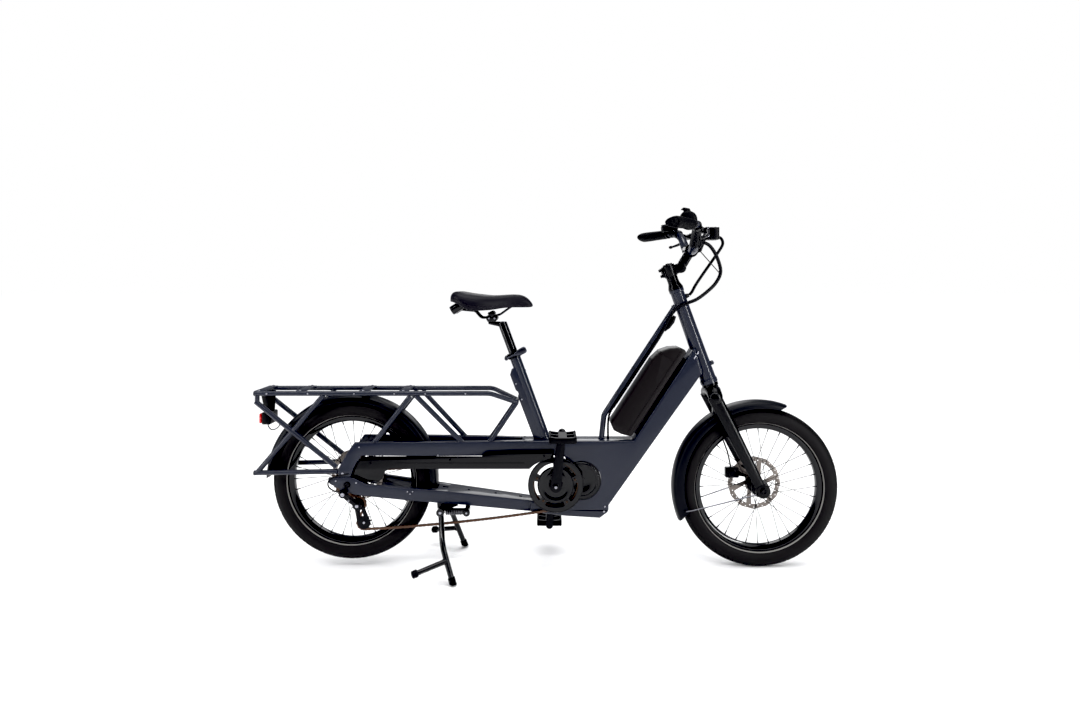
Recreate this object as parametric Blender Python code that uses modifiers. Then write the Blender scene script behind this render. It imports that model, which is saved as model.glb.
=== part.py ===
"""Longtail cargo bicycle with a mid motor, parked on its two-leg centre stand.

Metres, +X forward, +Y to the rider's left, +Z up. The drive side faces -Y. Places in the side view are
given ahead of the rear axle and above a level datum just over the ground, as the bicycle stands parked.
"""

import math

import bmesh
import bpy
from mathutils import Matrix, Vector

# Clearances
SEAT_GAP = 0.0003
RUNNING_GAP = 0.0003

# Wheels
REAR_AXLE_X = -0.65075
REAR_AXLE_Z = 0.283
DATUM_HEIGHT = 0.0057
TYRE_DIAMETER = 0.5274
TYRE_WIDTH = 0.060
CASING_OPENING = math.radians(130)
SIDEWALL_RISE = 0.0045
RIM_FLANGE_RADIUS = 0.2095
RIM_DEPTH = 0.017
RIM_WIDTH = 0.030
RIM_WALL = 0.0035
WHEEL_SEGMENTS = 36
SPOKES_PER_FLANGE = 16
SPOKE_RADIUS = 0.0010
SPOKE_CROSSES = 2
FLANGE_RADIUS = 0.029
HUB_SHELL_RADIUS = 0.015
AXLE_RADIUS = 0.0060
FRONT_HUB_WIDTH = 0.100
REAR_HUB_WIDTH = 0.135
ROTOR_RADIUS = 0.0885
ROTOR_THICKNESS = 0.0018

# Steering
HEAD_BASE_X = 1.184
HEAD_BASE_Z = 0.602
HEAD_TILT = math.radians(19.64)
HEAD_LENGTH = 0.330
HEAD_TOP_RADIUS = 0.0225
HEAD_FOOT_RADIUS = 0.0265
STEERER_RADIUS = 0.0143
FORK_LENGTH = 0.3778
FORK_OFFSET = 0.0351
FORK_BLADE_SPREAD = 0.0535
FRONT_FENDER_CLEARANCE = 0.0233
REAR_FENDER_CLEARANCE = 0.0193
FENDER_HALF_WIDTH = 0.037
FENDER_WALL = 0.0025
FENDER_END_LEAN = math.radians(4.5)
BAR_CLAMP_AHEAD = -0.064
BAR_CLAMP_UP = 0.438
BAR_CLAMP_RADIUS = 0.0159
BAR_RADIUS = 0.0111
GRIP_LENGTH = 0.132
GRIP_RADIUS = 0.0163

# Seat
SEAT_TUBE_BASE_X = 0.637
SEAT_TUBE_BASE_Z = 0.4170
SEAT_TUBE_TILT = math.radians(20.3)
SEAT_TUBE_LENGTH = 0.3040
SEAT_TUBE_RADIUS = 0.0180
SEATPOST_RADIUS = 0.0150
SEATPOST_REACH = 0.110

# Drive
CRANK_X = 0.672
CRANK_Z = 0.277
CRANK_LENGTH = 0.175
CRANK_LEAN = math.radians(6.5)
SPINDLE_RADIUS = 0.012
CHAINRING_TEETH = 40
COG_TEETH = 18
COG_LARGE = 0.0585
PULLEY_TEETH = 11
CHAIN_PITCH = 0.0127
CHAIN_LINE = -0.045
CHAIN_HALF_HEIGHT = 0.0042
CHAIN_SAG = 0.0085
RING_GUARD_RADIUS = 0.0905
MOTOR_X = 0.757
MOTOR_Z = 0.287
MOTOR_RADIUS = 0.063
MOTOR_HALF_WIDTH = 0.0365

# Frame
BODY_TOP = 0.4165
BODY_HALF_WIDTH = 0.038
BODY_REAR_X = 0.560
BEAM_WALL_Y = 0.020
RACK_RAIL_Y = 0.057
RACK_RAIL_Z = 0.575
RACK_RAIL_RADIUS = 0.008
RACK_STAY_RADIUS = 0.0082
TOP_STAY_RADIUS = 0.0095
BRIDGE_X = 0.5440
BRIDGE_Z = 0.5410
SLAT_PLACES = (-0.290, -0.157, 0.048, 0.178)
SLAT_WIDTH = 0.030

# Stand
STAND_X = 0.300
STAND_Z = 0.194
STAND_LEG_RADIUS = 0.0075
STAND_SPREAD = 0.157
SPRING_TURNS = 10
SPRING_RADIUS = 0.0064
SPRING_WIRE = 0.0011

SIDE_TURN = (math.pi / 2, 0.0, 0.0)
RIGHT = -1
LEFT = 1


def start_clean():
    """Empty the scene and make one collection for the bicycle and one for its cutting tools."""
    for obj in list(bpy.data.objects):
        bpy.data.objects.remove(obj, do_unlink=True)
    made = []
    for name in ("cargo_bicycle", "cutters"):
        collection = bpy.data.collections.new(name)
        bpy.context.scene.collection.children.link(collection)
        made.append(collection)
    return made


PARTS, CUTTERS = start_clean()


def finish(name, colour, roughness, metallic=0.0):
    """One plain surface finish, its colour as sRGB hex."""
    material = bpy.data.materials.new(name)
    material.use_nodes = True
    shader = material.node_tree.nodes["Principled BSDF"]
    channels = []
    for start in (0, 2, 4):
        value = int(colour[start:start + 2], 16) / 255
        channels.append(value / 12.92 if value <= 0.04045 else ((value + 0.055) / 1.055) ** 2.4)
    shader.inputs["Base Color"].default_value = (*channels, 1.0)
    shader.inputs["Roughness"].default_value = roughness
    shader.inputs["Metallic"].default_value = metallic
    return material


FRAME_PAINT = finish("slate_powder_coat", "4A4C5C", 0.45)
BLACK_METAL = finish("black_painted_alloy", "1D1D20", 0.40)
BLACK_PLASTIC = finish("black_moulded_plastic", "1A1A1C", 0.60)
RUBBER = finish("tyre_rubber", "232326", 0.85)
GRIP_RUBBER = finish("grip_rubber", "2A2A2D", 0.80)
BRUSHED_STEEL = finish("brushed_steel", "9A9690", 0.35, 1.0)
CHAIN_STEEL = finish("chain_steel", "5C4E42", 0.45, 1.0)
SPOKE_STEEL = finish("black_spoke_steel", "3A3A3C", 0.35, 1.0)
ALUMINIUM = finish("satin_aluminium", "8C8C90", 0.35, 1.0)
SADDLE_COVER = finish("saddle_vinyl", "26262B", 0.65)
RED_LENS = finish("red_lens", "B01818", 0.20)


def at(x, z, y=0.0):
    """Point x ahead of the rear axle, z above the datum and y to the left of the middle."""
    return Vector((REAR_AXLE_X + x, y, z + DATUM_HEIGHT))


def steer_point(up, ahead=0.0, y=0.0):
    """Point measured from the foot of the head tube, up its axis and square ahead of it."""
    x = HEAD_BASE_X - up * math.sin(HEAD_TILT) + ahead * math.cos(HEAD_TILT)
    z = HEAD_BASE_Z + up * math.cos(HEAD_TILT) + ahead * math.sin(HEAD_TILT)
    return at(x, z, y)


def head_at(ahead, up, y=0.0):
    """Point level ahead of the head tube's foot and straight up from it, for what the bar carries."""
    return at(HEAD_BASE_X + ahead, HEAD_BASE_Z + up, y)


def seat_point(up, behind=0.0, y=0.0):
    """Point measured from the foot of the seat tube, up its axis and square behind it."""
    x = SEAT_TUBE_BASE_X - up * math.sin(SEAT_TUBE_TILT) - behind * math.cos(SEAT_TUBE_TILT)
    z = SEAT_TUBE_BASE_Z + up * math.cos(SEAT_TUBE_TILT) - behind * math.sin(SEAT_TUBE_TILT)
    return at(x, z, y)


def seat_at(ahead, up, y=0.0):
    """Point level ahead of the seat tube's top and straight up from it, for what the seatpost carries."""
    x = SEAT_TUBE_BASE_X - SEAT_TUBE_LENGTH * math.sin(SEAT_TUBE_TILT)
    z = SEAT_TUBE_BASE_Z + SEAT_TUBE_LENGTH * math.cos(SEAT_TUBE_TILT)
    return at(x + ahead, z + up, y)


REAR_AXLE = at(0.0, REAR_AXLE_Z)
FRONT_AXLE = steer_point(-FORK_LENGTH, FORK_OFFSET)
CRANK_AXIS = at(CRANK_X, CRANK_Z)
MOTOR_AXIS = at(MOTOR_X, MOTOR_Z)
STAND_AXIS = at(STAND_X, STAND_Z)
BAR_CLAMP = head_at(BAR_CLAMP_AHEAD, BAR_CLAMP_UP)
TYRE_RADIUS = TYRE_DIAMETER / 2
RIM_INNER_RADIUS = RIM_FLANGE_RADIUS - RIM_DEPTH
FRONT_FENDER_RADIUS = TYRE_DIAMETER / 2 + FRONT_FENDER_CLEARANCE
REAR_FENDER_RADIUS = TYRE_DIAMETER / 2 + REAR_FENDER_CLEARANCE


def side_of(point):
    """Side-view place of a point, as ahead of the rear axle and above the datum."""
    return (point.x - REAR_AXLE_X, point.z - DATUM_HEIGHT)


def new_object(name, mesh, material, where=(0.0, 0.0, 0.0), turn=(0.0, 0.0, 0.0)):
    """Object in the bicycle's collection, shaded smooth across shallow edges."""
    obj = bpy.data.objects.new(name, mesh)
    obj.location = where
    obj.rotation_euler = turn
    mesh.materials.clear()
    mesh.materials.append(material)
    PARTS.objects.link(obj)
    mesh.shade_smooth()
    mesh.set_sharp_from_angle(angle=math.radians(35))
    return obj


def mesh_of_curve(curve):
    """Closed mesh of a curve, its caps welded on."""
    guide = bpy.data.objects.new(curve.name, curve)
    PARTS.objects.link(guide)
    bpy.context.view_layer.update()
    seen = guide.evaluated_get(bpy.context.evaluated_depsgraph_get())
    mesh = bpy.data.meshes.new_from_object(seen)
    bpy.data.objects.remove(guide)
    bpy.data.curves.remove(curve)
    form = bmesh.new()
    form.from_mesh(mesh)
    bmesh.ops.remove_doubles(form, verts=form.verts, dist=0.00001)
    bmesh.ops.recalc_face_normals(form, faces=form.faces)
    form.to_mesh(mesh)
    form.free()
    return mesh


def side_plate(name, outlines, thickness, y, material, about=(0.0, 0.0)):
    """Flat piece drawn in the side view, its holes as further outlines; y is its mid-plane."""
    curve = bpy.data.curves.new(name, "CURVE")
    curve.dimensions = "2D"
    curve.fill_mode = "BOTH"
    curve.extrude = thickness / 2
    for outline in outlines:
        spline = curve.splines.new("POLY")
        spline.points.add(len(outline) - 1)
        for point, (x, z) in zip(spline.points, outline):
            point.co = (x - about[0], z - about[1], 0.0, 1.0)
        spline.use_cyclic_u = True
    return new_object(name, mesh_of_curve(curve), material, at(about[0], about[1], y), SIDE_TURN)


def tube(name, points, radius, material, sides=8, radii=None):
    """Round bar or tube through the points, in world places, with flat ends."""
    curve = bpy.data.curves.new(name, "CURVE")
    curve.dimensions = "3D"
    curve.bevel_depth = radius
    curve.bevel_resolution = (sides - 4) // 2
    curve.use_fill_caps = True
    spline = curve.splines.new("POLY")
    spline.points.add(len(points) - 1)
    for index, (point, place) in enumerate(zip(spline.points, points)):
        point.co = (*place, 1.0)
        if radii:
            point.radius = radii[index] / radius
    return new_object(name, mesh_of_curve(curve), material)


def bent(points, radius, steps=3):
    """Points with each inner corner rounded to the bend radius."""
    path = [Vector(points[0])]
    for before, corner, after in zip(points, points[1:], points[2:]):
        into = (Vector(before) - Vector(corner)).normalized()
        out = (Vector(after) - Vector(corner)).normalized()
        half = into.angle(out) / 2
        reach = radius / math.tan(half)
        middle = Vector(corner) + (into + out).normalized() * radius / math.sin(half)
        first = Vector(corner) + into * reach - middle
        last = Vector(corner) + out * reach - middle
        for step in range(steps + 1):
            path.append(middle + first.slerp(last, step / steps) * radius)
    path.append(Vector(points[-1]))
    return path


def turned(name, profile, where, direction, segments, material):
    """Solid turned about a line: closed profile of (radius, along) points."""
    area = sum(a[0] * b[1] - b[0] * a[1] for a, b in zip(profile, profile[1:] + profile[:1]))
    points = profile[::-1] if area > 0 else profile
    on_axis = [index for index, point in enumerate(points) if point[0] == 0.0]
    edges = [(i, (i + 1) % len(points)) for i in range(len(points))]
    edges = [edge for edge in edges if not (edge[0] in on_axis and edge[1] in on_axis)]
    mesh = bpy.data.meshes.new(name)
    mesh.from_pydata([(radius, 0.0, along) for radius, along in points], edges, [])
    obj = new_object(name, mesh, material, where)
    obj.rotation_euler = Vector(direction).to_track_quat("Z", "Y").to_euler()
    if Vector(direction) == Vector((0, -1, 0)):
        obj.rotation_euler = SIDE_TURN
    screw = obj.modifiers.new("turn", "SCREW")
    screw.steps = segments
    screw.render_steps = segments
    screw.use_merge_vertices = True
    screw.merge_threshold = 0.00001
    screw.use_smooth_shade = True
    return obj


def lofted(name, rings, material):
    """Skin over successive rings of points, capped at both ends."""
    form = bmesh.new()
    loops = [[form.verts.new(point) for point in ring] for ring in rings]
    count = len(rings[0])
    for near, far in zip(loops, loops[1:]):
        for index in range(count):
            after = (index + 1) % count
            form.faces.new((near[index], near[after], far[after], far[index]))
    form.faces.new(loops[0][::-1])
    form.faces.new(loops[-1])
    bmesh.ops.recalc_face_normals(form, faces=form.faces)
    mesh = bpy.data.meshes.new(name)
    form.to_mesh(mesh)
    form.free()
    return new_object(name, mesh, material)


def block(name, low, high, material):
    """Box between two corners."""
    form = bmesh.new()
    bmesh.ops.create_cube(form, size=1.0)
    size = Vector(high) - Vector(low)
    bmesh.ops.scale(form, vec=size, verts=form.verts)
    bmesh.ops.translate(form, vec=Vector(low) + size / 2, verts=form.verts)
    mesh = bpy.data.meshes.new(name)
    form.to_mesh(mesh)
    form.free()
    return new_object(name, mesh, material)


def rod(name, start, end, radius, material, sides=12, end_radius=None):
    """Straight round bar, or a cone, between two points."""
    line = Vector(end) - Vector(start)
    form = bmesh.new()
    bmesh.ops.create_cone(
        form,
        cap_ends=True,
        segments=sides,
        radius1=radius,
        radius2=radius if end_radius is None else end_radius,
        depth=line.length,
    )
    turn = line.to_track_quat("Z", "Y").to_matrix().to_4x4()
    move = Matrix.Translation((Vector(start) + Vector(end)) / 2)
    bmesh.ops.transform(form, matrix=move @ turn, verts=form.verts)
    mesh = bpy.data.meshes.new(name)
    form.to_mesh(mesh)
    form.free()
    return new_object(name, mesh, material)


def combine(target, tool, operation):
    """Join, cut or trim with a tool, which is put away with the cutters."""
    step = target.modifiers.new(tool.name, "BOOLEAN")
    step.operation = operation
    step.object = tool
    step.solver = "EXACT"
    PARTS.objects.unlink(tool)
    CUTTERS.objects.link(tool)
    tool.hide_render = True
    tool.display_type = "WIRE"


def add(target, *tools):
    for tool in tools:
        combine(target, tool, "UNION")


def cut(target, *tools):
    for tool in tools:
        combine(target, tool, "DIFFERENCE")


def soften(obj, width, segments=1):
    """Small rounded edges on a moulded or cast piece."""
    bevel = obj.modifiers.new("edges", "BEVEL")
    bevel.width = width
    bevel.segments = segments
    bevel.limit_method = "ANGLE"
    bevel.angle_limit = math.radians(50)


def circle(centre, radius, count, start=0.0):
    """Points round a circle in the side view."""
    angles = [start + 2 * math.pi * index / count for index in range(count)]
    return [(centre[0] + radius * math.cos(a), centre[1] + radius * math.sin(a)) for a in angles]


def arc(centre, radius, first, last, steps):
    """Points on an arc in the side view, its angles in degrees from forward, up positive."""
    points = []
    for step in range(steps + 1):
        angle = math.radians(first + (last - first) * step / steps)
        points.append((centre[0] + radius * math.cos(angle), centre[1] + radius * math.sin(angle)))
    return points


def pivot(name, where, direction):
    """Empty on a joint's axis, its own Z along it."""
    empty = bpy.data.objects.new(name, None)
    empty.location = where
    empty.rotation_euler = Vector(direction).to_track_quat("Z", "Y").to_euler()
    empty.empty_display_size = 0.05
    PARTS.objects.link(empty)
    return empty


def hang(empty, *pieces):
    """Parent pieces to a joint's empty without moving them."""
    bpy.context.view_layer.update()
    for piece in pieces:
        piece.parent = empty
        piece.matrix_parent_inverse = empty.matrix_world.inverted()


# Wheels

def make_tyre(name, axle):
    """Tyre section: beads held between the rim's flanges, then a round casing."""
    section = TYRE_WIDTH / 2
    core = TYRE_RADIUS - section
    bead = RIM_WIDTH / 2 - RIM_WALL - SEAT_GAP
    bed = RIM_FLANGE_RADIUS - RIM_WALL * 2 + SEAT_GAP
    lip = RIM_FLANGE_RADIUS + 2 * SEAT_GAP
    foot = (RIM_FLANGE_RADIUS + SIDEWALL_RISE - core) / section
    opening = min(CASING_OPENING, math.acos(max(-1.0, foot)))
    casing = []
    for step in range(7):
        angle = opening * (step / 3 - 1)
        casing.append((core + section * math.cos(angle), section * math.sin(angle)))
    profile = [(bed, bead), (bed, -bead), (lip, -bead)] + casing + [(lip, bead)]
    return turned(name, profile, axle, (0, -1, 0), WHEEL_SEGMENTS, RUBBER)


def make_rim(name, axle):
    """Box rim with a channel for the tyre's beads."""
    half = RIM_WIDTH / 2
    bed = RIM_FLANGE_RADIUS - RIM_WALL * 2
    side = [
        (RIM_INNER_RADIUS, half * 0.60),
        (RIM_FLANGE_RADIUS, half),
        (RIM_FLANGE_RADIUS, half - RIM_WALL),
        (bed, half - RIM_WALL),
    ]
    profile = side + [(radius, -across) for radius, across in reversed(side)]
    return turned(name, profile, axle, (0, -1, 0), WHEEL_SEGMENTS, BLACK_METAL)


def make_hub(name, axle, shell, right_flange, left_flange):
    """Hub shell with two flanges and laced spokes that end just inside the rim."""
    profile = shell + [(AXLE_RADIUS + RUNNING_GAP, shell[-1][1]), (AXLE_RADIUS + RUNNING_GAP, shell[0][1])]
    hub = turned(name, profile, axle, (0, -1, 0), 16, SPOKE_STEEL)
    reach = RIM_INNER_RADIUS * math.cos(math.pi / WHEEL_SEGMENTS) - 0.0010
    form = bmesh.new()
    step = 2 * math.pi / SPOKES_PER_FLANGE
    for flange, phase in ((right_flange, 0.0), (left_flange, step / 2)):
        side = 1 if flange > 0 else -1
        for index in range(SPOKES_PER_FLANGE):
            lead = 1 if index % 2 == 0 else -1
            near = phase + index * step
            far = near + lead * SPOKE_CROSSES * step
            start = Vector((math.cos(near), math.sin(near), 0)) * (FLANGE_RADIUS - 0.004)
            end = Vector((math.cos(far), math.sin(far), 0)) * reach
            start.z = flange + lead * 0.0012
            end.z = side * 0.0035 + lead * 0.0012
            line = end - start
            turn = line.to_track_quat("Z", "Y").to_matrix().to_4x4()
            move = Matrix.Translation((start + end) / 2)
            bmesh.ops.create_cone(
                form,
                cap_ends=True,
                segments=4,
                radius1=SPOKE_RADIUS,
                radius2=SPOKE_RADIUS,
                depth=line.length,
                matrix=move @ turn,
            )
    mesh = bpy.data.meshes.new(name + "_spokes")
    form.to_mesh(mesh)
    form.free()
    spokes = new_object(name + "_spokes", mesh, SPOKE_STEEL, axle, SIDE_TURN)
    add(hub, spokes)
    return hub


def make_rotor(name, axle, y):
    """Disc brake rotor: a wave-edged ring on six curved arms, bored for the hub's boss."""
    centre = side_of(axle)
    edge = []
    for index in range(40):
        angle = 2 * math.pi * index / 40
        radius = ROTOR_RADIUS - (0.0022 if index % 4 == 0 else 0.0)
        edge.append((centre[0] + radius * math.cos(angle), centre[1] + radius * math.sin(angle)))
    windows = []
    for arm in range(6):
        first = 60 * arm
        outer = arc(centre, ROTOR_RADIUS - 0.0155, first + 22, first + 70, 4)
        inner = arc(centre, 0.034, first + 50, first + 10, 2)
        windows.append(outer + inner)
    bore = circle(centre, (0.0145 + SEAT_GAP) / math.cos(math.pi / 16), 16)
    return side_plate(name, [edge, bore] + windows, ROTOR_THICKNESS, y, BRUSHED_STEEL, centre)


def hub_shell(width, right_flange, left_flange):
    """Outer outline of a hub, from its right end to its left end; along is towards the right."""
    right_end = width / 2 - 0.0012
    left_end = -right_end
    thick = 0.0030
    return [
        (0.0105, right_end),
        (HUB_SHELL_RADIUS, right_flange + thick + 0.004),
        (FLANGE_RADIUS, right_flange + thick),
        (FLANGE_RADIUS, right_flange - thick),
        (HUB_SHELL_RADIUS, right_flange - thick - 0.004),
        (HUB_SHELL_RADIUS, left_flange + thick + 0.004),
        (FLANGE_RADIUS, left_flange + thick),
        (FLANGE_RADIUS, left_flange - thick),
    ], left_end


def make_front_wheel():
    right_flange = 0.028
    left_flange = -0.0245
    shell, left_end = hub_shell(FRONT_HUB_WIDTH, right_flange, left_flange)
    rotor_y = 0.038
    boss = -(rotor_y - ROTOR_THICKNESS / 2 - SEAT_GAP)
    shell += [(0.0215, boss + 0.004), (0.0215, boss), (0.0145, boss), (0.0145, left_end)]
    hub = make_hub("front_hub", FRONT_AXLE, shell, right_flange, left_flange)
    tyre = make_tyre("front_tyre", FRONT_AXLE)
    rim = make_rim("front_rim", FRONT_AXLE)
    rotor = make_rotor("front_rotor", FRONT_AXLE, rotor_y)
    return hub, tyre, rim, rotor


def make_rear_wheel():
    right_flange = 0.0205
    left_flange = -0.0300
    shell, left_end = hub_shell(REAR_HUB_WIDTH, right_flange, left_flange)
    rotor_y = 0.0500
    boss = -(rotor_y - ROTOR_THICKNESS / 2 - SEAT_GAP)
    shell[1:2] = [(0.0105, 0.0600), (0.0165, 0.0600), (0.0165, right_flange + 0.005)]
    shell += [(0.0215, boss + 0.006), (0.0215, boss), (0.0145, boss), (0.0145, left_end)]
    hub = make_hub("rear_hub", REAR_AXLE, shell, right_flange, left_flange)
    tyre = make_tyre("rear_tyre", REAR_AXLE)
    rim = make_rim("rear_rim", REAR_AXLE)
    rotor = make_rotor("rear_rotor", REAR_AXLE, rotor_y)
    return hub, tyre, rim, rotor


def make_axle(name, axle, width, plate):
    """Through axle with a nut outside each dropout."""
    outer = width / 2 + plate + SEAT_GAP * 2
    half = [(AXLE_RADIUS, outer), (0.0095, outer), (0.0095, outer + 0.008), (0.0, outer + 0.008)]
    profile = half + [(radius, -along) for radius, along in reversed(half)]
    return turned(name, profile, axle, (0, -1, 0), 12, BRUSHED_STEEL)


# Chain drive

def pitch_radius(teeth):
    return CHAIN_PITCH / (2 * math.sin(math.pi / teeth))


def tip_radius(teeth):
    """Tooth tips stop just under the chain that rides on them."""
    return (pitch_radius(teeth) - CHAIN_HALF_HEIGHT) * math.cos(math.pi / teeth) - 0.0006


def toothed_outline(centre, teeth, depth=0.0035):
    """Tip and root point for each tooth."""
    points = []
    tip = tip_radius(teeth)
    for index in range(teeth):
        for share, radius in ((0.0, tip), (0.5, tip - depth)):
            angle = 2 * math.pi * (index + share) / teeth
            points.append((centre[0] + radius * math.cos(angle), centre[1] + radius * math.sin(angle)))
    return points


GUIDE_PULLEY_X = 0.030
GUIDE_PULLEY_Z = 0.2130
TENSION_PULLEY_X = 0.048
TENSION_PULLEY_Z = 0.1530


def chain_wheels():
    """Centre, pitch radius and turning sense of each wheel, in the order that the chain meets them."""
    return [
        ((CRANK_X, CRANK_Z), pitch_radius(CHAINRING_TEETH), 1),
        ((0.0, REAR_AXLE_Z), pitch_radius(COG_TEETH), 1),
        ((GUIDE_PULLEY_X, GUIDE_PULLEY_Z), pitch_radius(PULLEY_TEETH), -1),
        ((TENSION_PULLEY_X, TENSION_PULLEY_Z), pitch_radius(PULLEY_TEETH), 1),
    ]


def chain_runs():
    """Tangent points and heading of each straight run between neighbouring wheels."""
    wheels = chain_wheels()
    runs = []
    for (near, near_radius, near_sense), (far, far_radius, far_sense) in zip(wheels, wheels[1:] + wheels[:1]):
        across = Vector(far) - Vector(near)
        shift = math.asin((near_sense * near_radius - far_sense * far_radius) / across.length)
        heading = math.atan2(across.y, across.x) + shift
        square = Vector((math.sin(heading), -math.cos(heading)))
        start = Vector(near) + near_sense * near_radius * square
        end = Vector(far) + far_sense * far_radius * square
        runs.append((start, end, heading))
    return runs


def chain_points(spacing):
    """Points and headings along the whole loop, near the given spacing."""
    wheels = chain_wheels()
    runs = chain_runs()
    pieces = []
    for index, (start, end, heading) in enumerate(runs):
        pieces.append(("run", start, end, heading))
        centre, radius, sense = wheels[(index + 1) % len(wheels)]
        turn = (runs[(index + 1) % len(runs)][2] - heading) * sense % (2 * math.pi)
        pieces.append(("arc", Vector(centre), radius, sense, heading, turn))
    lengths = [(p[2] - p[1]).length if p[0] == "run" else p[2] * p[5] for p in pieces]
    total = sum(lengths)
    count = 2 * round(total / spacing / 2)
    found = []
    for index in range(count):
        for share in (0.14, 0.86):
            along = total * (index + share) / count
            for piece, length in zip(pieces, lengths):
                if along <= length:
                    break
                along -= length
            if piece[0] == "run":
                share_along = along / length
                place = piece[1].lerp(piece[2], share_along)
                heading = piece[3]
                if piece is pieces[6]:
                    place.y -= 4 * CHAIN_SAG * share_along * (1 - share_along)
                    heading -= math.atan(4 * CHAIN_SAG * (1 - 2 * share_along) / length)
            else:
                heading = piece[4] + piece[3] * along / piece[2]
                square = Vector((math.sin(heading), -math.cos(heading)))
                place = piece[1] + piece[3] * piece[2] * square
            found.append((place, heading, index % 2))
    return found


def make_chain():
    """Roller chain as one loop of alternating wide and narrow links."""
    rings = []
    for place, heading, outer in chain_points(2 * CHAIN_PITCH):
        half_width = 0.0036 if outer else 0.0024
        up = Vector((-math.sin(heading), math.cos(heading))) * CHAIN_HALF_HEIGHT
        low, high = place - up, place + up
        rings.append([
            at(low.x, low.y, CHAIN_LINE - half_width),
            at(high.x, high.y, CHAIN_LINE - half_width),
            at(high.x, high.y, CHAIN_LINE + half_width),
            at(low.x, low.y, CHAIN_LINE + half_width),
        ])
    form = bmesh.new()
    loops = [[form.verts.new(point) for point in ring] for ring in rings]
    for near, far in zip(loops, loops[1:] + loops[:1]):
        for index in range(4):
            after = (index + 1) % 4
            form.faces.new((near[index], near[after], far[after], far[index]))
    bmesh.ops.recalc_face_normals(form, faces=form.faces)
    mesh = bpy.data.meshes.new("chain")
    form.to_mesh(mesh)
    form.free()
    return new_object("chain", mesh, CHAIN_STEEL)


def ring_windows(centre, inner, outer):
    """Five long windows between the spider's arms."""
    middles = (195.75, 123.75, 51.75, -20.25, -92.25)
    return [
        arc(centre, outer, middle - 26, middle + 26, 4) + arc(centre, inner, middle + 26, middle - 26, 3)
        for middle in middles
    ]


def make_chainring():
    centre = (CRANK_X, CRANK_Z)
    outlines = [toothed_outline(centre, CHAINRING_TEETH), circle(centre, SPINDLE_RADIUS + SEAT_GAP, 16)]
    outlines += ring_windows(centre, 0.058, tip_radius(CHAINRING_TEETH) - 0.0070)
    return side_plate("chainring", outlines, 0.0022, CHAIN_LINE, BRUSHED_STEEL, centre)


def make_ring_guard():
    centre = (CRANK_X, CRANK_Z)
    outlines = [circle(centre, RING_GUARD_RADIUS, 40), circle(centre, SPINDLE_RADIUS + SEAT_GAP, 16)]
    outlines += ring_windows(centre, 0.060, 0.0725)
    return side_plate("ring_guard", outlines, 0.0040, CHAIN_LINE - 0.0071, BLACK_PLASTIC, centre)


def make_cassette():
    """Stepped cluster of cogs; the one under the chain has its teeth."""
    centre = (0.0, REAR_AXLE_Z)
    bore = (0.0165 + RUNNING_GAP) / math.cos(math.pi / 16)
    steps = [(COG_LARGE, 0.0315), (COG_LARGE, 0.0350), (0.0480, 0.0352), (0.0480, 0.0390), (0.0285, 0.0392),
             (0.0285, 0.0520), (0.0250, 0.0522),
             (0.0250, 0.0570), (bore, 0.0570), (bore, 0.0315)]
    cluster = turned("cassette", steps, REAR_AXLE, (0, -1, 0), 16, BRUSHED_STEEL)
    outlines = [toothed_outline(centre, COG_TEETH), circle(centre, 0.018, 12)]
    add(cluster, side_plate("chain_cog", outlines, 0.0018, CHAIN_LINE, BRUSHED_STEEL, centre))
    return cluster


def make_crank(side):
    """Crank arm from the spindle's end to the pedal's pin; the right one carries the spindle."""
    name = "crank_right" if side == RIGHT else "crank_left"
    lean = CRANK_LEAN if side == RIGHT else CRANK_LEAN + math.pi
    tip = (CRANK_X + CRANK_LENGTH * math.sin(lean), CRANK_Z + CRANK_LENGTH * math.cos(lean))
    toward = math.degrees(math.atan2(math.cos(lean), math.sin(lean)))
    outline = arc((CRANK_X, CRANK_Z), 0.0185, toward + 84, toward + 276, 6)
    outline += arc(tip, 0.0125, toward - 80, toward + 80, 6)
    arm = side_plate(name, [outline], 0.0130, side * 0.0710, BLACK_METAL, (CRANK_X, CRANK_Z))
    pin = rod(name + "_pin", at(*tip, side * 0.0660), at(*tip, side * 0.1780), 0.0045, BLACK_METAL, 8)
    boss = rod(name + "_boss", at(*tip, side * 0.0660), at(*tip, side * 0.0840), 0.0105, BLACK_METAL, 12)
    if side == RIGHT:
        reach = 0.0640
        spindle = rod("spindle", at(CRANK_X, CRANK_Z, -0.0700), at(CRANK_X, CRANK_Z, reach), SPINDLE_RADIUS,
                      BLACK_METAL, 16)
        add(arm, spindle)
    else:
        socket_tool = rod("spindle_socket", at(CRANK_X, CRANK_Z, 0.0600), at(CRANK_X, CRANK_Z, 0.0646),
                          SPINDLE_RADIUS + SEAT_GAP, BLACK_METAL, 16)
        cut(arm, socket_tool)
    add(arm, boss, pin)
    return arm, tip


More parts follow.
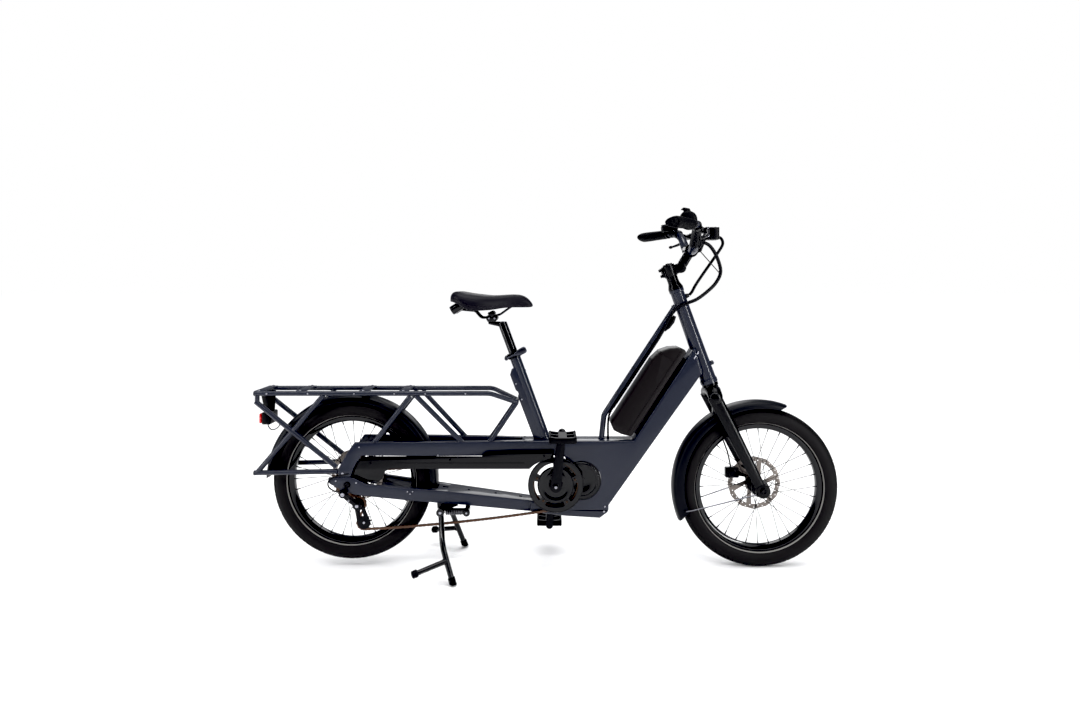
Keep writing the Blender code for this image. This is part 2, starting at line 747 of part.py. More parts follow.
def make_pedal(side, tip):
    """Platform pedal: a cage with two windows, bored for its pin."""
    name = "pedal_right" if side == RIGHT else "pedal_left"
    half_long, half_thick = 0.043, 0.0105
    near, far = 0.0870, 0.1830
    low_y, high_y = sorted((side * near, side * far))
    x, z = tip
    outline = [(x - half_long, z - half_thick * 0.8), (x - half_long * 0.8, z - half_thick),
               (x + half_long * 0.8, z - half_thick), (x + half_long, z - half_thick * 0.8),
               (x + half_long, z + half_thick), (x + half_long * 0.45, z + half_thick * 0.7),
               (x - half_long * 0.45, z + half_thick * 0.7), (x - half_long, z + half_thick)]
    body = side_plate(name, [outline], far - near, (low_y + high_y) / 2, BLACK_PLASTIC, tip)
    for shift in (-0.0245, 0.0245):
        for first, last in ((0.012, 0.044), (0.052, 0.084)):
            ends = sorted((side * (near + first), side * (near + last)))
            low = at(x + shift - 0.0115, z - 0.030, ends[0])
            high = at(x + shift + 0.0115, z + 0.030, ends[1])
            cut(body, block("%s_window_%g_%g" % (name, shift, first), low, high, BLACK_PLASTIC))
    pin_hole = rod(name + "_bore", at(x, z, side * (near - 0.01)), at(x, z, side * 0.1785),
                   (0.0045 + RUNNING_GAP) / math.cos(math.pi / 8), BLACK_PLASTIC, 8)
    cut(body, pin_hole)
    return body


def motor_outline(extra):
    """Round motor with its neck to the crank bearing, as one tangent hull."""
    small = 0.031 + extra
    large = MOTOR_RADIUS + extra
    across = Vector((MOTOR_X - CRANK_X, MOTOR_Z - CRANK_Z))
    heading = math.degrees(math.atan2(across.y, across.x))
    half = math.degrees(math.acos((large - small) / across.length))
    outline = arc((MOTOR_X, MOTOR_Z), large, heading + half - 180, heading + 180 - half, 14)
    outline += arc((CRANK_X, CRANK_Z), small, heading + 180 - half, heading + 180 + half, 6)
    return outline


def make_motor():
    """Mid motor in its cast case, bored for the crank spindle, with a stepped right cover."""
    case = side_plate("motor_housing", [motor_outline(0.0)], 2 * MOTOR_HALF_WIDTH, 0.0, BLACK_METAL)
    cover = turned("motor_cover",
                   [(0.0, 0.0), (MOTOR_RADIUS - 0.004, 0.0), (MOTOR_RADIUS - 0.004, 0.0380),
                    (MOTOR_RADIUS - 0.008, 0.0400), (0.048, 0.0400), (0.046, 0.0390), (0.0, 0.0390)],
                   MOTOR_AXIS, (0, -1, 0), 24, BLACK_METAL)
    bearing = rod("bearing_nose", at(CRANK_X, CRANK_Z, -0.0428), at(CRANK_X, CRANK_Z, 0.0560), 0.0225,
                  BLACK_METAL,
                  20)
    add(case, cover, bearing)
    cut(case, rod("spindle_bore", at(CRANK_X, CRANK_Z, -0.09), at(CRANK_X, CRANK_Z, 0.09),
                  SPINDLE_RADIUS + RUNNING_GAP, BLACK_METAL, 16))
    return case


def make_chain_guard():
    """Moulded cover outside the upper chain run, open towards the wheel."""
    outer = [(0.0150, 0.3100), (0.0222, 0.3310), (0.0455, 0.3708), (0.4310, 0.3708), (0.4470, 0.3850),
             (0.6650, 0.3850), (0.6650, 0.3690), (0.6300, 0.3590), (0.6020, 0.3440), (0.5870, 0.3310),
             (0.1350, 0.3310), (0.1180, 0.3220), (0.1120, 0.3000), (0.1000, 0.2905), (0.0600, 0.2935),
             (0.0360, 0.3075)]
    return side_plate("chain_guard", [outer], 0.0022, -0.0602, BLACK_PLASTIC)


def make_derailleur():
    """Knuckle bolted outside the hanger and a slanted link body down to the cage's pivot."""
    upper = at(-0.010, 0.2560)
    sections = []
    for x, z, near, far, half in ((-0.012, 0.2660, -0.0738, -0.0860, 0.010),
                                  (-0.006, 0.2450, -0.0738, -0.0870, 0.013),
                                  (0.012, 0.2280, -0.0640, -0.0800, 0.013),
                                  (0.030, 0.2150, -0.0503, -0.0690, 0.012),
                                  (0.036, 0.2040, -0.0503, -0.0670, 0.009)):
        sections.append([at(x - half, z, near), at(x + half, z, near), at(x + half, z, far),
                         at(x - half, z, far)])
    body = lofted("derailleur", sections, BLACK_METAL)
    add(body, rod("hanger_bolt", upper + Vector((0, -0.080, 0)), upper + Vector((0, -0.090, 0)), 0.006,
                  BLACK_METAL))
    return body


def make_cage():
    """Two cage plates joined by the pulleys' pins."""
    guide = Vector((GUIDE_PULLEY_X, GUIDE_PULLEY_Z))
    tension = Vector((TENSION_PULLEY_X, TENSION_PULLEY_Z))
    heading = math.degrees(math.atan2(tension.y - guide.y, tension.x - guide.x))
    outline = arc(guide, 0.0085, heading + 90, heading + 270, 4)
    outline += arc(tension, 0.0105, heading - 90, heading + 90, 5)
    cage = side_plate("derailleur_cage", [outline], 0.0013, CHAIN_LINE - 0.0043, BLACK_METAL, tuple(guide))
    inner = side_plate("cage_inner", [outline], 0.0013, CHAIN_LINE + 0.0047, BLACK_METAL)
    add(cage, inner)
    for name, place in (("guide_pin", guide), ("tension_pin", tension)):
        add(cage, rod(name, at(*place, CHAIN_LINE - 0.0040), at(*place, CHAIN_LINE + 0.0045), 0.0025,
                      BLACK_METAL, 8))
    return cage


def make_pulley(name, x, z):
    outlines = [toothed_outline((x, z), PULLEY_TEETH), circle((x, z), 0.0025 + RUNNING_GAP, 8)]
    return side_plate(name, outlines, 0.0024, CHAIN_LINE, BLACK_PLASTIC, (x, z))


# Frame

def make_head_tube():
    """Head tube with bearing cups in its ends, a front boss and a cable port."""
    bore = STEERER_RADIUS + RUNNING_GAP
    lip = 0.0022
    profile = [(bore, 0.0), (bore, 0.015), (0.0190, 0.018), (0.0190, HEAD_LENGTH - 0.018),
               (bore, HEAD_LENGTH - 0.015), (bore, HEAD_LENGTH), (HEAD_TOP_RADIUS + lip, HEAD_LENGTH),
               (HEAD_TOP_RADIUS + lip, HEAD_LENGTH - 0.010), (HEAD_TOP_RADIUS, HEAD_LENGTH - 0.012),
               (HEAD_FOOT_RADIUS, 0.013), (HEAD_FOOT_RADIUS + lip, 0.011), (HEAD_FOOT_RADIUS + lip, 0.0)]
    up = steer_point(1.0) - steer_point(0.0)
    head = turned("head_tube", profile, steer_point(0.0), up, 16, FRAME_PAINT)
    boss = rod("front_boss", steer_point(0.060, 0.0215), steer_point(0.060, 0.0360), 0.0075, FRAME_PAINT, 8)
    port = rod("cable_port", steer_point(0.297, 0.0205), steer_point(0.297, 0.0335), 0.0070, FRAME_PAINT, 8)
    add(head, boss, port)
    return head


def head_tube_cutter(name):
    swell = (HEAD_FOOT_RADIUS - HEAD_TOP_RADIUS) / (HEAD_LENGTH - 0.025)
    low = (HEAD_FOOT_RADIUS + swell * 0.113) / math.cos(math.pi / 16) + SEAT_GAP
    high = (HEAD_TOP_RADIUS - swell * 0.112) / math.cos(math.pi / 16) + SEAT_GAP
    return rod(name, steer_point(-0.1), steer_point(HEAD_LENGTH + 0.1), low, FRAME_PAINT, 16, high)


DOWN_TUBE_TOP = (0.132, -0.012)
DOWN_TUBE_LOW = (0.047, -0.015)
BODY_FRONT_X = HEAD_BASE_X - 0.256
# The body's toe stands this far ahead of the motor's axis, and this far behind the head tube's foot.
MOTOR_TOE_REACH = 0.089
HEAD_TOE_REACH = 0.338


def make_down_tube():
    """Box body that cradles the motor and runs on up as the down tube, with the battery's rail."""
    top = side_of(steer_point(*DOWN_TUBE_TOP))
    low = side_of(steer_point(*DOWN_TUBE_LOW))
    toe_x = max(MOTOR_X + MOTOR_TOE_REACH, HEAD_BASE_X - HEAD_TOE_REACH)
    outline = [(BODY_REAR_X, BODY_TOP), (BODY_FRONT_X, BODY_TOP), top, low, (toe_x, 0.206), (toe_x, 0.186),
               (toe_x - 0.029, 0.163), (0.700, 0.170), (0.5875, 0.184), (0.5875, 0.220), (0.690, 0.213),
               (0.745, 0.285), (0.700, 0.366), (BODY_REAR_X, 0.372)]
    body = side_plate("down_tube", [outline], 2 * BODY_HALF_WIDTH, 0.0, FRAME_PAINT)
    soften(body, 0.005, 2)
    cut(body, side_plate("motor_pocket", [motor_outline(SEAT_GAP * 2)], 0.2, 0.0, FRAME_PAINT))
    cut(body, head_tube_cutter("head_tube_seat"))
    foot = Vector((BODY_FRONT_X, BODY_TOP))
    along = (Vector(top) - foot).normalized()
    square = Vector((-along.y, along.x))
    first = foot + along * 0.020
    last = foot + along * 0.318
    strip = [first - square * 0.004, last - square * 0.004, last + square * BATTERY_RAIL_HEIGHT,
             first + square * BATTERY_RAIL_HEIGHT]
    add(body, side_plate("battery_rail", [[tuple(point) for point in strip]], 0.040, 0.0, BLACK_METAL))
    return body


BATTERY_RAIL_HEIGHT = 0.012


def make_battery():
    """Battery case along the down tube, seated on its rail."""
    foot = Vector((BODY_FRONT_X, BODY_TOP))
    top = Vector(side_of(steer_point(*DOWN_TUBE_TOP)))
    along = (top - foot).normalized()
    square = Vector((-along.y, along.x))
    lift = BATTERY_RAIL_HEIGHT + SEAT_GAP

    def spot(run, rise):
        return tuple(foot + along * run + square * (lift + rise))

    outline = [spot(0.0060, 0.0), spot(0.3380, 0.0), spot(0.3430, 0.005), spot(0.3375, 0.028),
               spot(0.3230, 0.0500), spot(0.2990, 0.0720), spot(0.2700, 0.0832), spot(0.0062, 0.0832),
               spot(-0.0081, 0.0613), spot(-0.0050, 0.0355)]
    case = side_plate("battery", [outline], 0.080, 0.0, BLACK_PLASTIC)
    soften(case, 0.009, 2)
    return case


def make_seat_tube():
    """Seat tube with a flat gusset behind it, bored for the seatpost."""
    tube_end = SEAT_TUBE_LENGTH
    shaft = turned("seat_tube",
                   [(SEATPOST_RADIUS + SEAT_GAP, 0.030), (SEATPOST_RADIUS + SEAT_GAP, tube_end),
                    (SEAT_TUBE_RADIUS, tube_end), (SEAT_TUBE_RADIUS, -0.020), (0.0, -0.020), (0.0, 0.030)],
                   seat_point(0.0), seat_point(1.0) - seat_point(0.0), 20, FRAME_PAINT)
    outline = [seat_point(-0.012, 0.0160), seat_point(-0.012, 0.0285), seat_point(0.1631, 0.0346),
               seat_point(0.2392, 0.0349), seat_point(0.2530, 0.0250), seat_point(0.2600, 0.0160)]
    gusset = side_plate("seat_gusset", [[side_of(point) for point in outline]], 0.012, 0.0, FRAME_PAINT)
    add(shaft, gusset)
    floor = block("body_top_seat", at(0.4, BODY_TOP - 0.1, -0.1), at(0.8, BODY_TOP + SEAT_GAP, 0.1),
                  FRAME_PAINT)
    bridge = rod("rack_bridge_seat", at(BRIDGE_X, BRIDGE_Z, -0.1), at(BRIDGE_X, BRIDGE_Z, 0.1), 0.0077,
                 FRAME_PAINT, 12)
    cut(shaft, floor, bridge)
    return shaft


TOP_STAY_BEND_X = HEAD_BASE_X - 0.351
TOP_STAY_BEND_Z = 0.494


def make_top_stay():
    """Slim stay from the top of the head tube, down behind the battery to the body."""
    high = steer_point(0.278, -0.0113)
    bend = at(TOP_STAY_BEND_X, TOP_STAY_BEND_Z)
    foot = at(TOP_STAY_BEND_X - 0.008, BODY_TOP - 0.010)
    stay = tube("top_stay", bent([high, bend, foot], 0.040, 4), TOP_STAY_RADIUS, FRAME_PAINT, 10)
    cut(stay, head_tube_cutter("top_stay_head_cut"))
    cut(stay, block("top_stay_floor", at(0.7, BODY_TOP - 0.1, -0.1), at(1.0, BODY_TOP + SEAT_GAP, 0.1),
                    FRAME_PAINT))
    return stay


def beam_ring(upper, lower, side, inner, outer):
    """Rectangular section through two side-view points, between its inner and outer face."""
    return [at(*upper, side * inner), at(*upper, side * outer), at(*lower, side * outer),
            at(*lower, side * inner)]


def make_upper_beam(side):
    """Upper side beam: a leg up from the dropout, then forward to the body, with the rack's V stays."""
    name = "upper_beam_right" if side == RIGHT else "upper_beam_left"
    stations = [
        ((-0.0300, 0.3085), (0.0112, 0.3085), 0.0575, 0.0730),
        ((-0.0310, 0.3320), (0.0180, 0.3310), 0.0520, 0.0700),
        ((0.0200, 0.4170), (0.0420, 0.3740), 0.0520, 0.0640),
        ((0.1200, 0.4170), (0.1200, 0.3730), 0.0410, 0.0600),
        ((0.2500, 0.4170), (0.2500, 0.3715), 0.0400, 0.0600),
        ((0.4310, 0.4170), (0.4310, 0.3700), 0.0300, 0.0490),
        ((BODY_REAR_X - SEAT_GAP, BODY_TOP), (BODY_REAR_X - SEAT_GAP, 0.3705), 0.0180, BODY_HALF_WIDTH),
    ]
    beam = lofted(name, [beam_ring(*station[:2], side, *station[2:]) for station in stations], FRAME_PAINT)
    rail_y = side * RACK_RAIL_Y
    rear_stay = tube(name + "_stay_rear",
                     [at(0.2010, RACK_RAIL_Z, rail_y), at(0.0820, 0.4080, side * 0.0520)], RACK_STAY_RADIUS,
                     FRAME_PAINT)
    front_stay = tube(name + "_stay_front",
                      [at(0.2190, RACK_RAIL_Z, rail_y), at(0.3650, 0.4080, side * 0.0440)], RACK_STAY_RADIUS,
                      FRAME_PAINT)
    add(beam, rear_stay, front_stay)
    cut(beam, tube(name + "_rail_cut", [at(0.1, RACK_RAIL_Z, rail_y), at(0.32, RACK_RAIL_Z, rail_y)],
                   RACK_RAIL_RADIUS + SEAT_GAP * 2, FRAME_PAINT, 12))
    return beam


def lower_beam_ring(x, top, bottom, side, inner, outer):
    return beam_ring((x, top), (x, bottom), side, inner, outer)


def make_lower_beams():
    """Both lower beams with their dropouts, the box that joins them and the stand's bracket."""
    stations = [(-0.0610, 0.3065, 0.2930, 0.0683, 0.0735), (-0.0300, 0.3080, 0.2720, 0.0678, 0.0735),
                (0.0020, 0.3080, 0.2600, 0.0678, 0.0735), (0.0230, 0.3040, 0.2510, 0.0670, 0.0735),
                (0.0600, 0.2830, 0.2460, 0.0580, 0.0725),
                (0.1810, 0.2690, 0.2300, 0.0440, 0.0620), (0.3200, 0.2540, 0.2130, 0.0200, 0.0460)]
    sides = []
    for side in (RIGHT, LEFT):
        rings = [lower_beam_ring(x, top, bottom, side, inner, outer) for x, top, bottom, inner,
                 outer in stations]
        sides.append(lofted("lower_beam_%d" % side, rings, FRAME_PAINT))
    box_stations = [(0.2820, 0.2580, 0.2180, 0.0490), (0.3200, 0.2538, 0.2140, 0.0460),
                    (0.5868, 0.2200, 0.1840, 0.0310)]
    rings = []
    for x, top, bottom, half in box_stations:
        rings.append([at(x, top, -half), at(x, top, half), at(x, bottom, half), at(x, bottom, -half)])
    beams = lofted("lower_beams", rings, FRAME_PAINT)
    add(beams, *sides)
    for x, width in ((0.306, 0.020), (0.384, 0.008), (0.473, 0.008), (0.556, 0.010)):
        slope = 0.2538 - (x - 0.320) * 0.1267
        cut(beams,
            block("drain_%g" % x, at(x - width / 2, slope - 0.010, -0.006),
                  at(x + width / 2, slope + 0.02, 0.006), FRAME_PAINT))
    hanger = side_plate("hanger", [[(-0.026, 0.275), (0.008, 0.266), (0.001, 0.248), (-0.020, 0.248)]],
                        0.0055,
                        -0.0705, FRAME_PAINT)
    bracket = block("stand_bracket", at(0.284, 0.2030, -0.0400), at(0.352, 0.2200, 0.0400), BLACK_METAL)
    add(beams, hanger, bracket)
    for side in (RIGHT, LEFT):
        lug = side_plate("stand_lug_%d" % side,
                         [[(0.284, 0.212), (0.286, 0.190), (0.294, 0.182), (0.306, 0.182), (0.316, 0.190),
                           (0.352, 0.206), (0.352, 0.212)]], 0.0060, side * 0.0370, BLACK_METAL)
        add(beams, lug)
    anchor = block("spring_anchor", at(0.3763, 0.1850, -0.0775), at(0.3920, 0.2000, -0.0250), BLACK_METAL)
    riser = block("anchor_riser", at(0.3763, 0.1860, -0.0330), at(0.3920, 0.2200, -0.0230), BLACK_METAL)
    add(beams, anchor, riser)
    cut(beams, rod("stand_bore", STAND_AXIS + Vector((0, -0.1, 0)), STAND_AXIS + Vector((0, 0.1, 0)),
                   0.0080 + RUNNING_GAP, BLACK_METAL, 12))
    cut(beams, rod("rear_axle_bore", REAR_AXLE + Vector((0, -0.1, 0)), REAR_AXLE + Vector((0, 0.1, 0)),
                   AXLE_RADIUS + SEAT_GAP, FRAME_PAINT, 12))
    return beams


def make_rack_deck():
    """Two rack rails with their front struts, the bridge at the seat tube and four slats."""
    deck = None
    for side in (RIGHT, LEFT):
        rail = [at(-0.304, RACK_RAIL_Z, side * RACK_RAIL_Y), at(0.460, RACK_RAIL_Z, side * RACK_RAIL_Y),
                at(BRIDGE_X, BRIDGE_Z, side * 0.026)]
        path = bent(rail, 0.050, 3)
        pipe = tube("rack_deck" if deck is None else "rack_rail_left", path, RACK_RAIL_RADIUS, FRAME_PAINT,
                    10)
        if deck is None:
            deck = pipe
        else:
            add(deck, pipe)
    bridge = rod("rack_bridge", at(BRIDGE_X, BRIDGE_Z, -0.034), at(BRIDGE_X, BRIDGE_Z, 0.034), 0.0070,
                 FRAME_PAINT, 10)
    add(deck, bridge)
    for x in SLAT_PLACES:
        half = SLAT_WIDTH / 2
        slat = block("slat_%g" % x, at(x - half, RACK_RAIL_Z + 0.0015, -RACK_RAIL_Y),
                     at(x + half, RACK_RAIL_Z + 0.0055, RACK_RAIL_Y), FRAME_PAINT)
        add(deck, slat)
    for side in (RIGHT, LEFT):
        strut = tube("front_strut_%d" % side,
                     [at(BRIDGE_X - 0.002, BRIDGE_Z - 0.003, side * 0.027), at(0.4595, 0.405, side * 0.036)],
                     RACK_STAY_RADIUS, FRAME_PAINT)
        add(deck, strut)
    cut(deck, block("beam_top_seat", at(0.43, 0.36, -0.1), at(0.5, 0.4170 + SEAT_GAP, 0.1), FRAME_PAINT))
    return deck


def make_rack_stay(side):
    """Crossed stays behind the wheel and the low rail that they stand on."""
    name = "rack_stay_right" if side == RIGHT else "rack_stay_left"
    y = side * RACK_RAIL_Y
    foot_y = side * 0.0610
    rail = tube(name, [at(-0.3060, 0.3175, y), at(-0.0420, 0.3230, foot_y)], RACK_STAY_RADIUS, FRAME_PAINT)
    forward = tube(name + "_forward", [at(-0.2967, 0.3178, y), at(-0.0811, RACK_RAIL_Z, y)],
                   RACK_STAY_RADIUS, FRAME_PAINT)
    backward = tube(name + "_backward", [at(-0.3010, 0.5483, y), at(-0.0370, 0.3370, foot_y)],
                    RACK_STAY_RADIUS,
                    FRAME_PAINT)
    tab = tube(name + "_tab", [at(-0.2960, 0.5430, y), at(-0.2960, RACK_RAIL_Z, y)], RACK_STAY_RADIUS * 0.9,
               FRAME_PAINT)
    foot = tube(name + "_foot", [at(-0.0500, 0.3240, side * 0.0600), at(-0.0380, 0.3330, side * 0.0612)],
                RACK_STAY_RADIUS, FRAME_PAINT)
    add(rail, forward, backward, tab, foot)
    cut(rail, tube(name + "_rail_cut", [at(-0.4, RACK_RAIL_Z, y), at(0.0, RACK_RAIL_Z, y)],
                   RACK_RAIL_RADIUS + SEAT_GAP * 2, FRAME_PAINT, 12))
    cut(rail, block(name + "_leg_cut", at(-0.0318, 0.29, -0.1), at(0.0, 0.36, 0.1), FRAME_PAINT))
    return rail


def make_fender(name, axle, outer, first, last, first_depth, last_depth):
    """Crowned strip round the tyre between two angles in degrees, its walls deepening along it."""
    steps = 16
    shares = ((-1.0, 1.0), (-0.94, 0.45), (-0.62, 0.10), (0.0, 0.0), (0.62, 0.10), (0.94, 0.45), (1.0, 1.0))
    points = []
    faces = []
    for step in range(steps + 1):
        middle = math.radians(first + (last - first) * step / steps)
        depth = first_depth + (last_depth - first_depth) * step / steps
        lean = {0: FENDER_END_LEAN, steps: -FENDER_END_LEAN}.get(step, 0.0)
        for across, drop in shares:
            angle = middle + lean * drop
            radius = outer - depth * drop
            points.append((radius * math.cos(angle), radius * math.sin(angle), across * FENDER_HALF_WIDTH))
    row = len(shares)
    for step in range(steps):
        for index in range(row - 1):
            corner = step * row + index
            faces.append((corner, corner + 1, corner + row + 1, corner + row))
    mesh = bpy.data.meshes.new(name)
    mesh.from_pydata(points, [], faces)
    strip = new_object(name, mesh, BLACK_PLASTIC, axle, SIDE_TURN)
    wall = strip.modifiers.new("wall", "SOLIDIFY")
    wall.thickness = FENDER_WALL
    wall.offset = 1.0
    return strip


def make_rear_fender():
    fender = make_fender("rear_fender", REAR_AXLE, REAR_FENDER_RADIUS, 1.0, 179.0, 0.024, 0.024)
    spacer = block("fender_spacer", at(0.040, REAR_AXLE_Z + REAR_FENDER_RADIUS - 0.006, -0.010),
                   at(0.056, RACK_RAIL_Z + 0.0015 - SEAT_GAP, 0.010), BLACK_PLASTIC)
    add(fender, spacer)
    return fender


def make_front_fender():
    fender = make_fender("front_fender", FRONT_AXLE, FRONT_FENDER_RADIUS, 71.0, 203.0, 0.022, 0.040)
    axle_x, axle_z = side_of(FRONT_AXLE)
    for side in (RIGHT, LEFT):
        edge = at(axle_x - 0.2480, axle_z - 0.074, side * 0.0362)
        eye = at(axle_x - 0.022, axle_z - 0.008, side * 0.0658)
        stay = tube("fender_stay_%d" % side, [edge, edge.lerp(eye, 0.10) + Vector((0, side * 0.004, 0)), eye],
                    0.0022, BLACK_METAL, 6)
        add(fender, stay)
    tab = block("fender_tab", at(axle_x - 0.158, axle_z + 0.236, -0.008),
                at(axle_x - 0.143, axle_z + 0.2980, 0.008), BLACK_METAL)
    add(fender, tab)
    return fender


def make_tail_light():
    """Rear lamp hung from the last slat, with its short lead looped below."""
    x = SLAT_PLACES[0]
    body = block("tail_light", at(x - 0.0030, 0.4680, -0.0330), at(x + 0.0260, 0.5080, 0.0330),
                 BLACK_PLASTIC)
    soften(body, 0.003)
    hanger = block("lamp_hanger", at(x + 0.0080, 0.4950, -0.0140),
                   at(x + 0.0120, RACK_RAIL_Z + 0.0015 - SEAT_GAP, 0.0140), BLACK_METAL)
    route = [(0.008, 0.474), (0.008, 0.458), (0.020, 0.446), (0.038, 0.452), (0.046, 0.466), (0.036, 0.482),
             (0.016, 0.488)]
    lead = tube("lamp_lead", [at(x + dx, z, -0.004) for dx, z in route], 0.0016, BLACK_PLASTIC, 6)
    add(body, hanger, lead)
    return body


def make_tail_lens():
    x = SLAT_PLACES[0] - 0.0030 - SEAT_GAP
    lens = block("tail_lens", at(x - 0.0090, 0.4720, -0.0300), at(x, 0.5040, 0.0300), RED_LENS)
    soften(lens, 0.0025)
    return lens


def make_rear_caliper():
    """Disc caliper astride the rear rotor, on the left dropout."""
    body = block("rear_caliper", at(0.052, 0.309, 0.0380), at(0.100, 0.341, 0.0580), BLACK_METAL)
    soften(body, 0.003)
    add(body,
        side_plate("rear_caliper_mount",
                   [[(0.0610, 0.2833), (0.0900, 0.2799), (0.0900, 0.3240), (0.0610, 0.3240)]], 0.0055, 0.0590,
                   BLACK_METAL))
    cut(body, side_plate("rear_rotor_slot", [circle((0.0, REAR_AXLE_Z), ROTOR_RADIUS + 0.004, 32)], 0.0040,
                         0.0500,
                         BLACK_METAL))
    return body


# Stand

def make_stand_legs():
    """Cross tube with two splayed legs, rubber feet and foot levers, all one weldment."""
    cross = rod("stand_legs", STAND_AXIS + Vector((0, -0.0645, 0)), STAND_AXIS + Vector((0, 0.0645, 0)),
                0.0080,
                BLACK_METAL, 12)
    for side in (RIGHT, LEFT):
        knee = at(0.316, 0.109, side * 0.130)
        foot = at(0.3555, -0.008, side * STAND_SPREAD)
        leg = tube("leg_%d" % side, bent([at(STAND_X, STAND_Z, side * 0.0600), knee, foot], 0.10, 3),
                   STAND_LEG_RADIUS,
                   BLACK_METAL)
        shoe = rod("shoe_%d" % side, foot.lerp(knee, 0.245), foot, 0.0100, RUBBER, 10)
        heel = at(0.331, 0.067, side * 0.1410)
        pedal = at(0.232, 0.043, side * 0.190)
        lever = rod("heel_%d" % side, heel, pedal, 0.0070, BLACK_METAL, 8)
        cap = rod("heel_cap_%d" % side, pedal.lerp(heel, 0.16), pedal, 0.0105, RUBBER, 10)
        add(cross, leg, shoe, lever, cap)
    knuckle = turned("stand_knuckle", [(0.0, 0.058), (0.0130, 0.058), (0.0130, 0.0780), (0.0, 0.0780)],
                     STAND_AXIS,
                     (0, -1, 0), 12, BLACK_METAL)
    add(cross, knuckle)
    cut(cross, block("ground", at(0.0, -0.1, -0.4), at(0.6, 0.0, 0.4), BLACK_METAL))
    return cross


def make_stand_spring():
    """Tension spring between the knuckle and its anchor, as one unbroken wire."""
    start_x = STAND_X + 0.0130 + SEAT_GAP * 2
    end_x = 0.3763 - SEAT_GAP
    lead = 0.0030
    turn_points = 8
    points = [at(start_x, 0.1925, -0.0700)]
    total = SPRING_TURNS * turn_points
    for index in range(total + 1):
        angle = 2 * math.pi * index / turn_points
        grow = min(1.0, index / 4, (total - index) / 4)
        x = start_x + lead + (end_x - start_x - 2 * lead) * index / total
        radius = SPRING_RADIUS * grow
        points.append(at(x, 0.1925 + radius * math.sin(angle), -0.0700 + radius * math.cos(angle)))
    points.append(at(end_x, 0.1925, -0.0700))
    pitch = (end_x - start_x - 2 * lead) / SPRING_TURNS
    print("stand spring: least gap between turns %.2f mm" % ((pitch - 2 * SPRING_WIRE) * 1000))
    return tube("stand_spring", points, SPRING_WIRE, BRUSHED_STEEL, 6)


# Seat

def make_seat_clamp():
    """Split collar at the top of the seat tube with its lug behind."""
    top = SEAT_TUBE_LENGTH
    bore = SEAT_TUBE_RADIUS + SEAT_GAP
    ring = turned("seat_clamp",
                  [(bore, top - 0.018), (bore, top), (bore + 0.004, top), (bore + 0.004, top - 0.018)],
                  seat_point(0.0), seat_point(1.0) - seat_point(0.0), 20, BLACK_METAL)
    middle = top - 0.009
    lug = rod("clamp_lug", seat_point(middle, 0.0270, -0.0131), seat_point(middle, 0.0270, 0.0140), 0.0065,
              BLACK_METAL, 10)
    web = lofted("clamp_web",
                 [[seat_point(middle + dz, behind, y) for dz,
                   y in ((-0.006, -0.009), (-0.006, 0.009), (0.006, 0.009),
                         (0.006, -0.009))] for behind in (0.0185, 0.0270)], BLACK_METAL)
    add(ring, web, lug)
    return ring


def make_seat_lever():
    """Quick-release lever lying forward along the collar's right side."""
    middle = SEAT_TUBE_LENGTH - 0.010
    start = seat_point(middle, 0.0270, -0.0190)
    tip = seat_at(0.0455, 0.0149, -0.0300)
    mid = start.lerp(tip, 0.5) + Vector((0, -0.0060, 0))
    lever = tube("seat_clamp_lever", [start, start.lerp(mid, 0.5) + Vector((0, -0.003, 0)), mid, tip],
                 0.0040, ALUMINIUM, 8,
                 [0.0055, 0.0042, 0.0040, 0.0048])
    return lever


def make_seatpost():
    """Straight post with a head set back from its top."""
    bottom = SEAT_TUBE_LENGTH - 0.112
    top = SEAT_TUBE_LENGTH + SEATPOST_REACH
    post = rod("seatpost", seat_point(bottom), seat_point(top), SEATPOST_RADIUS, BLACK_METAL, 16)
    deck = 0.1029
    head = [seat_at(-0.0875, deck), seat_at(-0.0875, deck - 0.008), seat_at(-0.0675, deck - 0.016),
            seat_at(-0.0495, deck - 0.026),
            seat_at(-0.0315, deck - 0.030), seat_at(-0.0285, deck - 0.010), seat_at(-0.0415, deck)]
    add(post, side_plate("post_head", [[side_of(point) for point in head]], 0.024, 0.0, BLACK_METAL))
    cut(post, block("deck_plane", seat_at(-0.1315, deck - 0.00001, -0.1), seat_at(0.0185, deck + 0.05, 0.1),
                    BLACK_METAL))
    return post


SADDLE_STUBS = ((-0.0055, 0.1509, 0.1759, 0.0045), (-0.1565, 0.1399, 0.1699, 0.0060))


def make_saddle_rails():
    """Two rails bridged by the clamp, with two rubber bumpers under the tail."""
    route = [(-0.0015, 0.1559), (-0.0235, 0.1409), (-0.0398, 0.1292), (-0.0517, 0.1244), (-0.0826, 0.1179),
             (-0.1040, 0.1179), (-0.1235, 0.1374), (-0.1365, 0.1399), (-0.1865, 0.1449)]
    rails = tube("saddle_rails", [seat_at(x, z, -0.0220) for x, z in route], 0.0036, BLACK_METAL, 8)
    add(rails, tube("rail_left", [seat_at(x, z, 0.0220) for x, z in route], 0.0036, BLACK_METAL, 8))
    for side in (RIGHT, LEFT):
        add(rails,
            rod("bumper_%d" % side, seat_at(-0.1755, 0.1459, side * 0.0310),
                seat_at(-0.1975, 0.1349, side * 0.0310), 0.0114, RUBBER, 12))
        for x, low, high, radius in SADDLE_STUBS:
            add(rails,
                rod("stub_%d_%g" % (side, x), seat_at(x, low, side * 0.0220), seat_at(x, high, side * 0.0220),
                    radius, BLACK_METAL, 10))
    clamp = block("rail_clamp", seat_at(-0.0875, 0.1032, -0.0280), seat_at(-0.0540, 0.1349, 0.0280),
                  BLACK_METAL)
    soften(clamp, 0.004)
    add(rails, clamp)
    return rails


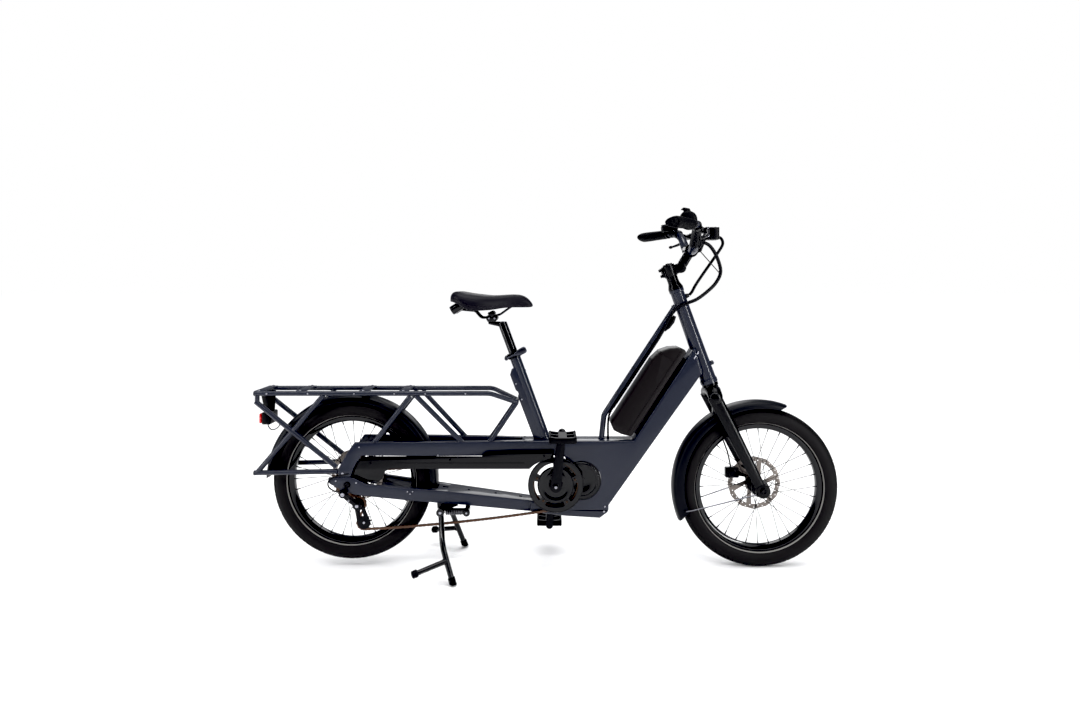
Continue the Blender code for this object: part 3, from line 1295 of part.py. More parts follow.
def make_saddle():
    """Saddle skin from tail to nose: crowned top with a shallow channel, drawn-in skirt."""
    stations = [(-0.2040, 0.050, 0.1879, 0.1699), (-0.1895, 0.078, 0.2009, 0.1559),
                (-0.1675, 0.091, 0.2043, 0.1424), (-0.1115, 0.088, 0.1964, 0.1409),
                (-0.0635, 0.066, 0.1899, 0.1434), (-0.0265, 0.047, 0.1924, 0.1504),
                (0.0125, 0.034, 0.1949, 0.1509), (0.0385, 0.028, 0.1894, 0.1504),
                (0.0555, 0.022, 0.1749, 0.1509), (0.0655, 0.014, 0.1599, 0.1524)]
    rings = []
    for x, half, top, skirt in stations:
        height = top - skirt
        floor = min(0.0160, height * 0.4)
        outline = [(0.0, height - 0.0035), (0.34, height), (0.78, height * 0.88), (1.0, height * 0.55),
                   (0.94, 0.0),
                   (0.80, 0.0), (0.60, floor)]
        ring = [seat_at(x, skirt + rise, share * half) for share, rise in outline]
        ring += [seat_at(x, skirt + rise, -share * half) for share, rise in outline[:0:-1]]
        rings.append(ring)
    saddle = lofted("saddle", rings, SADDLE_COVER)
    rounder = saddle.modifiers.new("cushion", "SUBSURF")
    rounder.levels = 1
    rounder.render_levels = 1
    for side in (RIGHT, LEFT):
        for x, low, high, radius in SADDLE_STUBS:
            socket_radius = radius / math.cos(math.pi / 10) + SEAT_GAP
            cut(saddle,
                rod("socket_%d_%g" % (side, x), seat_at(x, low - 0.02, side * 0.0220),
                    seat_at(x, high + SEAT_GAP, side * 0.0220), socket_radius, SADDLE_COVER, 10))
    return saddle


# Steering

def make_fork():
    """Steerer, crown and two straight blades, with round dropouts bored for the axle."""
    lower = -SEAT_GAP
    steerer = turned(
        "fork",
        [(0.0, -0.030), (0.0200, -0.030), (0.0245, -0.006), (0.0245, lower), (STEERER_RADIUS, lower),
         (STEERER_RADIUS, HEAD_LENGTH + 0.083), (0.0, HEAD_LENGTH + 0.083)],
        steer_point(0.0), steer_point(1.0) - steer_point(0.0), 16, BLACK_METAL)
    rings = []
    for y, up, ahead, half_high, half_long in ((-0.0660, -0.046, 0.004, 0.015, 0.013),
                                               (-0.0560, -0.040, 0.003, 0.024, 0.018),
                                               (-0.0280, -0.026, 0.000, 0.019, 0.021),
                                               (0.0280, -0.026, 0.000, 0.019, 0.021),
                                               (0.0560, -0.040, 0.003, 0.024, 0.018),
                                               (0.0660, -0.046, 0.004, 0.015, 0.013)):
        ring = []
        for step in range(8):
            angle = 2 * math.pi * (step + 0.5) / 8
            ring.append(steer_point(up + half_high * 1.08 * math.sin(angle),
                                    ahead + half_long * 1.08 * math.cos(angle), y))
        rings.append(ring)
    crown = lofted("fork_crown", rings, BLACK_METAL)
    add(steerer, crown)
    axle_x, axle_z = side_of(FRONT_AXLE)
    for side in (RIGHT, LEFT):
        rings = []
        for share, half_long, half_wide in ((0.0, 0.0175, 0.0105), (0.35, 0.0170, 0.0105),
                                            (0.7, 0.0155, 0.0095), (0.97, 0.0140, 0.0060)):
            high = steer_point(-0.036, 0.003, side * FORK_BLADE_SPREAD)
            low = at(axle_x - 0.004, axle_z + 0.012, side * (FRONT_HUB_WIDTH / 2 + 0.0066))
            middle = high.lerp(low, share)
            line = (low - high).normalized()
            ahead = Vector((-line.z, 0.0, line.x)).normalized()
            ring = []
            for step in range(8):
                angle = 2 * math.pi * (step + 0.5) / 8
                across = Vector((0, half_wide * 1.08 * math.sin(angle), 0))
                ring.append(middle + ahead * half_long * 1.08 * math.cos(angle) + across)
            rings.append(ring)
        blade = lofted("fork_blade_%d" % side, rings, BLACK_METAL)
        inner = FRONT_HUB_WIDTH / 2 + SEAT_GAP
        tip = rod("fork_end_%d" % side, FRONT_AXLE + Vector((0, side * inner, 0)),
                  FRONT_AXLE + Vector((0, side * (inner + 0.0130), 0)), 0.0235, BLACK_METAL, 16)
        add(steerer, blade, tip)
    tab = side_plate("caliper_tab", [[(axle_x - 0.052, axle_z + 0.050), (axle_x - 0.018, axle_z + 0.050),
                                      (axle_x - 0.018, axle_z + 0.014), (axle_x - 0.046, axle_z + 0.018)]],
                     0.0070, 0.0538, BLACK_METAL)
    add(steerer, tab)
    cut(steerer, rod("front_axle_bore", FRONT_AXLE + Vector((0, -0.1, 0)), FRONT_AXLE + Vector((0, 0.1, 0)),
                     AXLE_RADIUS + SEAT_GAP, BLACK_METAL, 12))
    return steerer


def make_stem():
    """Tapered spacers, the clamp on the steerer, and the angled arm up to the bar's clamp."""
    bore = STEERER_RADIUS + SEAT_GAP
    low = HEAD_LENGTH + SEAT_GAP
    profile = [(0.0, low), (0.0250, low), (0.0250, low + 0.004), (0.0185, low + 0.022), (0.0185, low + 0.043),
               (0.0215, low + 0.045), (0.0215, low + 0.084), (0.0160, low + 0.0880), (0.0, low + 0.0880)]
    stem = turned("stem", profile, steer_point(0.0), steer_point(1.0) - steer_point(0.0), 16, BLACK_METAL)
    path = [steer_point(low + 0.062, 0.008), steer_point(low + 0.062, 0.036),
            BAR_CLAMP + Vector((-0.001, 0, -0.002))]
    arm = tube("stem_arm", bent(path, 0.012, 2), 0.0155, BLACK_METAL, 8)
    hinge = rod("stem_hinge", steer_point(low + 0.062, 0.036, -0.0210),
                steer_point(low + 0.062, 0.036, 0.0210), 0.0175, BLACK_METAL, 14)
    clamp = rod("bar_clamp", BAR_CLAMP + Vector((0, -0.0240, 0)), BAR_CLAMP + Vector((0, 0.0240, 0)),
                BAR_CLAMP_RADIUS + 0.0060,
                BLACK_METAL, 16)
    add(stem, arm, hinge, clamp)
    cut(stem, rod("steerer_bore", steer_point(low - 0.01), steer_point(low + 0.0850), bore, BLACK_METAL,
                  16))
    cut(stem, rod("bar_bore", BAR_CLAMP + Vector((0, -0.05, 0)), BAR_CLAMP + Vector((0, 0.05, 0)),
                  BAR_CLAMP_RADIUS / math.cos(math.pi / 12) + SEAT_GAP,
                  BLACK_METAL, 12))
    return stem


GRIP_START = (-0.1010, 0.200, 0.5090)
GRIP_HEADING = Vector((-0.5550, 0.8310, -0.0280)).normalized()


def grip_point(side, along, back=0.0, up=0.0):
    """Point along the grip's axis, and square behind it in the level plane."""
    ahead = Vector((GRIP_HEADING.y, -GRIP_HEADING.x, 0.0)).normalized()
    x, y, z = GRIP_START
    place = Vector((x, y, z)) + GRIP_HEADING * along - ahead * back + Vector((0, 0, up))
    return head_at(place.x, place.z, side * place.y)


def make_handlebar():
    """One bent tube, clamp diameter in the middle, with the lever clamps and the shifter's body."""
    half = [((-0.0640, 0.030, 0.4380), 0.0159), ((-0.0640, 0.042, 0.4400), 0.0157),
            ((-0.0655, 0.070, 0.4540), 0.0130), ((-0.0680, 0.105, 0.4810), 0.0113),
            ((-0.0710, 0.135, 0.5005), BAR_RADIUS), ((-0.0780, 0.160, 0.5090), BAR_RADIUS),
            ((-0.0890, 0.182, 0.5100), BAR_RADIUS)]
    right = [(head_at(x, z, -y), radius) for (x, y, z), radius in half]
    left = [(head_at(x, z, y), radius) for (x, y, z), radius in half]
    ends = [(grip_point(RIGHT, GRIP_LENGTH - 0.006), BAR_RADIUS), (grip_point(RIGHT, 0.0), BAR_RADIUS)]
    far_ends = [(grip_point(LEFT, 0.0), BAR_RADIUS), (grip_point(LEFT, GRIP_LENGTH - 0.006), BAR_RADIUS)]
    stations = ends + right[::-1] + left + far_ends
    bar = tube("handlebar", [place for place, radius in stations], BAR_CLAMP_RADIUS, BLACK_METAL, 10,
               [radius for place, radius in stations])
    for side in (RIGHT, LEFT):
        clamp = rod("lever_clamp_%d" % side, head_at(-0.0720, 0.5020, side * 0.1380),
                    head_at(-0.0795, 0.5090, side * 0.1640), 0.0155, BLACK_METAL, 12)
        cylinder = rod("master_%d" % side, head_at(-0.0380, 0.4940, side * 0.0980),
                       head_at(-0.0450, 0.4940, side * 0.1480), 0.0105, BLACK_METAL, 10)
        arm = lofted("lever_arm_%d" % side, [
            [head_at(-0.0740, 0.4980, side * 0.142), head_at(-0.0780, 0.5010, side * 0.160),
             head_at(-0.0780, 0.5110, side * 0.160), head_at(-0.0740, 0.5110, side * 0.142)],
            [head_at(-0.0420, 0.4880, side * 0.128), head_at(-0.0440, 0.4880, side * 0.147),
             head_at(-0.0440, 0.5000, side * 0.147), head_at(-0.0420, 0.5000, side * 0.128)],
        ], BLACK_METAL)
        add(bar, clamp, cylinder, arm)
    pod = [(-0.026, -0.004), (-0.020, -0.020), (-0.002, -0.026), (0.018, -0.020), (0.026, -0.002),
           (0.020, 0.016), (0.004, 0.025), (-0.018, 0.018)]
    rings = []
    for y, size in ((-0.1640, 0.88), (-0.1700, 1.0), (-0.1830, 1.0), (-0.1880, 0.90)):
        middle = -0.1020 - (-0.1640 - y) * 0.45
        rings.append([head_at(middle + dx * size, 0.5185 + dz * size, y) for dx, dz in pod])
    shifter = lofted("shifter_body", rings, BLACK_PLASTIC)
    mount = rod("display_clamp", head_at(-0.0820, 0.5100, 0.1700), head_at(-0.0920, 0.5100, 0.1860), 0.0150,
                BLACK_PLASTIC, 12)
    neck = block("display_neck", head_at(-0.0980, 0.5100, 0.1700), head_at(-0.0860, 0.5292, 0.1860),
                 BLACK_PLASTIC)
    add(bar, shifter, mount, neck)
    return bar


def make_grip(side):
    """Rubber grip with a palm wing behind it, bored for the bar and closed at its end."""
    name = "grip_right" if side == RIGHT else "grip_left"
    count = 12
    ahead = Vector((GRIP_HEADING.y, -GRIP_HEADING.x, 0.0)).normalized()

    def ring(along, radius, wing, height):
        points = []
        for step in range(count):
            angle = 2 * math.pi * step / count
            back = -math.cos(angle)
            reach = radius + wing * max(0.0, back) ** 2
            points.append(grip_point(side, along, back * reach, math.sin(angle) * radius * height))
        return points

    bore = BAR_RADIUS / math.cos(math.pi / count) + SEAT_GAP
    end = GRIP_LENGTH
    rings = [ring(end - 0.0045, bore, 0.0, 1.0), ring(0.003, bore, 0.0, 1.0),
             ring(0.003, GRIP_RADIUS - 0.001, 0.0, 1.0), ring(0.008, GRIP_RADIUS, 0.0, 1.0),
             ring(0.050, GRIP_RADIUS, 0.004, 0.95), ring(0.085, GRIP_RADIUS, 0.014, 0.9),
             ring(end - 0.012, GRIP_RADIUS, 0.019, 0.9), ring(end - 0.002, GRIP_RADIUS - 0.001, 0.016, 0.9),
             ring(end, GRIP_RADIUS - 0.003, 0.012, 0.85)]
    return lofted(name, rings, GRIP_RUBBER)


LEVER_PIVOT = (-0.0440, 0.1520, 0.4920)
LEVER_TIP = (-0.0850, 0.2560, 0.4640)


def make_brake_lever(side):
    """Two-finger lever blade from its pivot out to a ball end."""
    name = "brake_lever_right" if side == RIGHT else "brake_lever_left"
    start = head_at(LEVER_PIVOT[0], LEVER_PIVOT[2], side * LEVER_PIVOT[1])
    end = head_at(LEVER_TIP[0], LEVER_TIP[2], side * LEVER_TIP[1])
    bow = Vector((0.008, 0.0, -0.004))
    points = [start.lerp(end, share) + bow * math.sin(math.pi * share)
              for share in (0.0, 0.15, 0.35, 0.6, 0.85, 0.95)]
    points.append(end)
    lever = tube(name, points, 0.0050, BLACK_METAL, 8,
                 [0.0072, 0.0060, 0.0048, 0.0045, 0.0042, 0.0060, 0.0035])
    return lever


def make_shift_lever():
    """Thumb paddle on top of the shifter's body."""
    base = head_at(-0.1070, 0.5439, -0.1770)
    paddle = lofted("shift_lever",
                    [[base + Vector((-0.012, -0.006, 0.0)), base + Vector((0.008, -0.006, 0.0)),
                      base + Vector((0.008, 0.006, 0.0)), base + Vector((-0.012, 0.006, 0.0))],
                     [base + Vector((-0.018, -0.008, 0.010)), base + Vector((0.002, -0.008, 0.014)),
                      base + Vector((0.002, 0.006, 0.014)), base + Vector((-0.018, 0.006, 0.010))],
                     [base + Vector((-0.026, -0.010, 0.009)), base + Vector((-0.018, -0.010, 0.0175)),
                      base + Vector((-0.018, 0.004, 0.0175)), base + Vector((-0.026, 0.004, 0.009))]],
                    BLACK_PLASTIC)
    return paddle


def make_display():
    """Flat display by the left grip, tipped towards the rider."""
    tilt = Matrix.Rotation(math.radians(-8), 4, "Y")
    body = block("display", (-0.0300, -0.0220, 0.0), (0.0260, 0.0220, 0.0150), BLACK_PLASTIC)
    body.data.transform(tilt)
    body.location = head_at(-0.0980, 0.5295, 0.1730)
    soften(body, 0.004)
    return body


def make_headlight():
    """Square lamp ahead of the bar clamp, on a bracket up from the clamp's face."""
    lamp = block("headlight", head_at(-0.0140, 0.4740, -0.0240), head_at(0.0280, 0.5160, 0.0240),
                 BLACK_PLASTIC)
    soften(lamp, 0.005)
    start = BAR_CLAMP + Vector((BAR_CLAMP_RADIUS + 0.0063, 0, 0.0))
    bracket = lofted("lamp_bracket",
                     [[start + Vector((0.0, -0.010, -0.008)), start + Vector((0.0, 0.010, -0.008)),
                       start + Vector((0.0, 0.010, 0.008)), start + Vector((0.0, -0.010, 0.008))],
                      [start + Vector((0.014, -0.010, -0.002)), start + Vector((0.014, 0.010, -0.002)),
                       start + Vector((0.008, 0.010, 0.012)), start + Vector((0.008, -0.010, 0.012))],
                      [head_at(-0.0110, 0.4800, -0.010), head_at(-0.0110, 0.4800, 0.010),
                       head_at(-0.0110, 0.4940, 0.010), head_at(-0.0110, 0.4940, -0.010)]], BLACK_METAL)
    add(lamp, bracket)
    return lamp


def make_front_caliper():
    """Disc caliper astride the front rotor, its hose clipped up the left blade."""
    axle_x, axle_z = side_of(FRONT_AXLE)
    body = block("front_caliper", at(axle_x - 0.0980, axle_z + 0.0180, 0.0270),
                 at(axle_x - 0.0520, axle_z + 0.0530, 0.0490), BLACK_METAL)
    soften(body, 0.003)
    cut(body, side_plate("front_rotor_slot", [circle((axle_x, axle_z), ROTOR_RADIUS + 0.004, 32)], 0.0040,
                         0.038, BLACK_METAL))
    route = [(-0.0760, 0.0480, 0.0460), (-0.0790, 0.0700, 0.0490), (-0.0850, 0.1000, 0.0530),
             (-0.0990, 0.1400, 0.0550), (-0.1190, 0.1850, 0.0560), (-0.1430, 0.2350, 0.0560),
             (-0.1660, 0.2800, 0.0550), (-0.1745, 0.3000, 0.0545)]
    hose = tube("front_hose", [at(axle_x + dx, axle_z + dz, y) for dx, dz, y in route], 0.0025,
                BLACK_PLASTIC, 8)
    mount = side_plate("caliper_mount",
                       [[(axle_x - 0.064, axle_z + 0.050), (axle_x - 0.034, axle_z + 0.048),
                         (axle_x - 0.032, axle_z + 0.022), (axle_x - 0.064, axle_z + 0.022)]], 0.0042, 0.0479,
                       BLACK_METAL)
    add(body, mount, hose)
    return body


def smooth_route(points, spacing):
    """Points on a smooth curve through the route's own points, near the given spacing."""
    places = [Vector(point) for point in points]
    padded = [2 * places[0] - places[1]] + places + [2 * places[-1] - places[-2]]
    route = [places[0]]
    for p0, p1, p2, p3 in zip(padded, padded[1:], padded[2:], padded[3:]):
        steps = max(1, round((p2 - p1).length / spacing))
        for step in range(1, steps + 1):
            t = step / steps
            route.append(0.5 * (2 * p1 + (p2 - p0) * t + (2 * p0 - 5 * p1 + 4 * p2 - p3) * t ** 2
                                + (3 * p1 - p0 - 3 * p2 + p3) * t ** 3))
    return route


BUNDLE_ROUTE = [(-0.0468, -0.0430, 0.4470), (-0.0360, -0.0380, 0.4580), (-0.0200, -0.0280, 0.4620),
                (0.0010, -0.0220, 0.4480), (0.0220, -0.0180, 0.4130), (0.0330, -0.0170, 0.3680),
                (0.0160, -0.0200, 0.3310), (-0.0160, -0.0270, 0.3010), (-0.0490, -0.0335, 0.2780),
                (-0.0840, -0.0365, 0.2620), (-0.1010, -0.0275, 0.2400), (-0.1105, -0.0160, 0.2230),
                (-0.1230, -0.0060, 0.2020), (-0.2110, -0.0030, 0.0715), (-0.2910, -0.0030, -0.0470),
                (-0.3220, -0.0030, -0.0920), (-0.3335, -0.0030, -0.1130), (-0.3374, -0.0030, -0.1400),
                (-0.3375, -0.0030, -0.1850)]
LAMP_ROUTE = [(0.0297, 0.0060, 0.4840), (0.0385, 0.0060, 0.4820), (0.0450, 0.0050, 0.4720),
              (0.0470, 0.0050, 0.4580), (0.0354, 0.0040, 0.4368), (0.0104, 0.0040, 0.4035),
              (-0.0312, 0.0030, 0.3494), (-0.0490, 0.0010, 0.3180), (-0.0595, 0.0, 0.2970),
              (-0.0667, 0.0, 0.2915)]


def make_cable_bundle():
    """Hoses and leads in one spiral wrap, from the bar past the head tube and under the top stay."""
    route = [head_at(x, z, y) for x, y, z in BUNDLE_ROUTE]
    route[-1] = at(HEAD_BASE_X + BUNDLE_ROUTE[-1][0], BODY_TOP + SEAT_GAP, BUNDLE_ROUTE[-1][1])
    path = smooth_route(route, 0.024)
    slim_below = 0.5200 + DATUM_HEIGHT
    return tube("cable_bundle", path, 0.0052, BLACK_PLASTIC, 6,
                [0.0036 if p.z < slim_below else 0.0052 for p in path])


def make_headlight_cable():
    route = [head_at(x, z, y) for x, y, z in LAMP_ROUTE]
    return tube("headlight_cable", smooth_route(route, 0.020), 0.0038, BLACK_PLASTIC, 6)


def build():
    """Make every piece and hang the moving ones from empties on their axes."""
    make_head_tube()
    make_down_tube()
    make_seat_tube()
    make_top_stay()
    for side in (RIGHT, LEFT):
        make_upper_beam(side)
        make_rack_stay(side)
    make_lower_beams()
    make_rack_deck()
    make_rear_fender()
    make_tail_light()
    make_tail_lens()
    make_motor()
    make_chain_guard()
    make_derailleur()
    make_rear_caliper()
    make_axle("rear_axle", REAR_AXLE, REAR_HUB_WIDTH, 0.0060)
    make_battery()
    make_chain()
    make_stand_spring()
    make_seat_clamp()
    make_cable_bundle()
    across = (0, -1, 0)
    hang(pivot("rear_wheel_axis", REAR_AXLE, across), *make_rear_wheel())
    hang(pivot("cassette_axis", REAR_AXLE, across), make_cassette())
    cage_axis = pivot("cage_axis", at(GUIDE_PULLEY_X, GUIDE_PULLEY_Z), across)
    guide = make_pulley("guide_pulley", GUIDE_PULLEY_X, GUIDE_PULLEY_Z)
    tension = make_pulley("tension_pulley", TENSION_PULLEY_X, TENSION_PULLEY_Z)
    hang(cage_axis, make_cage(), guide, tension)
    crank_axis = pivot("crank_axis", CRANK_AXIS, across)
    right_arm, right_tip = make_crank(RIGHT)
    left_arm, left_tip = make_crank(LEFT)
    hang(crank_axis, right_arm, left_arm, make_chainring(), make_ring_guard())
    hang(crank_axis, make_pedal(RIGHT, right_tip), make_pedal(LEFT, left_tip))
    hang(pivot("stand_axis", STAND_AXIS, across), make_stand_legs())
    seat_axis = pivot("seatpost_axis", seat_point(SEAT_TUBE_LENGTH), seat_point(1.0) - seat_point(0.0))
    hang(seat_axis, make_seatpost(), make_saddle_rails(), make_saddle())
    lever_pin = seat_point(SEAT_TUBE_LENGTH - 0.010, 0.0270, -0.0190)
    hang(pivot("seat_lever_axis", lever_pin, seat_point(0.0) - seat_point(1.0)), make_seat_lever())
    steering = pivot("steering_axis", steer_point(0.0), steer_point(1.0) - steer_point(0.0))
    hang(steering, make_fork(), make_front_fender(), make_stem(), make_handlebar(), make_display(),
         make_headlight())
    hang(steering, make_front_caliper(), make_axle("front_axle", FRONT_AXLE, FRONT_HUB_WIDTH, 0.0130))
    hang(steering, make_headlight_cable())
    shift_axis = pivot("shift_lever_axis", head_at(-0.1090, 0.5439, -0.1770), (0, 0, 1))
    hang(shift_axis, make_shift_lever())
    hang(steering, shift_axis)
    for side in (RIGHT, LEFT):
        pin = head_at(LEVER_PIVOT[0], LEVER_PIVOT[2], side * LEVER_PIVOT[1])
        lever_axis = pivot("brake_axis_%d" % (side > 0), pin, (0.620 * side, 0.427, 0.659 * side))
        hang(lever_axis, make_brake_lever(side))
        hang(steering, make_grip(side), lever_axis)
    hang(steering, *make_front_wheel())


build()
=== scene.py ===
"""Longtail cargo bicycle parked on its centre stand: its looks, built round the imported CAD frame.

Metres, +X forward, +Y to the rider's left, +Z up. Side-view places are given ahead of the rear axle and above
the level datum that the part's source uses, so both files put a piece in the same place.
"""

import math

import bpy
from mathutils import Matrix, Vector


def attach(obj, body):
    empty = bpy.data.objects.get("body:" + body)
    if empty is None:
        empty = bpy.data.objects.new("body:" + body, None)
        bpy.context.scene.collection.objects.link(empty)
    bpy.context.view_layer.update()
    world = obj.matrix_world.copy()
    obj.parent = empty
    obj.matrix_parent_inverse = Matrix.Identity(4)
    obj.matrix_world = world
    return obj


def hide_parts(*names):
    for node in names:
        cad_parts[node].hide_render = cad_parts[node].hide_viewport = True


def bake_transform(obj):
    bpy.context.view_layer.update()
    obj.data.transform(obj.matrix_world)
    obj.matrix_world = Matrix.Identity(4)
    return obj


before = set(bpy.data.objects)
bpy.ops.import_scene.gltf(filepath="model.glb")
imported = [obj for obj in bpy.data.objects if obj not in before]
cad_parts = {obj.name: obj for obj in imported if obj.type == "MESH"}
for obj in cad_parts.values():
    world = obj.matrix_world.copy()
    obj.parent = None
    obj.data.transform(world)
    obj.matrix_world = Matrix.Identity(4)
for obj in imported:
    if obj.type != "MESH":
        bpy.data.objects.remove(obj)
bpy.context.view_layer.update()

# Head tube
# Tapered tube of 6061 aluminium, turned with a bearing cup at each end and welded to the down tube and top
# stay. A threaded boss stands at its front and a rubber port lets the leads in near its top.
REAR_AXLE_X = -0.65075
DATUM_HEIGHT = 0.0057
HEAD_BASE_X = 1.184
HEAD_BASE_Z = 0.602
HEAD_TILT = math.radians(19.64)
HEAD_LENGTH = 0.33


def at(x, z, y=0.0):
    """Point x ahead of the rear axle, z above the datum and y to the left of the middle."""
    return Vector((REAR_AXLE_X + x, y, z + DATUM_HEIGHT))


def side_of(point):
    """Side-view place of a point, as ahead of the rear axle and above the datum."""
    return (point.x - REAR_AXLE_X, point.z - DATUM_HEIGHT)


def steer_point(up, ahead=0.0, y=0.0):
    """Point up the head tube's axis from its foot, and square ahead of it."""
    x = HEAD_BASE_X - up * math.sin(HEAD_TILT) + ahead * math.cos(HEAD_TILT)
    z = HEAD_BASE_Z + up * math.cos(HEAD_TILT) + ahead * math.sin(HEAD_TILT)
    return at(x, z, y)


def select_only(*pieces):
    """Select these pieces alone, the first one active."""
    bpy.ops.object.select_all(action="DESELECT")
    for piece in pieces:
        piece.select_set(True)
    bpy.context.view_layer.objects.active = pieces[0]


def welded(piece):
    """Merge doubled points, drop loose edges and turn every face outwards."""
    select_only(piece)
    bpy.ops.object.mode_set(mode="EDIT")
    bpy.ops.mesh.select_all(action="SELECT")
    bpy.ops.mesh.remove_doubles(threshold=0.000004)
    bpy.ops.mesh.delete_loose()
    bpy.ops.mesh.select_all(action="SELECT")
    bpy.ops.mesh.normals_make_consistent(inside=False)
    bpy.ops.object.mode_set(mode="OBJECT")
    return piece


def turned(name, profile, where, direction, steps):
    """Piece turned on a lathe: closed profile of (radius, along) spun about a line through where."""
    bpy.ops.object.select_all(action="DESELECT")
    bpy.ops.mesh.primitive_circle_add(vertices=len(profile), radius=1.0)
    piece = bpy.context.object
    piece.name = name
    for vertex, (radius, along) in zip(piece.data.vertices, profile):
        vertex.co = (radius, 0.0, along)
    bpy.ops.object.mode_set(mode="EDIT")
    bpy.ops.mesh.select_all(action="SELECT")
    bpy.ops.mesh.spin(steps=steps, angle=2 * math.pi, center=(0, 0, 0), axis=(0, 0, 1))
    bpy.ops.object.mode_set(mode="OBJECT")
    turn = Vector(direction).to_track_quat("Z", "Y").to_matrix().to_4x4()
    piece.data.transform(Matrix.Translation(where) @ turn)
    return welded(piece)


def rod(name, start, end, radius, sides=24, end_radius=None):
    """Straight round bar, or a cone, between two points."""
    start, end = Vector(start), Vector(end)
    bpy.ops.object.select_all(action="DESELECT")
    bpy.ops.mesh.primitive_cone_add(vertices=sides, radius1=radius, depth=(end - start).length,
                                    radius2=radius if end_radius is None else end_radius)
    piece = bpy.context.object
    piece.name = name
    turn = (end - start).to_track_quat("Z", "Y").to_matrix().to_4x4()
    piece.data.transform(Matrix.Translation((start + end) / 2) @ turn)
    return piece


def rounded(piece, width, segments=2, angle=40):
    """Break the sharp edges of a piece with a Bevel modifier."""
    select_only(piece)
    bevel = piece.modifiers.new("broken_edges", "BEVEL")
    bevel.width = width
    bevel.segments = segments
    bevel.limit_method = "ANGLE"
    bevel.angle_limit = math.radians(angle)
    bevel.harden_normals = False
    bpy.ops.object.modifier_apply(modifier=bevel.name)
    return piece


def joined(name, *pieces):
    """One piece of several, each keeping its own surface."""
    select_only(*pieces)
    if len(pieces) > 1:
        bpy.ops.object.join()
    bpy.context.object.name = name
    bpy.context.object.data.name = name
    return bpy.context.object


def linear(hex_colour):
    """sRGB hex as the linear red, green, blue and alpha that a shader takes."""
    channels = [int(hex_colour[start:start + 2], 16) / 255 for start in (0, 2, 4)]
    return [c / 12.92 if c <= 0.04045 else ((c + 0.055) / 1.055) ** 2.4 for c in channels] + [1.0]


def new_finish(name, hex_colour, roughness, metallic=0.0, **sockets):
    """Surface finish with its shader constants; what isn't metal mirrors less, as in the photograph."""
    finish = bpy.data.materials.new(name)
    finish.use_nodes = True
    shader = finish.node_tree.nodes["Principled BSDF"]
    shader.inputs["Specular IOR Level"].default_value = 0.5 if metallic else 0.12
    shader.inputs["Base Color"].default_value = linear(hex_colour)
    shader.inputs["Roughness"].default_value = roughness
    shader.inputs["Metallic"].default_value = metallic
    for socket, value in sockets.items():
        shader.inputs[socket.replace("_", " ")].default_value = value
    return finish


def add_node(finish, kind, settings, links):
    """Add a node, its settings and its links (from node, output, to node, input); None is this node."""
    node = finish.node_tree.nodes.new(kind)
    for key, value in settings.items():
        if key in node.inputs:
            node.inputs[key].default_value = value
        else:
            setattr(node, key, value)
    for source, output, target, socket in links:
        source, target = source or node, target or node
        finish.node_tree.links.new(source.outputs[output], target.inputs[socket])
    return node


def grained(finish, scale, depth, strength):
    """Fine relief from a noise at a real scale, in cells to the metre."""
    shader = finish.node_tree.nodes["Principled BSDF"]
    place = add_node(finish, "ShaderNodeTexCoord", {}, [])
    noise = add_node(finish, "ShaderNodeTexNoise", {"Scale": scale, "Detail": 2.0},
                     [(place, "Object", None, "Vector")])
    add_node(finish, "ShaderNodeBump", {"Strength": strength, "Distance": depth},
             [(noise, "Fac", None, "Height"), (None, "Normal", shader, "Normal")])
    return finish


def dressed(piece, finish, body, slot, *nodes, angle=35):
    """Give a finished piece its surface, the body that it rides on and the CAD nodes that it stands for."""
    if finish:
        piece.data.materials.clear()
        piece.data.materials.append(finish)
    select_only(piece)
    bpy.ops.object.shade_smooth_by_angle(angle=math.radians(angle))
    if body:
        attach(piece, body)
    if nodes:
        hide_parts(*nodes)
    return piece


# Polyester powder coat baked on aluminium, 80 micrometres thick. Its faint orange peel, 2 mm across and drawn
# at 3 mm to show, gives a satin skin with soft bluish highlights.
POWDER_COAT = grained(new_finish("slate_powder_coat", "1A1D28", 0.36, IOR=1.52, Coat_Weight=0.4,
                                 Coat_Roughness=0.06), 330.0, 0.00008, 0.25)
# Zinc-plated steel fasteners, bright from tumbling, so that each reads as one light dot.
ZINC_STEEL = new_finish("zinc_plated_steel", "9C9CA4", 0.3, 1.0)
# Black anodised 6061 parts: a hard dyed oxide on a bead-blasted surface, dark with broad soft highlights.
BLACK_ANODISED = new_finish("black_anodised_aluminium", "060608", 0.32, IOR=1.6)


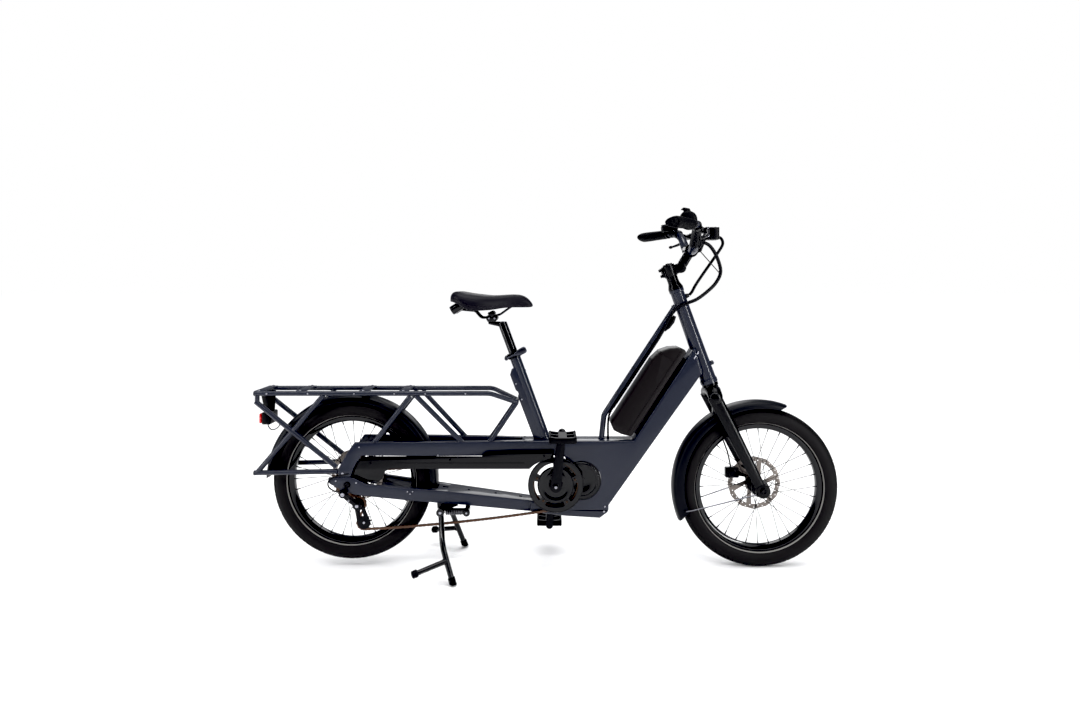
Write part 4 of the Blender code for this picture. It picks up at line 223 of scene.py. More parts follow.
def make_bolt():
    """Socket-head cap screw, one unit in radius and height, with a hexagon socket and broken edges."""
    bpy.ops.object.select_all(action="DESELECT")
    bpy.ops.mesh.primitive_cylinder_add(vertices=24, radius=1.0, depth=1.0, location=(0, 0, 0.5))
    bolt = bpy.context.object
    bpy.ops.object.transform_apply(location=True)
    bpy.ops.object.mode_set(mode="EDIT")
    bpy.ops.mesh.select_mode(type="FACE")
    bpy.ops.mesh.select_all(action="DESELECT")
    bpy.ops.object.mode_set(mode="OBJECT")
    for face in bolt.data.polygons:
        face.select = face.normal.z > 0.9
    bpy.ops.object.mode_set(mode="EDIT")
    bpy.ops.mesh.inset(thickness=0.08)
    bpy.ops.transform.translate(value=(0, 0, 0.06))
    bpy.ops.mesh.inset(thickness=0.36)
    bpy.ops.object.mode_set(mode="OBJECT")
    for vertex in bolt.data.vertices:
        flat = math.hypot(vertex.co.x, vertex.co.y)
        if 0.3 < flat < 0.7:
            turn = math.atan2(vertex.co.y, vertex.co.x)
            hexagon = 0.47 / math.cos((turn + math.pi / 6) % (math.pi / 3) - math.pi / 6)
            vertex.co.x, vertex.co.y = hexagon * math.cos(turn), hexagon * math.sin(turn)
    bpy.ops.object.mode_set(mode="EDIT")
    bpy.ops.mesh.extrude_region_move(TRANSFORM_OT_translate={"value": (0, 0, -0.6)})
    bpy.ops.object.mode_set(mode="OBJECT")
    return bolt


BOLT = make_bolt()


def bolts(name, places, body, finish=ZINC_STEEL, slot="brushed_steel"):
    """Copies of the screw, each at (centre, direction, radius, height), dressed as one piece."""
    copies = []
    for centre, direction, radius, height in places:
        copy = BOLT.copy()
        copy.data = BOLT.data.copy()
        bpy.context.scene.collection.objects.link(copy)
        turn = Vector(direction).to_track_quat("Z", "Y").to_matrix().to_4x4()
        size = Matrix.Diagonal((radius, radius, height, 1.0))
        copy.data.transform(Matrix.Translation(centre) @ turn @ size)
        copies.append(copy)
    return dressed(joined(name, *copies), finish, body, slot)


UP_HEAD = steer_point(1.0) - steer_point(0.0)
AHEAD_OF_HEAD = steer_point(0.0, 1.0) - steer_point(0.0)
head_tube = turned("head_tube_shell",
                   [(0.0146, 0.0), (0.0146, HEAD_LENGTH), (0.024, HEAD_LENGTH), (0.0247, 0.3293),
                    (0.0247, 0.3207), (0.0242, 0.32), (0.0228, 0.3185), (0.0225, 0.315), (0.0234, 0.2),
                    (0.0248, 0.09), (0.0262, 0.02), (0.0268, 0.0135), (0.0281, 0.0118), (0.0287, 0.011),
                    (0.0287, 0.0008), (0.028, 0.0)], steer_point(0.0), UP_HEAD, 72)
boss = rounded(rod("boss", steer_point(0.06, 0.0215), steer_point(0.06, 0.035), 0.0075), 0.001)
dressed(joined("head_tube_shell", head_tube, boss), POWDER_COAT, "frame", "frame_paint", "head_tube")
port = turned("lead_port",
              [(0.0, 0.0), (0.0085, 0.0), (0.0085, 0.0035), (0.0072, 0.006), (0.0062, 0.012), (0.0, 0.012)],
              steer_point(0.297, 0.0213), AHEAD_OF_HEAD, 24)
dressed(port, BLACK_ANODISED, "frame", "black_metal")
bolts("head_boss_bolt", [(steer_point(0.06, 0.035), AHEAD_OF_HEAD, 0.0042, 0.0022)], "frame")

# Down tube and motor cradle
# A box-section body of 3 mm aluminium plate, folded and welded, that hangs the motor and runs up to the head
# tube as the down tube. A black extruded rail for the battery is screwed along its upper face.
RIGHT, LEFT = -1, 1
BODY_TOP = 0.4165
BODY_FRONT_X = 0.928
BODY_REAR_X = 0.56
BODY_HALF_WIDTH = 0.038
MOTOR = (0.757, 0.287)
CRANK = (0.672, 0.277)
MOTOR_RADIUS = 0.063


def arc(centre, radius, first, last, steps):
    """Points on an arc in the side view, its angles in degrees from forward, up positive."""
    angles = [math.radians(first + (last - first) * step / steps) for step in range(steps + 1)]
    return [(centre[0] + radius * math.cos(a), centre[1] + radius * math.sin(a)) for a in angles]


def ring_of(centre, radius, count):
    """Closed ring of points in the side view."""
    return arc(centre, radius, 0, 360 * (count - 1) / count, count - 1)


def flat_piece(name, outlines, low_y, high_y, edge=0.0):
    """Plate cut to outlines in the side view, its holes among them, between two places across."""
    bpy.ops.object.select_all(action="DESELECT")
    bpy.ops.object.add(type="CURVE")
    drawing = bpy.context.object.data
    drawing.dimensions = "2D"
    drawing.fill_mode = "BOTH"
    drawing.extrude = (high_y - low_y) / 2 - edge
    drawing.bevel_depth = edge
    drawing.bevel_resolution = 1
    drawing.offset = -edge
    for outline in outlines:
        line = drawing.splines.new("POLY")
        line.points.add(len(outline) - 1)
        for point, (x, z) in zip(line.points, outline):
            point.co = (x, z, 0.0, 1.0)
        line.use_cyclic_u = True
    bpy.ops.object.convert(target="MESH")
    piece = bpy.context.object
    piece.name = name
    stand_up = Matrix.Rotation(math.pi / 2, 4, "X")
    piece.data.transform(Matrix.Translation(at(0.0, 0.0, (low_y + high_y) / 2)) @ stand_up)
    return welded(piece)


def box(name, low, high):
    """Rectangular block between two corners."""
    bpy.ops.object.select_all(action="DESELECT")
    bpy.ops.mesh.primitive_cube_add(size=1.0)
    piece = bpy.context.object
    piece.name = name
    size = Vector(high) - Vector(low)
    piece.data.transform(Matrix.Translation(Vector(low) + size / 2) @ Matrix.Diagonal((*size, 1.0)))
    return piece


def cut_by(piece, *tools):
    """Machine a piece with cutters, which are put away."""
    for tool in tools:
        select_only(piece)
        step = piece.modifiers.new("cut", "BOOLEAN")
        step.operation = "DIFFERENCE"
        step.solver = "EXACT"
        step.object = tool
        bpy.ops.object.modifier_apply(modifier=step.name)
        bpy.data.objects.remove(tool)
    return piece


def motor_outline(extra):
    """Round motor with its neck to the crank bearing, as one tangent outline."""
    small, large = 0.031 + extra, MOTOR_RADIUS + extra
    across = Vector(MOTOR) - Vector(CRANK)
    heading = math.degrees(math.atan2(across.y, across.x))
    half = math.degrees(math.acos((large - small) / across.length))
    outline = arc(MOTOR, large, heading + half - 180, heading + 180 - half, 48)
    return outline + arc(CRANK, small, heading + 180 - half, heading + 180 + half, 20)


down_tube_top = side_of(steer_point(0.132, -0.012))
down_tube_low = side_of(steer_point(0.047, -0.015))
cradle = flat_piece("motor_cradle",
                    [[(BODY_REAR_X, BODY_TOP), (0.84, BODY_TOP), (BODY_FRONT_X, BODY_TOP), down_tube_top,
                      down_tube_low, (0.846, 0.206), (0.846, 0.186), (0.84, 0.18), (0.817, 0.163),
                      (0.7, 0.17), (0.5875, 0.184), (0.5875, 0.22), (0.69, 0.213), (0.745, 0.285),
                      (0.7, 0.366), (BODY_REAR_X, 0.372)]], -BODY_HALF_WIDTH, BODY_HALF_WIDTH)
rounded(cradle, 0.0065, 4)
cut_by(cradle, flat_piece("motor_pocket", [motor_outline(0.0012)], -0.1, 0.1),
       rod("head_seat", steer_point(-0.1), steer_point(0.43), 0.0287, 48, 0.0212))
dressed(cradle, POWDER_COAT, "frame", "frame_paint", "down_tube")

BODY_TOE = Vector((BODY_FRONT_X, BODY_TOP))
ALONG = (Vector(down_tube_top) - BODY_TOE).normalized()
SQUARE = Vector((-ALONG.y, ALONG.x))


def on_down_tube(run, rise):
    """Side-view place along the down tube's upper face from its foot, and square above it."""
    return tuple(BODY_TOE + ALONG * run + SQUARE * rise)


rail = flat_piece("battery_rail_strip",
                  [[on_down_tube(0.02, -0.002), on_down_tube(0.318, -0.002), on_down_tube(0.318, 0.0118),
                    on_down_tube(0.02, 0.0118)]], -0.02, 0.02)
dressed(rounded(rail, 0.0012), BLACK_ANODISED, "frame", "black_metal")
TO_RIGHT, TO_LEFT = Vector((0, RIGHT, 0)), Vector((0, LEFT, 0))
bolts("cradle_bolts",
      [(at(x, z, RIGHT * (BODY_HALF_WIDTH - 0.0003)), TO_RIGHT, r, 0.0022)
       for x, z, r in ((0.83, 0.186, 0.003), (0.833, 0.202, 0.0026), (0.636, 0.195, 0.003))]
      + [(at(x, z, LEFT * (BODY_HALF_WIDTH - 0.0003)), TO_LEFT, 0.0042, 0.0022)
         for x, z in ((0.83, 0.186), (0.833, 0.215), (0.821, 0.348), (0.756, 0.362))], "frame")
slots = [flat_piece("port_slot",
                    [[on_down_tube(run, -0.015), on_down_tube(run + 0.01, -0.015),
                      on_down_tube(run + 0.01, -0.019), on_down_tube(run, -0.019)]],
                    RIGHT * (BODY_HALF_WIDTH + 0.0007), RIGHT * (BODY_HALF_WIDTH - 0.002))
         for run in (0.333, 0.35)]
dressed(rounded(joined("lead_port_slots", *slots), 0.0005), ZINC_STEEL, "frame", "brushed_steel")

# Seat tube
# Round aluminium tube with a flat gusset plate welded behind it; the gusset is notched near its top and takes
# the rack's front bolts.
SEAT_BASE = (0.637, 0.417)
SEAT_TILT = math.radians(20.3)
SEAT_TUBE_LENGTH = 0.304
SEAT_TUBE_RADIUS = 0.018


def seat_point(up, behind=0.0, y=0.0):
    """Point up the seat tube's axis from its foot, and square behind it."""
    x = SEAT_BASE[0] - up * math.sin(SEAT_TILT) - behind * math.cos(SEAT_TILT)
    z = SEAT_BASE[1] + up * math.cos(SEAT_TILT) - behind * math.sin(SEAT_TILT)
    return at(x, z, y)


def tube(name, points, radius, radii=None, sides=16, closed=False):
    """Bent tube or bar of round section through the points, with flat ends."""
    bpy.ops.object.select_all(action="DESELECT")
    bpy.ops.object.add(type="CURVE")
    path = bpy.context.object.data
    path.dimensions = "3D"
    path.bevel_depth = radius
    path.bevel_resolution = (sides - 4) // 2
    path.use_fill_caps = not closed
    line = path.splines.new("POLY")
    line.points.add(len(points) - 1)
    for index, (point, place) in enumerate(zip(line.points, points)):
        point.co = (*place, 1.0)
        if radii:
            point.radius = radii[index] / radius
    line.use_cyclic_u = closed
    bpy.ops.object.convert(target="MESH")
    bpy.context.object.name = name
    return welded(bpy.context.object)


def full_turn(count):
    """Angles of one full turn, in even steps."""
    return [2 * math.pi * step / count for step in range(count)]


def weld_bead(name, centre, direction, radius, size=0.002, ripples=34):
    """Ring of weld metal laid round a tube, rippled as the torch stepped along."""
    turn = Vector(direction).to_track_quat("Z", "Y").to_matrix()
    points = [Vector(centre) + turn @ Vector((radius * math.cos(a), radius * math.sin(a), 0))
              for a in full_turn(ripples * 2)]
    return tube(name, points, size, [size if step % 2 else size * 0.78 for step in range(ripples * 2)], 8,
                True)


UP_SEAT = seat_point(1.0) - seat_point(0.0)
seat_tube = turned("seat_tube_shell",
                   [(0.0153, 0.03), (0.0153, SEAT_TUBE_LENGTH), (0.0175, SEAT_TUBE_LENGTH),
                    (SEAT_TUBE_RADIUS, 0.3035), (SEAT_TUBE_RADIUS, -0.02), (0.0, -0.02), (0.0, 0.03)],
                   seat_point(0.0), UP_SEAT, 64)
cut_by(seat_tube, box("body_top", at(0.4, BODY_TOP - 0.1, -0.1), at(0.8, BODY_TOP + 0.0003, 0.1)))
gusset_points = [seat_point(-0.012, 0.002), seat_point(-0.012, 0.0342), seat_point(0.1631, 0.0352),
                 seat_point(0.17, 0.03), seat_point(0.178, 0.03), seat_point(0.185, 0.0347),
                 seat_point(0.2392, 0.0349), seat_point(0.253, 0.025), seat_point(0.26, 0.002)]
gusset = rounded(flat_piece("seat_gusset", [[side_of(p) for p in gusset_points]], -0.0155, 0.0155), 0.003, 3)
bead = weld_bead("seat_bead", seat_point(0.0085), UP_SEAT, 0.0185)
dressed(joined("seat_tube_shell", seat_tube, gusset, bead), POWDER_COAT, "frame", "frame_paint", "seat_tube")
bolts("gusset_bolts",
      [(seat_point(up, 0.0262, RIGHT * 0.0153), TO_RIGHT, 0.0026, 0.0014) for up in (0.15, 0.205)]
      + [(seat_point(0.235, -0.018, 0.0), -1 * (seat_point(0, 1) - seat_point(0, 0)), 0.003, 0.0015)],
      "frame")

# Top stay
# Slim round tube from the top of the head tube down behind the battery to the cradle, bent cold and welded at
# both ends. The wrapped leads run under it.
TOP_STAY_RADIUS = 0.0095


def bent(points, radius, steps):
    """Line of points with each corner rounded to a bending radius."""
    path = [Vector(points[0])]
    for before, corner, after in zip(points, points[1:], points[2:]):
        into = (Vector(before) - Vector(corner)).normalized()
        out = (Vector(after) - Vector(corner)).normalized()
        half = into.angle(out) / 2
        middle = Vector(corner) + (into + out).normalized() * radius / math.sin(half)
        first = Vector(corner) + into * radius / math.tan(half) - middle
        last = Vector(corner) + out * radius / math.tan(half) - middle
        path += [middle + first.slerp(last, step / steps) * radius for step in range(steps + 1)]
    return path + [Vector(points[-1])]


stay_high, stay_bend = steer_point(0.278, -0.02), at(0.833, 0.494)
stay = tube("top_stay_tube", bent([stay_high, stay_bend, at(0.825, BODY_TOP + 0.0005)], 0.04, 8),
            TOP_STAY_RADIUS, sides=20)
UPWARD = Vector((0, 0, 1))
beads = [weld_bead("stay_bead", at(0.825, BODY_TOP + 0.002), UPWARD, 0.01, ripples=22),
         weld_bead("stay_bead", stay_high.lerp(stay_bend, 0.017), stay_bend - stay_high, 0.0102, ripples=22)]
dressed(joined("top_stay_tube", stay, *beads), POWDER_COAT, "frame", "frame_paint", "top_stay")

# Side beams
# Rectangular aluminium tubes that carry the long tail: an upper pair from the dropouts to the cradle with the
# rack's round V stays, and a lower pair with the dropouts and the stand's box. All are folded or drawn, and
# welded.
BEAM_TOP = 0.417
RACK_RAIL_Y = 0.057
RACK_RAIL_Z = 0.575
RACK_STAY_RADIUS = 0.0082


def skinned(name, rings):
    """Skin drawn over successive rings of points, its two ends closed."""
    bpy.ops.object.select_all(action="DESELECT")
    bpy.ops.mesh.primitive_grid_add(x_subdivisions=len(rings[0]), y_subdivisions=len(rings) - 1, size=1.0)
    piece = bpy.context.object
    piece.name = name
    row = len(rings[0]) + 1
    for index, vertex in enumerate(piece.data.vertices):
        vertex.co = rings[index // row][index % row % len(rings[0])]
    bpy.ops.object.mode_set(mode="EDIT")
    bpy.ops.mesh.select_all(action="SELECT")
    bpy.ops.mesh.remove_doubles(threshold=0.000004)
    bpy.ops.mesh.select_all(action="SELECT")
    bpy.ops.mesh.fill_holes(sides=0)
    bpy.ops.object.mode_set(mode="OBJECT")
    return welded(piece)


def beam_ring(upper, lower, side, inner, outer):
    """Rectangular section between two side-view points and two places across."""
    return [at(*upper, side * inner), at(*upper, side * outer), at(*lower, side * outer),
            at(*lower, side * inner)]


upper_sections = (((-0.03, 0.3085), (0.0112, 0.3085), 0.0575, 0.073),
                  ((-0.031, 0.332), (0.018, 0.331), 0.052, 0.07),
                  ((-0.008, 0.376), (0.029, 0.354), 0.052, 0.0665),
                  ((0.02, BEAM_TOP), (0.042, 0.374), 0.052, 0.064),
                  ((0.12, BEAM_TOP), (0.12, 0.373), 0.041, 0.06),
                  ((0.25, BEAM_TOP), (0.25, 0.3715), 0.04, 0.06),
                  ((0.431, BEAM_TOP), (0.431, 0.37), 0.03, 0.049),
                  ((0.5597, BODY_TOP), (0.5597, 0.3705), 0.018, BODY_HALF_WIDTH),
                  ((0.574, BODY_TOP), (0.574, 0.3702), 0.018, BODY_HALF_WIDTH + 0.0001))
for side, label in ((RIGHT, "right"), (LEFT, "left")):
    beam = skinned("upper_beam_" + label + "_tube",
                   [beam_ring(upper, lower, side, inner, outer)
                    for upper, lower, inner, outer in upper_sections])
    rounded(beam, 0.0032, 3, 50)
    pieces = [beam]
    for top, low in ((at(0.201, 0.567, side * RACK_RAIL_Y), at(0.082, 0.415, side * 0.052)),
                     (at(0.219, 0.567, side * RACK_RAIL_Y), at(0.365, 0.415, side * 0.044))):
        pieces.append(tube("v_stay", [top, low], RACK_STAY_RADIUS))
        pieces.append(weld_bead("v_bead", low.lerp(top, 0.022), UPWARD, 0.0094, ripples=20))
    dressed(joined("upper_beam_" + label + "_tube", *pieces), POWDER_COAT, "frame", "frame_paint",
            "upper_beam_" + label)

lower_sections = ((-0.061, 0.3065, 0.293, 0.0683, 0.0735), (-0.056, 0.3078, 0.286, 0.068, 0.0735),
                  (-0.03, 0.308, 0.272, 0.0678, 0.0735), (0.002, 0.308, 0.26, 0.0678, 0.0735),
                  (0.023, 0.304, 0.251, 0.067, 0.0735), (0.06, 0.283, 0.246, 0.058, 0.0725),
                  (0.181, 0.269, 0.23, 0.044, 0.062), (0.32, 0.254, 0.213, 0.02, 0.046))
lower = []
for side in (RIGHT, LEFT):
    lower.append(skinned("lower_beam",
                         [beam_ring((x, top), (x, bottom), side, inner, outer)
                          for x, top, bottom, inner, outer in lower_sections]))
spine = skinned("stand_box",
                [[at(x, top, -half), at(x, top, half), at(x, bottom, half), at(x, bottom, -half)]
                 for x, top, bottom, half in ((0.282, 0.258, 0.218, 0.049), (0.32, 0.2538, 0.214, 0.046),
                                              (0.5868, 0.22, 0.184, 0.031), (0.602, 0.2184, 0.1832, 0.03))])
drains = []
for x, width in ((0.306, 0.02), (0.384, 0.008), (0.473, 0.008), (0.556, 0.01)):
    top = 0.2538 - (x - 0.32) * 0.1267
    drains.append(box("drain", at(x - width / 2, top - 0.012, -0.006), at(x + width / 2, top + 0.02, 0.006)))
for piece in (*lower, spine):
    rounded(piece, 0.0026, 3, 50)
cut_by(spine, *drains)
hanger = rounded(flat_piece("hanger", [[(-0.026, 0.275), (0.008, 0.266), (0.001, 0.248), (-0.02, 0.248)]],
                            -0.07325, -0.06775), 0.0015)
dressed(joined("lower_beams_shell", *lower, spine, hanger), POWDER_COAT, "frame", "frame_paint",
        "lower_beams")

# Rack
# Two bent aluminium rails with four flat slats bolted across them, struts down to the beams, and crossed
# stays that stand on a low rail behind each side of the wheel. Rail ends are closed with push-in caps.
BRIDGE = (0.544, 0.541)
SLAT_PLACES = (-0.29, -0.157, 0.048, 0.178)
RAIL_RADIUS = 0.008

rack = []
for side in (RIGHT, LEFT):
    rack.append(tube("rail",
                     bent([at(-0.304, RACK_RAIL_Z, side * RACK_RAIL_Y),
                           at(0.46, RACK_RAIL_Z, side * RACK_RAIL_Y), at(*BRIDGE, side * 0.026)], 0.05, 8),
                     RAIL_RADIUS, sides=20))
    rack.append(tube("strut",
                     [at(BRIDGE[0] - 0.002, BRIDGE[1] - 0.003, side * 0.027),
                      at(0.4595, BEAM_TOP, side * 0.036)], RACK_STAY_RADIUS))
    rack.append(weld_bead("strut_bead", at(0.461, BEAM_TOP + 0.002, side * 0.0358), UPWARD, 0.0094,
                          ripples=20))
rack.append(rod("bridge", at(*BRIDGE, -0.034), at(*BRIDGE, 0.034), 0.007))
for x in SLAT_PLACES:
    rack.append(rounded(box("slat", at(x - 0.015, RACK_RAIL_Z + 0.0045, -0.0605),
                            at(x + 0.015, RACK_RAIL_Z + 0.0085, 0.0605)), 0.0009))
dressed(joined("rack_deck_shell", *rack), POWDER_COAT, "frame", "frame_paint", "rack_deck")
for side, label in ((RIGHT, "right"), (LEFT, "left")):
    y, foot_y = side * RACK_RAIL_Y, side * 0.061
    stays = [tube("low_rail", [at(-0.304, 0.3175, y), at(-0.033, 0.3235, foot_y)], RACK_STAY_RADIUS),
             tube("forward_stay", [at(-0.2967, 0.3178, y), at(-0.0811, 0.569, y)], RACK_STAY_RADIUS),
             tube("backward_stay", [at(-0.301, 0.5483, y), at(-0.037, 0.337, foot_y)], RACK_STAY_RADIUS),
             tube("end_stay", [at(-0.296, 0.543, y), at(-0.296, 0.569, y)], RACK_STAY_RADIUS * 0.9)]
    stays.append(weld_bead("cross_bead", at(-0.1855, 0.453, y), (0.1, 0, 1), 0.0093, 0.0017, 18))
    dressed(joined("rack_stay_" + label + "_tubes", *stays), POWDER_COAT, "frame", "frame_paint",
            "rack_stay_" + label)
caps = []
for side in (RIGHT, LEFT):
    for z, x in ((RACK_RAIL_Z, -0.304), (0.3175, -0.304)):
        caps.append(turned("end_cap",
                           [(0.0, 0.0), (0.0084, 0.0), (0.0084, 0.0014), (0.007, 0.0024), (0.0, 0.0028)],
                           at(x, z, side * RACK_RAIL_Y), (-1, 0, 0), 24))
# Black glass-filled nylon and ABS mouldings: a fine spark texture from the mould, dull with a faint sheen.
BLACK_MOULDING = grained(new_finish("black_moulded_nylon", "0A0A0B", 0.46, IOR=1.5), 900.0, 0.0001, 0.2)
dressed(joined("rail_end_caps", *caps), BLACK_MOULDING, "frame", "black_plastic")
slat_screws = [(at(x, RACK_RAIL_Z + 0.0085, side * RACK_RAIL_Y), UPWARD, 0.004, 0.0018) for x in SLAT_PLACES
               for side in (RIGHT, LEFT)]
rivnuts = [(at(x, RACK_RAIL_Z, side * (RACK_RAIL_Y + RAIL_RADIUS - 0.0006)), (0, side, 0), 0.0024, 0.0012)
           for x in (-0.262, -0.13, 0.02, 0.15, 0.25, 0.38) for side in (RIGHT, LEFT)]
beam_bolts = [(at(x, z, side * y), (0, side, 0), r, 0.002)
              for x, z, y, r in ((-0.015, 0.319, 0.0712, 0.0036), (-0.026, 0.313, 0.0725, 0.0024),
                                 (-0.036, 0.296, 0.0735, 0.0026), (0.03, 0.29, 0.0733, 0.0024),
                                 (0.192, 0.2576, 0.0606, 0.0019), (0.208, 0.257, 0.0588, 0.0019),
                                 (0.2, 0.25, 0.0597, 0.0019), (0.036, 0.402, 0.0633, 0.0019),
                                 (0.29, 0.3745, 0.0572, 0.0019)) for side in (RIGHT, LEFT)]
bolts("rack_and_beam_bolts", slat_screws + rivnuts + beam_bolts, "frame")

# Wheels
# Two 20-inch wheels: moulded rubber tyres on black box rims, 32 black steel spokes laced to a dark hub, and a
# stainless brake rotor bolted to the hub's left flange.
AXLE_HEIGHT = 0.283
REAR_AXLE = at(0.0, AXLE_HEIGHT)
FRONT_AXLE = steer_point(-0.3778, 0.0351)
TYRE_RADIUS = 0.2637
TREAD_DEPTH = 0.0013
SPOKES_A_SIDE = 16
FLANGE_RADIUS = 0.025
RIM_BED_RADIUS = 0.1932
ROTOR_RADIUS = 0.0878
ROTOR_WAVE = 0.0011
# Tyre rubber with carbon black, bloomed a little grey, fully dull; its moulded skin is drawn with 2.5 mm
# grain.
TYRE_RUBBER = grained(new_finish("tyre_rubber", "141313", 0.62, IOR=1.5), 400.0, 0.0002, 0.4)
# Woven reflective band on the sidewall, glass beads under clear film: light grey and even.
REFLECTIVE_BAND = new_finish("reflective_band", "7C7B78", 0.55)
# Rim alloy with gloss black lacquer, so it carries a thin clean highlight all round.
RIM_LACQUER = new_finish("gloss_black_lacquer", "040406", 0.18, IOR=1.55, Coat_Weight=0.35,
                         Coat_Roughness=0.05)
# Black coating on stainless spokes and axles: dark with a soft thin glint, so that the spokes read as fine
# lines.
SPOKE_STEEL = new_finish("black_spoke_steel", "0C0C0E", 0.34, 0.0)
# Stainless rotor steel, ground flat and browned a little by heat and road dirt.
ROTOR_STEEL = grained(new_finish("ground_stainless_steel", "6E6864", 0.36, 1.0), 700.0, 0.00006, 0.3)


def tyre(name, axle, radius):
    """Round casing with moulded tread: the grooves are the crown's faces pressed in between its blocks."""
    core, section, count = radius - 0.03, 0.03, 300
    casing = [(core + section * math.cos(math.radians(a)), section * math.sin(math.radians(a)))
              for a in range(-130, 131, 10)]
    profile = [(0.2028, 0.0112), (0.2028, -0.0112), (0.2101, -0.0116), (0.2124, -0.0177)] + casing
    profile += [(0.2124, 0.0177), (0.2101, 0.0116)]
    piece = turned(name, profile, axle, TO_RIGHT, count)
    piece.data.materials.append(TYRE_RUBBER)
    piece.data.materials.append(REFLECTIVE_BAND)
    bpy.ops.object.mode_set(mode="EDIT")
    bpy.ops.mesh.select_mode(type="FACE")
    bpy.ops.mesh.select_all(action="DESELECT")
    bpy.ops.object.mode_set(mode="OBJECT")
    for face in piece.data.polygons:
        spot = face.center - axle
        turn = math.atan2(spot.z, spot.x) / (2 * math.pi) * count
        around = math.hypot(spot.x, spot.z) - core
        across = math.degrees(math.atan2(spot.y, around))
        lane = round((across - 5) / 10)
        lean = int(turn) + (abs(lane) if lane >= 0 else abs(lane) - 1)
        rib = lane in (-3, 2)
        block = lean % 4 == 0 if abs(across) < 30 else lean % 3 == 0
        face.select = around > 0 and abs(across) < 62 and (rib or block) and not abs(across) < 8
        if abs(math.hypot(spot.x, spot.z) - 0.2134) < 0.0005 and abs(across) > 90:
            face.material_index = 1
    bpy.ops.object.mode_set(mode="EDIT")
    bpy.ops.mesh.extrude_region_shrink_fatten(TRANSFORM_OT_shrink_fatten={"value": -TREAD_DEPTH})
    bpy.ops.object.mode_set(mode="OBJECT")
    return piece


def rim(name, axle):
    """Box rim with a channel for the beads, its edges eased."""
    side = [(0.1925, 0.006), (0.1932, 0.009), (0.199, 0.0128), (0.205, 0.0146), (0.2085, 0.015),
            (0.2095, 0.0144), (0.2095, 0.012), (0.2085, 0.0115), (0.2025, 0.0115)]
    return turned(name, side + [(radius, -across) for radius, across in reversed(side)], axle, TO_RIGHT, 144)


def spokes(name, axle, right_flange, left_flange):
    """Thirty-two laced spokes and nipples: one is drawn, bent at the flange and copied round both sides."""
    pieces = []
    step = 2 * math.pi / SPOKES_A_SIDE
    stand_up = Matrix.Translation(axle) @ Matrix.Rotation(math.pi / 2, 4, "X")
    for flange, phase in ((right_flange, 0.0), (left_flange, step / 2)):
        side = 1 if flange > 0 else -1
        for index in range(SPOKES_A_SIDE):
            lead = 1 if index % 2 == 0 else -1
            near = phase + index * step
            far = near + lead * 2 * step
            start = Vector((math.cos(near) * FLANGE_RADIUS, math.sin(near) * FLANGE_RADIUS,
                            flange + lead * 0.0012))
            end = Vector((math.cos(far) * RIM_BED_RADIUS, math.sin(far) * RIM_BED_RADIUS,
                          side * 0.0035 + lead * 0.0012))
            nipple = end.lerp(start, 0.065)
            head = Vector((start.x, start.y, start.z + lead * 0.0028))
            pieces.append(rod("head", stand_up @ head,
                              stand_up @ Vector((start.x, start.y, start.z - lead * 0.003)), 0.0016, 8))
            pieces.append(rod("wire", stand_up @ start, stand_up @ nipple, 0.001, 8))
            pieces.append(rod("nipple", stand_up @ nipple, stand_up @ end, 0.0017, 8, 0.002))
    return joined(name, *pieces)


def rotor(name, axle, y):
    """Wave-edged rotor: a ring with two rows of holes on six slanted arms, and its six bolts."""
    centre = side_of(axle)
    edge = []
    for a in full_turn(144):
        radius = ROTOR_RADIUS + ROTOR_WAVE * math.cos(12 * a)
        edge.append((centre[0] + radius * math.cos(a), centre[1] + radius * math.sin(a)))
    outlines = [edge, ring_of(centre, 0.015, 32)]
    for arm in range(6):
        first = 60 * arm
        outlines.append(arc(centre, 0.0722, first + 23, first + 69, 12)
                        + arc(centre, 0.0315, first + 46, first + 12, 8))
    for index in range(36):
        radius, size = ((0.0765, 0.0021), (0.0832, 0.0018))[index % 2]
        spot = arc(centre, radius, index * 10, index * 10, 1)[0]
        outlines.append(ring_of(spot, size, 10))
    return flat_piece(name, outlines, y - 0.0009, y + 0.0009, 0.0002)


